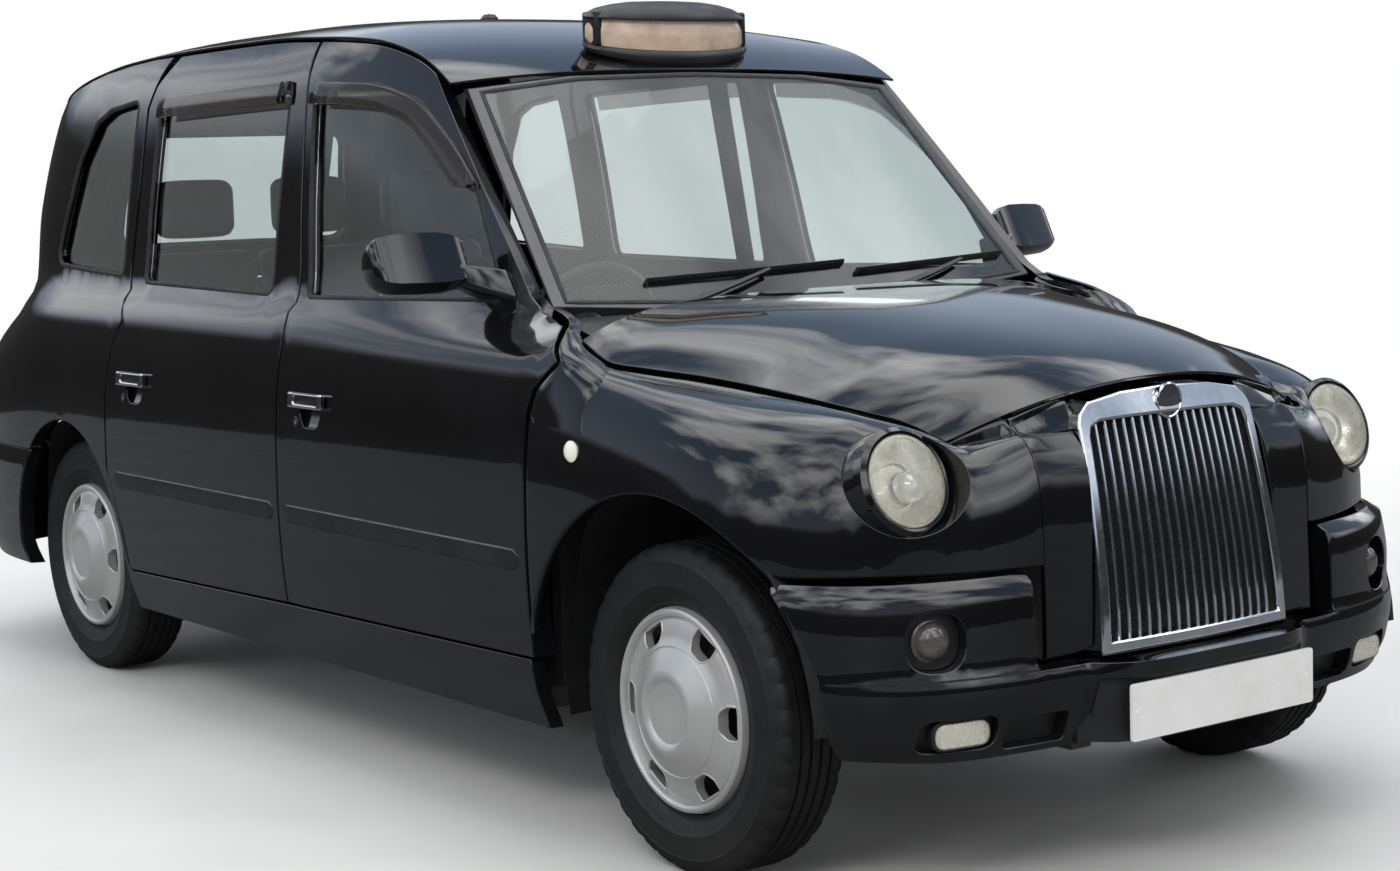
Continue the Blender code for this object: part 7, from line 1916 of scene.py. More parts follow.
def dress_bumper():
    arch = []
    for step in range(19):
        z = BUMPER_TOP_Z + (BUMPER_FOOT_Z + SKIN - BUMPER_TOP_Z) * step / 18
        y = FRONT_AXLE_Y - sqrt(ARCH_RADIUS ** 2 - (z - AXLE_Z) ** 2)
        arch.append((bumper_path(y, z), z))
    pod = path_of_x(POD_X, BUMPER_STEP_Z)
    bay = PLATE_WIDTH / 2 + PLATE_BAY_MARGIN
    right = [(pod, BUMPER_STEP_Z), (pod, BUMPER_TOP_Z)] + arch
    right += [(HALF_WIDTH * 0.8, BUMPER_FOOT_Z), (path_of_x(bay, BUMPER_FOOT_Z), BUMPER_FOOT_Z),
              (path_of_x(bay, PLATE_BAY_TOP_Z), PLATE_BAY_TOP_Z)]

    def skin(path, z):
        point, normal = bumper_point(path, z)
        return point, point - normal * BUMPER_WALL

    def bay_skin(x, z):
        y = max(bumper_point(path_of_x(abs(x), 0.36), 0.36)[0].y, -LENGTH / 2) + 0.010
        return Vector((x, y, z)), Vector((x, y + 0.020, z))

    def rolled(path, z):
        """The top edge rolls back, with the face as far out as the solid's."""
        point, normal = bumper_point(path, z)
        rise = max(0.0, z - (BUMPER_TOP_Z - BUMPER_ROLL))
        depth = BUMPER_ROLL - sqrt(max(BUMPER_ROLL ** 2 - rise ** 2, 0.0))
        return point - normal * depth, point - normal * BUMPER_WALL
    ring = rectangle(-bay - 0.030, bay + 0.030, BUMPER_FOOT_Z + 0.002, PLATE_BAY_TOP_Z + 0.010)
    put(fine_panel("plate_bay", "plastic_black", ring, bay_skin, (), 0.03, 0.002), "body")
    holes = []
    for side, side_name in SIDES:
        for name, x, z, wide, tall, radius, depth in BUMPER_OPENINGS:
            corners = rounded(rectangle(x - wide, x + wide, z - tall, z + tall), radius, 10)
            ring = [(side * path_of_x(a, b), b) for a, b in corners]
            holes.append(ring)

            def cup(path, z, depth=depth):
                point, normal = bumper_point(path, z)
                return point - normal * depth, point - normal * (depth + 0.004)
            put(fine_panel(name + "_cup_" + side_name, "plastic_black", shrunk(ring, 0.0004), cup, (), 0.02,
                           0.001), "body")
        dress_bumper_lamps(side, side_name)
    put(fine_panel("bumper_skin", "paint_black", mirrored(right), rolled, holes, 0.014, 0.003), "body",
        "front_bumper")
    far = bumper_path(FRONT_AXLE_Y - ARCH_RADIUS - 0.004, BUMPER_STEP_Z)
    # A thin dark strip along the bumper's step: painted shade in place of the groove, which the mesh does not
    # form.
    for side, side_name in SIDES:
        path = [(side * (pod + (far - pod) * i / 60), BUMPER_STEP_Z + 0.001) for i in range(61)]
        route, ups = follow(skin, path, -0.0006)
        put(sweep("bumper_line_" + side_name, "dark", route, ups,
                  [(-0.0022, 0.0), (-0.0022, 0.0010), (0.0022, 0.0010), (0.0022, 0.0)]), "body")
    dress_front_plate()


def dress_bumper_lamps(side, side_name):
    """The indicator's and the fog lamp's insides."""
    point, normal = bumper_point(side * path_of_x(INDICATOR_X, INDICATOR_Z), INDICATOR_Z)
    turn = aimed((normal + Vector((0, -1.2, 0))).normalized(), point - normal * 0.030)
    profile = [(0, 0.026), (0.014, 0.0245), (0.026, 0.019), (0.034, 0.010), (0.037, 0.0), (0.041, -0.001),
               (0.043, -0.004)]
    put(spun("indicator_lens_" + side_name, "lamp_smoke", profile, 56, turn, radians(50)), "body")
    point, normal = bumper_point(side * path_of_x(FOG_X - 0.008, FOG_Z), FOG_Z)
    turn = aimed((normal + Vector((0, -0.8, 0))).normalized(), point - normal * 0.016)
    for piece, slot_name, wide, tall, low, high in FOG_PIECES:
        def face(a, b, low=low, high=high, wide=wide):
            crown = 0.003 * (1 - (a / wide) ** 2)
            return turn @ Vector((high + crown, a, b)), turn @ Vector((low, a, b))
        ring = rounded(rectangle(-wide, wide, -tall, tall), tall * 0.96, 10)
        put(fine_panel("fog_%s_%s" % (piece, side_name), slot_name, ring, face, (), 0.012, 0.0015), "body")


def dress_front_plate():
    half, tall, front_y = PLATE_WIDTH / 2, PLATE_HEIGHT / 2, -LENGTH / 2

    def plate_face(a, b):
        return Vector((a, front_y + 0.002, b)), Vector((a, front_y + 0.009, b))
    ring = rounded(rectangle(-half, half, PLATE_Z - tall, PLATE_Z + tall), 0.008, 4)
    put(fine_panel("plate_front", "plate_white", ring, plate_face, (), 0.06, 0.001), "body")
    caps = []
    for x in (-half + 0.016, half - 0.016):
        turn = turned(-pi / 2, "Z", (x, front_y + 0.002, PLATE_Z))
        caps.append(spun("cap", "plate_white", [(0, 0.0018), (0.005, 0.0014), (0.0065, -0.001)], 20, turn))
    put(joined("plate_caps", caps), "body")


def dress_screen():
    glass = refine(both_sides(SCREEN_GLASS_SHARES, SCREEN_FOOT_SHARE), 0.03)
    border = both_sides(FRAME_SHARES, FRAME_FOOT_SHARE)
    edge_x = FRAME_SHARES[0][0] * HALF_WIDTH
    glass_x = SCREEN_GLASS_SHARES[0][0] * HALF_WIDTH

    def frame_skin(x, z):
        y = screen_y(x, z)
        inset = min(max((abs(x) - glass_x * 0.85) / (edge_x - glass_x * 0.85), 0.0), 1.0)
        return Vector((x, y, z)), Vector((x, y + FRAME_SLAB + (FRAME_LIP - FRAME_SLAB) * inset, z))

    def glass_face(x, z):
        y = screen_y(x, z) + SEAT_GAP
        return Vector((x, y, z)), Vector((x, y + SCREEN_THICKNESS, z))
    stand_for(fine_panel("screen_surround", "pillar_grey", border, frame_skin, [glass], 0.03),
              "windscreen_frame")
    stand_for(fine_panel("screen_glass", "glass", shrunk(glass, SEAT_GAP), glass_face, (), 0.06, 0.0004),
              "windscreen")
    route, ups = follow(frame_skin, glass, -0.002)
    put(sweep("screen_seal", "rubber", route, ups, round_profile(0.014, 0.005, 6), True), "body")

    def tray(u, v):
        x = (2 * u - 1) * (edge_x - SKIN)
        rear_z = FRAME_FOOT_SHARE * HEIGHT - SEAM
        rear_y = screen_y(x, rear_z) + FRAME_LIP
        share = abs(x) / (BONNET_SHARES[-1][1] * HALF_WIDTH)
        front = bonnet_point(min(share, 1.0), 1.0)
        front_y = front.y + SCUTTLE_FRONT_GAP
        front_z = min(front.z, rear_z) - SCUTTLE_DROP
        return (Vector((x, front_y + (rear_y - front_y) * v, front_z + (rear_z - front_z) * v)),
                Vector((x, front_y + (rear_y - front_y) * v, front_z - SCUTTLE_DROP)))
    put(fine_sheet("scuttle_tray", "plastic_black", 1.4, 0.15, tray, 0.025), "body", "scuttle")
    dress_wipers()


# Columns: side, pivot X and Z, tip of the arm X and Z, ends of the blade in X.
WIPERS = (
    ("right", -0.420, 1.100, -0.130, 1.170, -0.460, 0.100),
    ("left", 0.230, 1.112, 0.480, 1.165, 0.130, 0.640),
)


def dress_wipers():
    """Two wipers parked along the foot of the screen."""
    def thinner(share):
        return 1.2 - 0.6 * share
    section = ((-0.008, -0.003), (-0.006, 0.003), (0.006, 0.003), (0.008, -0.003))
    for side_name, pivot_x, pivot_z, tip_x, tip_z, blade_low, blade_high in WIPERS:
        start = Vector((pivot_x, screen_y(pivot_x, pivot_z) - 0.018, pivot_z + 0.004))
        bend = Vector((tip_x, screen_y(tip_x, tip_z) - 0.022, tip_z))
        ups = [Vector((0, -0.6, 0.8))] * 9
        route = [start.lerp(bend, step / 8) - Vector((0, 0.008 * sin(pi * step / 8), 0)) for step in range(9)]
        arm = sweep("arm", "plastic_black", route, ups, [(across, up, thinner) for across, up in section])
        route = []
        for step in range(13):
            x = blade_low + (blade_high - blade_low) * step / 12
            z = tip_z - 0.004 + 0.016 * (step / 12 - 0.5)
            route.append(Vector((x, screen_y(x, z) - 0.008, z)))
        blade = sweep("blade", "plastic_black", route, [Vector((0, -0.75, 0.66))] * 13,
                      [(-0.006, -0.006), (-0.005, 0.006), (0.0, 0.011), (0.005, 0.006), (0.006, -0.006)])
        turn = turned(0.3 - pi / 2, "Y", start - Vector((0, 0, 0.030)))
        boss = spun("boss", "plastic_black", [(0.011, 0.000), (0.011, 0.030), (0.009, 0.034), (0, 0.036)], 24,
                    turn)
        put(joined("wiper_" + side_name, [arm, blade, boss]), "body")


def dress_tail():
    """The panel around the rear window, the window and its seals."""
    edge = QUARTER_END_PATH - SEAM
    window = [(x * HALF_WIDTH, z * HEIGHT) for x, z in TAIL_WINDOW_SHARES]
    window = refine(rounded(window, TAIL_WINDOW_RADIUS, 8), 0.04)
    outline = mirrored([(edge, z) for z in tail_seam_levels(roof_edge(1.0)[1], TAIL_SPLIT_SHARE * HEIGHT)])
    roof_x = side_x(*roof_edge(1.0))
    for step in range(1, 20):
        x = edge * (2 * step / 20 - 1)
        outline.append((x, roof_point(x / roof_x, 1.0).z - SEAM))
    skin = tail_sheet_skin(BODY_THICKNESS)
    put(fine_panel("tail_skin", "paint_black", outline, skin, [window], 0.03), "body", "rear_window_panel")
    route = [roof_point(-0.97 + 1.94 * step / 60, 0.997) - Vector((0, 0.010, 0.012)) for step in range(61)]
    put(sweep("roof_rear_seal", "rubber", route, [Vector((0, 0.5, 0.9))] * 61, oval(0.010, 0.008, 10)),
        "body")
    stand_for(fine_panel("tail_pane", "glass", shrunk(window, SEAT_GAP),
                         tail_skin(1, GLASS_DEPTH / 2, GLASS_THICKNESS), (), 0.06, 0.0004), "rear_window")
    route, ups = follow(skin, refine(window, 0.02), -0.003)
    put(sweep("tail_seal", "rubber", route, ups, round_profile(0.018, 0.006, 6), True), "body")


# Pieces on the boot lid. Columns: name, slot, X from and to, Z from and to, foot and face over the lid,
# corner radius.
BOOT_PIECES = (
    ("boot_plate", "plate_yellow", -0.260, 0.260, 0.760, 0.871, 0.0005, 0.004, 0.006),
    ("boot_trim", "chrome", -0.270, 0.270, 0.892, 0.918, 0.0005, 0.014, 0.008),
    ("boot_badge", "badge", -0.030, 0.030, 0.975, 1.005, 0.0002, 0.003, 0.014),
)


def dress_boot():
    edge = QUARTER_END_PATH - GAP
    lid = rectangle(-edge, edge, BOOT_LOW_SHARE * HEIGHT, TAIL_SPLIT_SHARE * HEIGHT - GAP)
    skin = tail_sheet_skin(BOOT_SKIN)
    body = BODY_OF["boot_lid"]
    put(fine_panel("boot_skin", "paint_black", rounded(lid, BOOT_SKIN, 8), skin, (), 0.03), body, "boot_lid")
    for name, slot_name, x0, x1, z0, z1, low, high, radius in BOOT_PIECES:
        ring = rounded(rectangle(x0, x1, z0, z1), radius, 6)
        put(fine_panel(name, slot_name, ring, shifted(skin, low, high), (), 0.04, 0.002), body)


# Rear lamp colours, bottom to top. Columns: slot, Z from and to.
REAR_LAMP_SPANS = (
    ("lamp_red", 0.700, 0.815), ("lamp_clear", 0.8155, 0.875), ("lamp_amber", 0.8755, 0.925),
    ("lamp_red", 0.9255, 0.980),
)


def dress_rear_bumper():
    """The rear bumper and the rear lamps."""
    def bumper_skin(path, z):
        point, normal = rear_bumper_point(path, z)
        point = point - Vector((0, 0.0012, 0))
        return point, point - normal * BUMPER_WALL
    arch = []
    for step in range(17):
        z = BUMPER_TOP_Z + (REAR_BUMPER_FOOT_Z - BUMPER_TOP_Z) * step / 16
        reach = REAR_ARCH_REACH * sqrt(1 - ((z - AXLE_Z) / REAR_ARCH_HEIGHT) ** 2)
        arch.append((rear_bumper_path(REAR_AXLE_Y + reach + GAP, z), z))
    put(fine_panel("rear_bumper_skin", "paint_black", mirrored(arch), bumper_skin, (), 0.03, 0.006), "body",
        "rear_bumper")
    for side, side_name in SIDES:
        def lamp_skin(path, z):
            point, normal = tail_point(side * path, z)
            return point + normal * REAR_LAMP_PROUD, point + normal * LAMP_SEAT
        for index, (slot_name, z0, z1) in enumerate(REAR_LAMP_SPANS):
            ring = rounded(rectangle(REAR_LAMP_START_PATH, REAR_LAMP_END_PATH, z0, z1), 0.012, 5)
            item = fine_panel("tail_lamp_%s_%d" % (side_name, index), slot_name, ring, lamp_skin, (), 0.02,
                              0.004)
            put(item, "body", *([] if index else ["rear_lamp_" + side_name]))


# The plane of the wheel trim's rim, measured along the axle from the wheel's middle.
OUTER_PLANE = 0.8173 - TRACK / 2
# Its section. Columns: radius, how far out as a share of TRIM_DOME, how far back as a share of TRIM_LIP.
TRIM_SECTION = (
    (0.0, 0.96, 0), (0.058, 0.94, 0), (0.0625, 0.98, 0), (0.068, 1.14, 0), (0.075, 1.24, 0), (0.083, 1.20, 0),
    (0.092, 1.04, 0), (0.108, 0.74, 0), (0.122, 0.46, 0), (0.1285, 0.34, 0), (0.1300, 0.26, 0),
    (0.1325, 0.34, 0), (0.148, 0.02, 0), (0.160, 0, 0.20), (0.182, 0, 0.75), (0.1875, 0, 1.05),
    (0.1905, 0, 0.35), (0.195, 0, 0), (0.200, 0, 0), (0.2045, 0, 0.3), (0.2068, 0, 1),
)


def trim_depth(r):
    """How far the wheel trim stands out, along the axle, at a radius."""
    rows = [(radius, OUTER_PLANE + TRIM_DOME * out - TRIM_LIP * back) for radius, out, back in TRIM_SECTION]
    for (r0, d0), (r1, d1) in zip(rows, rows[1:]):
        if r <= r1:
            return d0 + (d1 - d0) * (r - r0) / (r1 - r0)
    return rows[-1][1]


def make_trim(name, matrix):
    """The wheel: a steel rim behind a silver trim with six holes."""
    radii = [0.0, 0.058, 0.0605, 0.0625, 0.0650, 0.068, 0.0715, 0.075, 0.079, 0.083, 0.0875, 0.092, 0.100,
             0.108, 0.115, 0.122, 0.1285, 0.1300, 0.1325, 0.140, 0.148, 0.154, 0.160, 0.171, 0.182, 0.1875,
             0.1905, 0.195, 0.200, 0.2045, 0.2068]
    rim = RIM_WIDTH / 2
    front = [(r, trim_depth(r)) for r in radii]
    back = [(RIM_RADIUS - 0.0006, rim - SKIN), (RIM_RADIUS - 0.0006, rim * 0.2), (0.196, rim * 0.2),
            (0.196, rim * 0.66), (0.150, rim * 0.80), (0.060, rim * 0.86), (0.0, rim * 0.86)]
    trim = spun(name, "trim_silver", front + back, 120, matrix, radians(24))
    wide, tall = TRIM_HOLE_WIDTH / 2 + 0.005, TRIM_HOLE_HEIGHT / 2
    corners = [(-wide * 0.60, -tall), (wide * 0.60, -tall), (wide, -tall * 0.1), (wide, tall), (-wide, tall),
               (-wide, -tall * 0.1)]
    outline = rounded(corners, (0.018, 0.018, 0.016, 0.007, 0.007, 0.016), 7)
    cutters = []
    ring_items = []
    for index in range(TRIM_HOLES):
        angle = 2 * pi * (index + 0.5) / TRIM_HOLES
        turn = Matrix.Rotation(angle, 4, "X") @ Matrix.Translation((0, 0, TRIM_HOLE_RADIUS))
        cutter = prism("cut", "trim_silver", outline, 0, rim * 0.45, OUTER_PLANE + TRIM_DOME)
        cutter.data.transform(matrix @ turn)
        cutters.append(cutter)
        route, ups = [], []
        for along, up in refine(outline, 0.006):
            spot = turn @ Vector((0, along, up))
            depth = trim_depth(hypot(spot.y, spot.z))
            route.append(matrix @ Vector((depth - 0.0015, spot.y, spot.z)))
            ups.append(matrix.to_3x3() @ Vector((1, 0, 0)))
        ring_items.append(sweep("lip", "trim_silver", route, ups, round_profile(0.0055, 0.0026, 5), True))
    cut(trim, cutters)
    trim.data.shade_smooth()
    trim.data.set_sharp_from_angle(angle=radians(24))
    barrel = spun("barrel", "steel", [
        (RIM_RADIUS - 0.0006, rim * 0.2), (RIM_RADIUS - 0.0006, -rim + 0.002), (RIM_RADIUS - 0.006, -rim),
        (0.194, -rim + 0.012), (0.186, -0.030), (0.186, 0.004), (0.120, 0.012), (HUB_RADIUS * 1.3, HUB_FACE),
        (HUB_RADIUS * 1.1, HUB_FACE), (HUB_RADIUS * 1.1, HUB_FACE + 0.008), (0.120, 0.020), (0.180, 0.012)],
        72, matrix, radians(30))
    turn = matrix @ Matrix.Rotation(2 * pi * 0.5 / TRIM_HOLES, 4, "X") @ Matrix.Translation((0.040, 0, 0.168))
    valve = spun("valve", "plastic_black", [(0.006, -0.010), (0.005, 0.012), (0.004, 0.020), (0, 0.021)], 12,
                 turn)
    return joined(name, [trim, barrel, valve] + ring_items)


def make_tread(name, matrix):
    """A tyre with grooves, shoulder cuts and rings on its walls."""
    half = TYRE_WIDTH / 2
    bead = RIM_WIDTH / 2 - OVERRUN
    top = TYRE_RADIUS
    shoulder = TYRE_RADIUS - OVERRUN
    wall = TYRE_RADIUS - (TYRE_RADIUS - RIM_RADIUS) * 0.45
    # Columns: radius, place across, 1 where the shoulder cuts reach.
    side = [(RIM_RADIUS + 0.001, bead, 0), (RIM_RADIUS + 0.006, bead + 0.005, 0),
            (RIM_RADIUS + 0.010, bead + 0.004, 0), (RIM_RADIUS + 0.013, bead + 0.007, 0),
            (0.238, half * 0.93, 0), (0.250, half * 0.965, 0), (0.2515, half * 0.98, 0),
            (0.255, half * 0.98, 0),
            (0.2565, half * 0.975, 0), (wall, half * 0.99, 0), (0.296, half * 0.975, 0),
            (0.2975, half * 0.985, 0), (0.300, half * 0.982, 0), (0.3015, half * 0.965, 0),
            (0.312, half * 0.925, 1), (shoulder - 0.002, half * 0.865, 1), (top - 0.004, half * 0.76, 1),
            (top - 0.0005, half * 0.68, 1), (top, half * 0.60, 1)]
    grooves = []
    for centre in (0.42, 0.14):
        grooves += [(top, half * (centre + 0.045), 0), (top - 0.007, half * (centre + 0.035), 0),
                    (top - 0.007, half * (centre - 0.035), 0), (top, half * (centre - 0.045), 0)]
    flank = side + grooves
    ring = flank + [(r, -x, cut_here) for r, x, cut_here in reversed(flank)]
    segments = 160
    verts, faces = [], []
    width = len(ring)
    for step in range(segments):
        angle = 2 * pi * step / segments
        notch = step % 4 == 0
        for r, x, cut_here in ring:
            depth = 0.0045 if notch and cut_here else 0.0
            reach = r - depth
            verts.append(matrix @ Vector((x * (1 - depth * 0.6), reach * cos(angle), reach * sin(angle))))
    for step in range(segments):
        low, high = step * width, ((step + 1) % segments) * width
        for k in range(width - 1):
            faces.append((low + k, low + k + 1, high + k + 1, high + k))
    bm = bmesh.new()
    made = [bm.verts.new(v) for v in verts]
    for face in faces:
        bm.faces.new([made[i] for i in face])
    return finish_bmesh(name, bm, "tyre", radians(28))


def dress_wheels():
    for end, side_name, side, y in wheel_places():
        matrix = side_matrix(side, y)
        node = "wheel_" + end + "_" + side_name
        if end == "front" and side < 0:
            trim = make_trim(node + "_trim", matrix)
            tread = make_tread("tread_" + end + "_" + side_name, matrix)
            first = (trim, tread, matrix)
        else:
            copies = []
            for source in first[:2]:
                mesh = source.data.copy()
                mesh.transform(matrix @ first[2].inverted())
                name = source.name.replace("front_right", end + "_" + side_name)
                made = bpy.data.objects.new(name, mesh)
                bpy.context.scene.collection.objects.link(made)
                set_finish(made, "trim_silver" if source is first[0] else "tyre")
                copies.append(made)
            trim, tread = copies
        put(trim, BODY_OF[node], node)
        put(tread, BODY_OF["tyre_" + end + "_" + side_name], "tyre_" + end + "_" + side_name)


def oval_rings(rows, sides, half, depth, y, z_of):
    rings = []
    for up, wide, deep in rows:
        rings.append([Vector((x, y + along, z_of(x, y + along, up)))
                      for x, along in oval(half * wide, depth * deep, sides)])
    return rings


def dress_sign():
    """A black housing with a brow and a lens that looks forward and back."""
    y = FRONT_AXLE_Y + SIGN_PLACE

    def z_of(x, along, up):
        foot = roof_height(x, along) + 0.0005
        return foot + (SIGN_TOP_Z - foot) * up
    base = loft("sign_base", "plastic_black", oval_rings(
        ((0.0, 0.80, 0.84), (0.03, 0.90, 0.93), (0.09, 0.97, 0.99), (0.17, 0.995, 1.0), (0.22, 0.98, 0.965),
         (0.24, 0.91, 0.87), (0.24, 0.3, 0.3)), 72, SIGN_HALF, SIGN_DEPTH, y, z_of), True, radians(40))
    lens = loft("sign_lens", "sign", oval_rings(
        ((0.18, 0.92, 0.86), (0.30, 0.955, 0.90), (0.50, 0.955, 0.88), (0.70, 0.90, 0.80),
         (0.86, 0.78, 0.66)), 72, SIGN_HALF, SIGN_DEPTH, y, z_of), True, radians(60))
    brow = loft("sign_brow", "plastic_black", oval_rings(
        ((0.72, 0.88, 0.78), (0.68, 0.975, 0.955), (0.71, 0.985, 0.965), (0.77, 0.945, 0.92),
         (0.87, 0.83, 0.79),
         (0.94, 0.66, 0.60), (0.985, 0.46, 0.42), (1.0, 0.24, 0.22)), 72, SIGN_HALF, SIGN_DEPTH, y, z_of),
        True, radians(45))
    put(base, "body", "roof_sign")
    put(brow, "body")
    put(lens, "body")
    for side, side_name in SIDES:
        x = side * SIGN_HALF * 0.93
        low, high = z_of(x, y, 0.15), z_of(x, y, 0.80)
        put(soft_box("sign_end_" + side_name, "plastic_black",
                     (min(x, x - side * 0.020), y - SIGN_DEPTH * 0.36, low),
                     (max(x, x - side * 0.020), y + SIGN_DEPTH * 0.36, high), 0.006), "body")


# The mirror's shell. Columns: share of the way out, height and depth as shares of the full ones.
MIRROR_SECTIONS = (
    (0.00, 0.42, 0.42), (0.02, 0.60, 0.62), (0.06, 0.78, 0.80), (0.15, 0.92, 0.93), (0.30, 1.00, 1.00),
    (0.55, 1.00, 1.00), (0.80, 0.96, 0.95), (0.90, 0.88, 0.88), (0.96, 0.74, 0.74), (1.00, 0.50, 0.50),
)


def dress_mirrors():
    y = FRONT_AXLE_Y + MIRROR_PLACE + MIRROR_DEPTH
    for side, side_name in SIDES:
        body = BODY_OF["mirror_" + side_name]
        rings = []
        for share, tall, deep in MIRROR_SECTIONS:
            x = MIRROR_IN_X + (MIRROR_OUT_X - MIRROR_IN_X) * share
            ring = []
            for step in range(41):
                angle = 2 * pi * 13 / 20 * step / 40
                along = MIRROR_DEPTH * (deep * sin(angle) / 2 + share * 0.3)
                up = MIRROR_HEIGHT * tall * cos(angle) / 2
                ring.append(Vector((side * x, y + along, MIRROR_Z + up)))
            rings.append(ring)
        shell = loft("mirror_shell_" + side_name, "paint_black", rings, True, radians(50))
        put(shell, body, "mirror_" + side_name)
        base_y = y - MIRROR_DEPTH * 0.6
        base_z = BELT_Z + HANDLE_DEPTH * 2.6
        foot = []
        for along, up in ((-0.5 * MIRROR_DEPTH, -GAP * 2), (0.7 * MIRROR_DEPTH, -GAP * 2),
                          (0.7 * MIRROR_DEPTH, MIRROR_HEIGHT * 0.4), (0, MIRROR_HEIGHT * 0.4)):
            foot_x = side_x(base_y + along, base_z + up) + 0.001
            foot.append(Vector((side * foot_x, base_y + along, base_z + up)))
        head = [Vector((side * (MIRROR_IN_X + SKIN * 2.5), y + along, MIRROR_Z - MIRROR_HEIGHT * 0.25 + up))
                for along, up in ((-GAP * 5, -GAP * 3), (GAP * 5, -GAP * 3), (GAP * 5, GAP * 5),
                                  (-GAP * 5, GAP * 5))]
        rings = []
        for step in range(9):
            share = step / 8
            eased = share * share * (3 - 2 * share)
            corners = [a.lerp(b, eased) for a, b in zip(foot, head)]
            flat = [(c.y, c.z) for c in corners]
            ring = []
            for a, b in rounded(flat, 0.010, 5):
                weight = [1 / (0.0004 + (a - c.y) ** 2 + (b - c.z) ** 2) for c in corners]
                ring.append(Vector((sum(w * c.x for w, c in zip(weight, corners)) / sum(weight), a, b)))
            rings.append(ring)
        put(loft("mirror_arm_" + side_name, "paint_black", rings, True, radians(50)), body)
        x0, x1 = MIRROR_IN_X + 0.018, MIRROR_OUT_X - 0.020
        back_y = y + MIRROR_DEPTH * 0.20
        corners = [(side * x0, MIRROR_Z - 0.050), (side * x1, MIRROR_Z - 0.046),
                   (side * x1, MIRROR_Z + 0.050), (side * x0, MIRROR_Z + 0.052)]

        def face(x, z):
            share = (abs(x) - MIRROR_IN_X) / (MIRROR_OUT_X - MIRROR_IN_X)
            back = back_y + MIRROR_DEPTH * share * 0.3
            return Vector((x, back + 0.006, z)), Vector((x, back - 0.004, z))
        put(fine_panel("mirror_glass_" + side_name, "mirror", rounded(corners, 0.022, 6), face, (), 0.05,
                       0.002), body)


CUSHION_VOXEL = 0.014


def soft_shape(name, slot_name, low, high, radius, lean=0.0, swell=0.018, frames=20):
    """A cushion: a rounded block blown up by the cloth solver, then smoothed."""
    bm = bmesh.new()
    bmesh.ops.create_cube(bm, size=1.0)
    for vert in bm.verts:
        vert.co = Vector([low[i] + (high[i] - low[i]) * (vert.co[i] + 0.5) for i in range(3)])
    bmesh.ops.bevel(bm, geom=bm.edges[:], offset=radius, segments=3, affect="EDGES", profile=0.5)
    item = finish_bmesh(name, bm, slot_name, radians(80))
    remesh = item.modifiers.new("remesh", "REMESH")
    remesh.mode = "VOXEL"
    remesh.voxel_size = CUSHION_VOXEL
    remesh.use_smooth_shade = True
    bake(item)
    start = [vert.co.copy() for vert in item.data.vertices]
    cloth = item.modifiers.new("cloth", "CLOTH")
    cloth.settings.use_pressure = True
    cloth.settings.uniform_pressure_force = 4
    cloth.settings.quality = 3
    cloth.settings.effector_weights.gravity = 0
    for frame_number in range(1, frames + 1):
        bpy.context.scene.frame_set(frame_number)
    bake(item)
    bpy.context.scene.frame_set(1)
    for vert, before in zip(item.data.vertices, start):
        move = vert.co - before
        if move.length > swell:
            vert.co = before + move.normalized() * swell
        for axis in (0, 1):
            vert.co[axis] = min(max(vert.co[axis], low[axis] - 0.006), high[axis] + 0.006)
        vert.co.z = min(max(vert.co.z, low[2] - 0.002), high[2] + swell)
        vert.co.y += lean * (vert.co.z - low[2])
    item.data.shade_smooth()
    return item


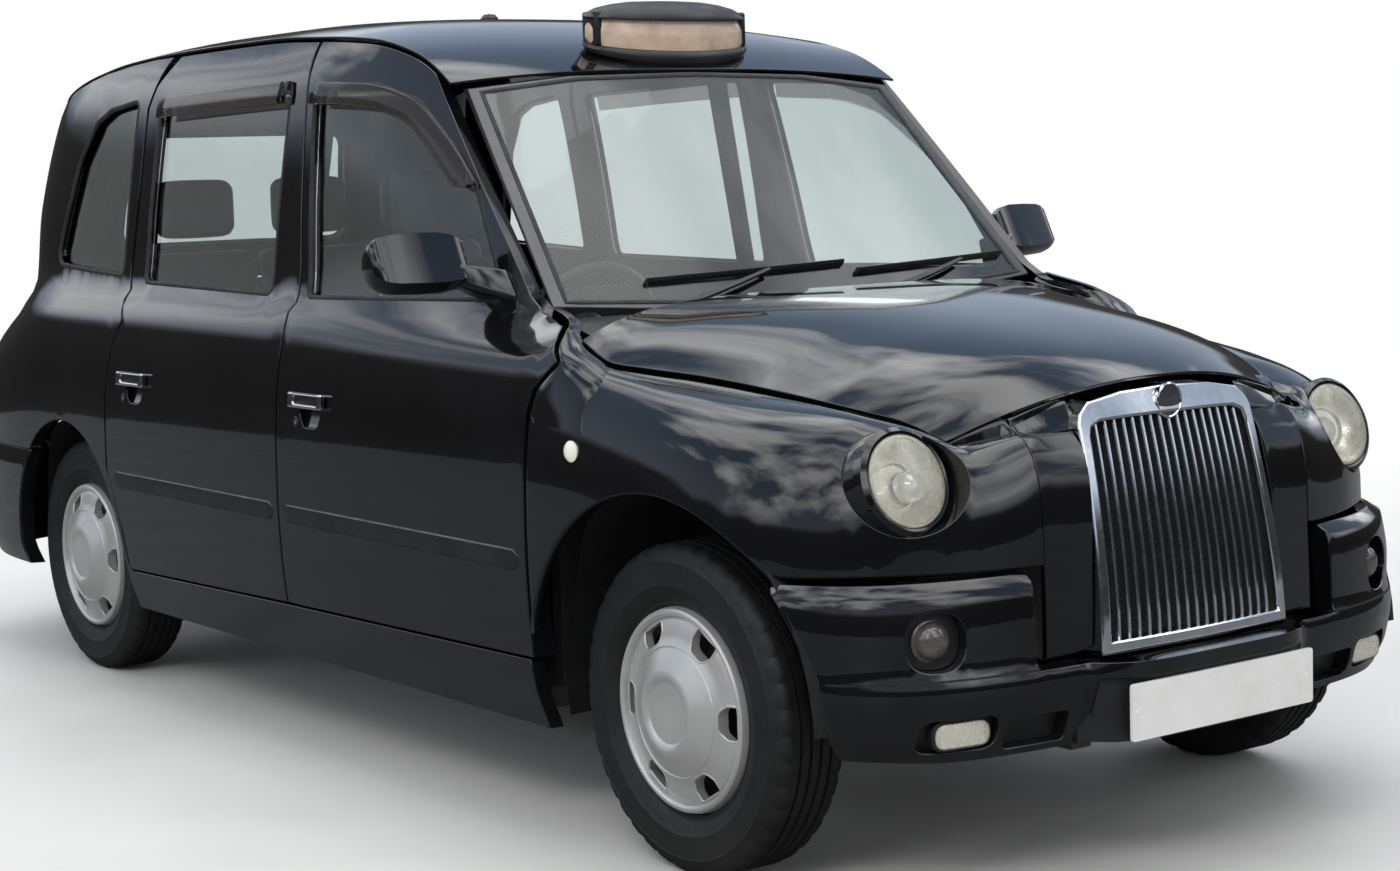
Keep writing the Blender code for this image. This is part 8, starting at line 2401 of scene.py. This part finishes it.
def dress_seats():
    start = FRONT_AXLE_Y + SEAT_FRONT
    low_x, high_x = -SEAT_X - SEAT_WIDTH / 2, -SEAT_X + SEAT_WIDTH / 2
    top = SEAT_BASE_Z + CUSHION_HEIGHT
    rear = start + SEAT_LENGTH
    lean = BACK_LEAN / (BACK_TOP_Z - SEAT_BASE_Z)
    body = BODY_OF["driver_seat"]
    put(soft_shape("driver_cushion", "seat_dark", (low_x + 0.008, start + 0.010, SEAT_BASE_Z + 0.010),
                   (high_x - 0.008, rear + 0.030, top - 0.006), 0.030), body, "driver_seat")
    put(soft_shape("driver_back", "seat_dark", (low_x + 0.010, rear - 0.010, SEAT_BASE_Z + 0.030),
                   (high_x - 0.010, rear + BACK_THICKNESS - 0.020, BACK_TOP_Z - 0.010), 0.036, lean),
        body)
    rest_y = rear + BACK_LEAN
    put(soft_shape("driver_headrest", "seat_dark",
                   (-SEAT_X - HEADREST_HALF + 0.006, rest_y + SKIN, HEADREST_LOW_Z),
                   (-SEAT_X + HEADREST_HALF - 0.006, rest_y + BACK_THICKNESS - 0.014,
                    HEADREST_HIGH_Z - 0.012),
                   0.034, 0.0, 0.010), body)
    put(soft_box("driver_pedestal", "cabin_grey", (low_x + SKIN * 4, start + SKIN * 3, FLOOR_Z + SEAT_GAP),
                 (high_x - SKIN * 4, start + SEAT_LENGTH - SKIN * 3, SEAT_BASE_Z + SKIN), 0.012), body)
    posts = []
    for offset in (-HEADREST_HALF / 2, HEADREST_HALF / 2):
        turn = turned(-pi / 2, "Y", (-SEAT_X + offset, rest_y + BACK_THICKNESS / 2, BACK_TOP_Z - 0.050))
        posts.append(spun("post", "chrome", [(0.006, 0.0), (0.006, 0.090)], 16, turn))
    put(joined("driver_headrest_posts", posts), body)
    for side, side_name in SIDES:
        x = -SEAT_X + side * (SEAT_WIDTH / 2 - 0.030)
        route = [Vector((x, rear - 0.008 + lean * (z - SEAT_BASE_Z), z))
                 for z in (SEAT_BASE_Z + 0.18 + 0.045 * i for i in range(10))]
        put(sweep("driver_piping_" + side_name, "piping", route, [Vector((0, -1, 0))] * 10,
                  oval(0.004, 0.004, 8)), body)
    start = FRONT_AXLE_Y + REAR_SEAT_FRONT
    rear = start + REAR_SEAT_LENGTH
    top = REAR_SEAT_BASE_Z + CUSHION_HEIGHT
    lean = BACK_LEAN / (BACK_TOP_Z - REAR_SEAT_BASE_Z)
    third = REAR_SEAT_HALF * 2 / 3
    rest_y = rear + BACK_LEAN
    for index in range(3):
        x0, x1 = -REAR_SEAT_HALF + third * index, -REAR_SEAT_HALF + third * (index + 1)
        item = soft_shape("bench_cushion_%d" % index, "seat_dark",
                          (x0 + 0.004, start + 0.010, REAR_SEAT_BASE_Z + 0.010),
                          (x1 - 0.004, rear + 0.030, top - 0.006), 0.030)
        put(item, "body", *([] if index else ["rear_seat"]))
        put(soft_shape("bench_back_%d" % index, "seat_dark",
                       (x0 + 0.004, rear - 0.010, REAR_SEAT_BASE_Z + 0.040),
                       (x1 - 0.004, rear + BACK_THICKNESS - 0.020, BACK_TOP_Z), 0.036, lean), "body")
        middle = REAR_SEAT_HALF * 0.64 * (index - 1)
        put(soft_shape("bench_headrest_%d" % index, "seat_dark",
                       (middle - HEADREST_HALF + 0.006, rest_y + SKIN, HEADREST_LOW_Z),
                       (middle + HEADREST_HALF - 0.006, rest_y + BACK_THICKNESS * 0.9 - 0.014,
                        HEADREST_HIGH_Z - 0.024), 0.034, 0.0, 0.010), "body")
    put(soft_box("bench_plinth", "cabin_grey",
                 (-REAR_SEAT_HALF + SKIN * 4, start + HEEL_THICKNESS * 4, REAR_FLOOR_Z + SEAT_GAP),
                 (REAR_SEAT_HALF - SKIN * 4, rear - SKIN * 2, REAR_SEAT_BASE_Z + SKIN), 0.010), "body")


def dress_dash():
    """Binnacle, vents, a radio and a round steering wheel over the plain dashboard."""
    axle = FRONT_AXLE_Y
    front, rear = axle + DASH_FRONT, axle + DASH_REAR
    profile = rounded([(front, DASH_TOP_Z - SKIN), (front + GAP, DASH_LOW_Z), (rear - GAP * 4, DASH_LOW_Z),
                       (rear - 0.010, DASH_LOW_Z + CUSHION_HEIGHT), (rear - SKIN, DASH_TOP_Z - 0.060),
                       (rear - 0.060, DASH_TOP_Z - 0.004)], (0.012, 0.012, 0.030, 0.030, 0.030, 0.030), 6)
    put(prism("dash_body", "cabin_grey", profile, 0, -DASH_HALF, DASH_HALF), "body")
    hood = []
    for step in range(17):
        angle = pi * step / 16
        hood.append((-WHEEL_X + 0.165 * cos(angle), DASH_TOP_Z - 0.070 + 0.068 * sin(angle) ** 0.7))
    hood += [(-WHEEL_X - 0.165, DASH_TOP_Z - 0.130), (-WHEEL_X + 0.165, DASH_TOP_Z - 0.130)]
    put(prism("binnacle", "plastic_black", hood, 1, rear - 0.12, rear - 0.002), "body")
    items = []
    for x in (-0.600, -0.090, 0.090, 0.600):
        turn = turned(pi / 2, "Z", (x, rear - 0.020, DASH_TOP_Z - 0.110))
        items.append(spun("vent", "plastic_black",
                          [(0.036, 0.0), (0.036, 0.018), (0.032, 0.018), (0.030, 0.008),
                                                    (0, 0.008)], 32, turn))
    items.append(soft_box("radio", "plastic_black", (-0.090, rear - 0.030, DASH_LOW_Z + 0.100),
                          (0.090, rear - 0.002, DASH_LOW_Z + 0.170), 0.004))
    put(joined("dash_vents", items), "body")
    turn = turned(WHEEL_TILT, "X", (-WHEEL_X, axle + WHEEL_PLACE, WHEEL_Z))
    route = [turn @ Vector((x, 0, z)) for x, z in oval(WHEEL_RIM_RADIUS, WHEEL_RIM_RADIUS, 72)]
    ups = [(turn.to_3x3() @ Vector((0, 1, 0))).normalized()] * 72
    rim = sweep("rim", "plastic_black", route, ups, oval(WHEEL_TUBE, WHEEL_TUBE, 12), True)
    profile = [(0, -0.050), (0.050, -0.050), (0.062, -0.010), (0.070, 0.004), (0.050, 0.014), (0, 0.016)]
    boss = spun("boss", "plastic_black", profile, 40, turn @ Matrix.Rotation(pi / 2, 4, "Z"), radians(40))
    items = [rim, boss]
    for angle in (0.12, pi - 0.12, -pi / 2):
        reach = Vector((cos(angle), 0, sin(angle))) * (WHEEL_RIM_RADIUS - 0.004)
        route = [turn @ (reach * (i / 6)) for i in range(7)]
        items.append(sweep("spoke", "plastic_black", route, [ups[0]] * 7,
                           [(-0.020, -0.004), (-0.016, 0.006), (0.016, 0.006), (0.020, -0.004)]))
    put(joined("steering_wheel", items), "body", "dashboard")


def dress_cad():
    """Every CAD node that still shows gets a procedural finish."""
    for name, item in frame["nodes"].items():
        for place in item.material_slots:
            base = place.material.name.split(".")[0] if place.material else ""
            known = [key for key in list(LOOKS) + list(CLEAR) if key in base]
            key = max(known, key=len) if known else "plastic_black"
            place.link = "OBJECT"
            place.material = finish("underbody" if name == "floor_pan" else key)


def seen_straight(tree, rays):
    """1 for what the camera sees, also through glass."""
    return worked(tree, "MAXIMUM", rays.outputs["Is Camera Ray"], rays.outputs["Is Transmission Ray"])


# The stage. Distances in metres from the car's middle.
FLOOR_RADIUS = 14.0
FADE_START = 2.6
FADE_END = 5.6
# Dark grey that the floor shows only to glossy rays: a painted reflection in the car's paint.
PAINTED_FLOOR_REFLECTION = (0.09, 0.09, 0.088)
# The sky, from straight down at 0 to straight up at 1.
SKY_BOTTOM = (0.10, 0.105, 0.11)
SKY_TOP = (0.30, 0.42, 0.60)
SKY_STOPS = ((0.50, (0.04, 0.038, 0.036)), (0.575, (0.06, 0.058, 0.056)), (0.600, (0.46, 0.54, 0.66)),
             (0.78, (0.30, 0.40, 0.56)))
CLOUD = (3.0, 3.0, 3.0)
SOFT_LIGHT = (0.72, 0.73, 0.74)
# Columns: name, place, aim, width, depth, power in watts, colour.
LAMPS = (
    ("key", (-5.5, -5.0, 5.2), (0, 0, 0.6), 4.5, 1.6, 170, (1.0, 0.99, 0.97)),
    ("side", (-7.0, 1.5, 2.6), (0, 0.2, 0.8), 6.0, 0.5, 50, (0.86, 0.92, 1.0)),
    ("top", (0.0, 0.0, 6.0), (0, 0, 0), 3.0, 6.0, 150, (1.0, 1.0, 1.0)),
    ("far", (6.0, 3.0, 4.0), (0, 0, 0.8), 5.0, 2.0, 100, (1.0, 1.0, 1.0)),
)
# The photo's camera: place, axes of its view, lens and sensor in millimetres, shift.
CAMERA_PLACE = (-3.7003, -5.5644, 1.423)
CAMERA_RIGHT = (0.80441, -0.59329, -0.03053)
CAMERA_UP = (0.08609, 0.06556, 0.99413)
CAMERA_BACK = (-0.58781, -0.80231, 0.10381)
CAMERA_LENS = 64.66
CAMERA_SENSOR = 36.0
CAMERA_SHIFT = (0.0138, -0.0093)


def faded_floor():
    """A pale floor that fades to the white of the background away from the car."""
    made = finish("floor").copy()
    tree = made.node_tree
    shader = tree.nodes["Principled BSDF"]
    out = next(n for n in tree.nodes if n.type == "OUTPUT_MATERIAL")
    spot = next(n for n in tree.nodes if n.type == "TEX_COORD").outputs["Object"]
    length = tree.nodes.new("ShaderNodeVectorMath")
    length.operation = "LENGTH"
    tree.links.new(spot, length.inputs[0])
    far = ranged(tree, length.outputs["Value"], 0.0, 1.0, FADE_START, FADE_END)
    glow = tree.nodes.new("ShaderNodeEmission")
    rays = tree.nodes.new("ShaderNodeLightPath")
    source = shader.inputs["Base Color"].links[0].from_socket
    # Glossy rays see the floor dark grey instead of pale: a painted reflection on the car.
    tree.links.new(blended(tree, rays.outputs["Is Glossy Ray"], source, PAINTED_FLOOR_REFLECTION),
                   shader.inputs["Base Color"])
    share = worked(tree, "MULTIPLY", seen_straight(tree, rays), far)
    tree.links.new(mixed(tree, share, shader.outputs[0], glow.outputs[0]), out.inputs["Surface"])
    return made


def make_sky(world):
    """White behind the car; a soft light for its surfaces, and sky with clouds in its reflections."""
    world.use_nodes = True
    tree = world.node_tree
    tree.nodes.clear()
    out = tree.nodes.new("ShaderNodeOutputWorld")
    rays = tree.nodes.new("ShaderNodeLightPath")
    direction = tree.nodes.new("ShaderNodeTexCoord").outputs["Generated"]
    rise = height_in(tree, direction)
    sky = tree.nodes.new("ShaderNodeValToRGB")
    sky.color_ramp.elements[0].color = (*SKY_BOTTOM, 1.0)
    sky.color_ramp.elements[1].color = (*SKY_TOP, 1.0)
    for place, colour in SKY_STOPS:
        sky.color_ramp.elements.new(place).color = (*colour, 1.0)
    tree.links.new(ranged(tree, rise, 0.0, 1.0, -1.0, 1.0), sky.inputs["Fac"])
    cover = worked(tree, "ADD", noise(tree, direction, 2.6, 7.0), ranged(tree, rise, 0.0, 0.12, 0.45, 0.85))
    share = worked(tree, "MULTIPLY", ranged(tree, cover, 0.0, 1.0, 0.50, 0.66),
                   ranged(tree, rise, 0.0, 1.0, 0.17, 0.34))
    clouded = blended(tree, share, sky.outputs["Color"], CLOUD)
    soft = tree.nodes.new("ShaderNodeBackground")
    tree.links.new(blended(tree, rays.outputs["Is Glossy Ray"], SOFT_LIGHT, clouded), soft.inputs["Color"])
    white = tree.nodes.new("ShaderNodeBackground")
    white.inputs["Color"].default_value = (1.0, 1.0, 1.0, 1.0)
    tree.links.new(mixed(tree, seen_straight(tree, rays), soft.outputs[0], white.outputs[0]),
                   out.inputs["Surface"])


def dress_stage():
    """Plain pale floor, soft lamps, white background and the camera of the photo."""
    scene = bpy.context.scene
    ring = [(x, y, 0.0) for x, y in oval(FLOOR_RADIUS, FLOOR_RADIUS, 96)]
    floor = link_mesh("floor", ring, [tuple(range(96))], "floor")
    floor.data.materials[0] = faded_floor()
    scene.world = bpy.data.worlds.new("studio")
    make_sky(scene.world)
    for name, place, aim, wide, deep, power, colour in LAMPS:
        data = bpy.data.lights.new(name, "AREA")
        data.shape = "RECTANGLE"
        data.size = wide
        data.size_y = deep
        data.energy = power
        data.color = colour
        lamp = bpy.data.objects.new(name, data)
        lamp.location = place
        lamp.rotation_euler = (Vector(aim) - Vector(place)).to_track_quat("-Z", "Y").to_euler()
        scene.collection.objects.link(lamp)
        lamp.visible_glossy = False
    data = bpy.data.cameras.new("camera")
    data.lens = CAMERA_LENS
    data.sensor_width = CAMERA_SENSOR
    data.shift_x, data.shift_y = CAMERA_SHIFT
    data.clip_end = 300.0
    camera = bpy.data.objects.new("camera", data)
    turn = Matrix((CAMERA_RIGHT, CAMERA_UP, CAMERA_BACK)).transposed().to_4x4()
    turn.translation = Vector(CAMERA_PLACE)
    camera.matrix_world = turn
    scene.collection.objects.link(camera)
    scene.camera = camera
    scene.view_settings.view_transform = "Standard"


dress_doors()
dress_deflectors()
dress_roof()
dress_side_frames()
dress_front()
dress_grille()
dress_bumper()
dress_screen()
dress_tail()
dress_boot()
dress_rear_bumper()
dress_wheels()
dress_sign()
dress_mirrors()
dress_dash()
dress_seats()
dress_cad()
dress_stage()
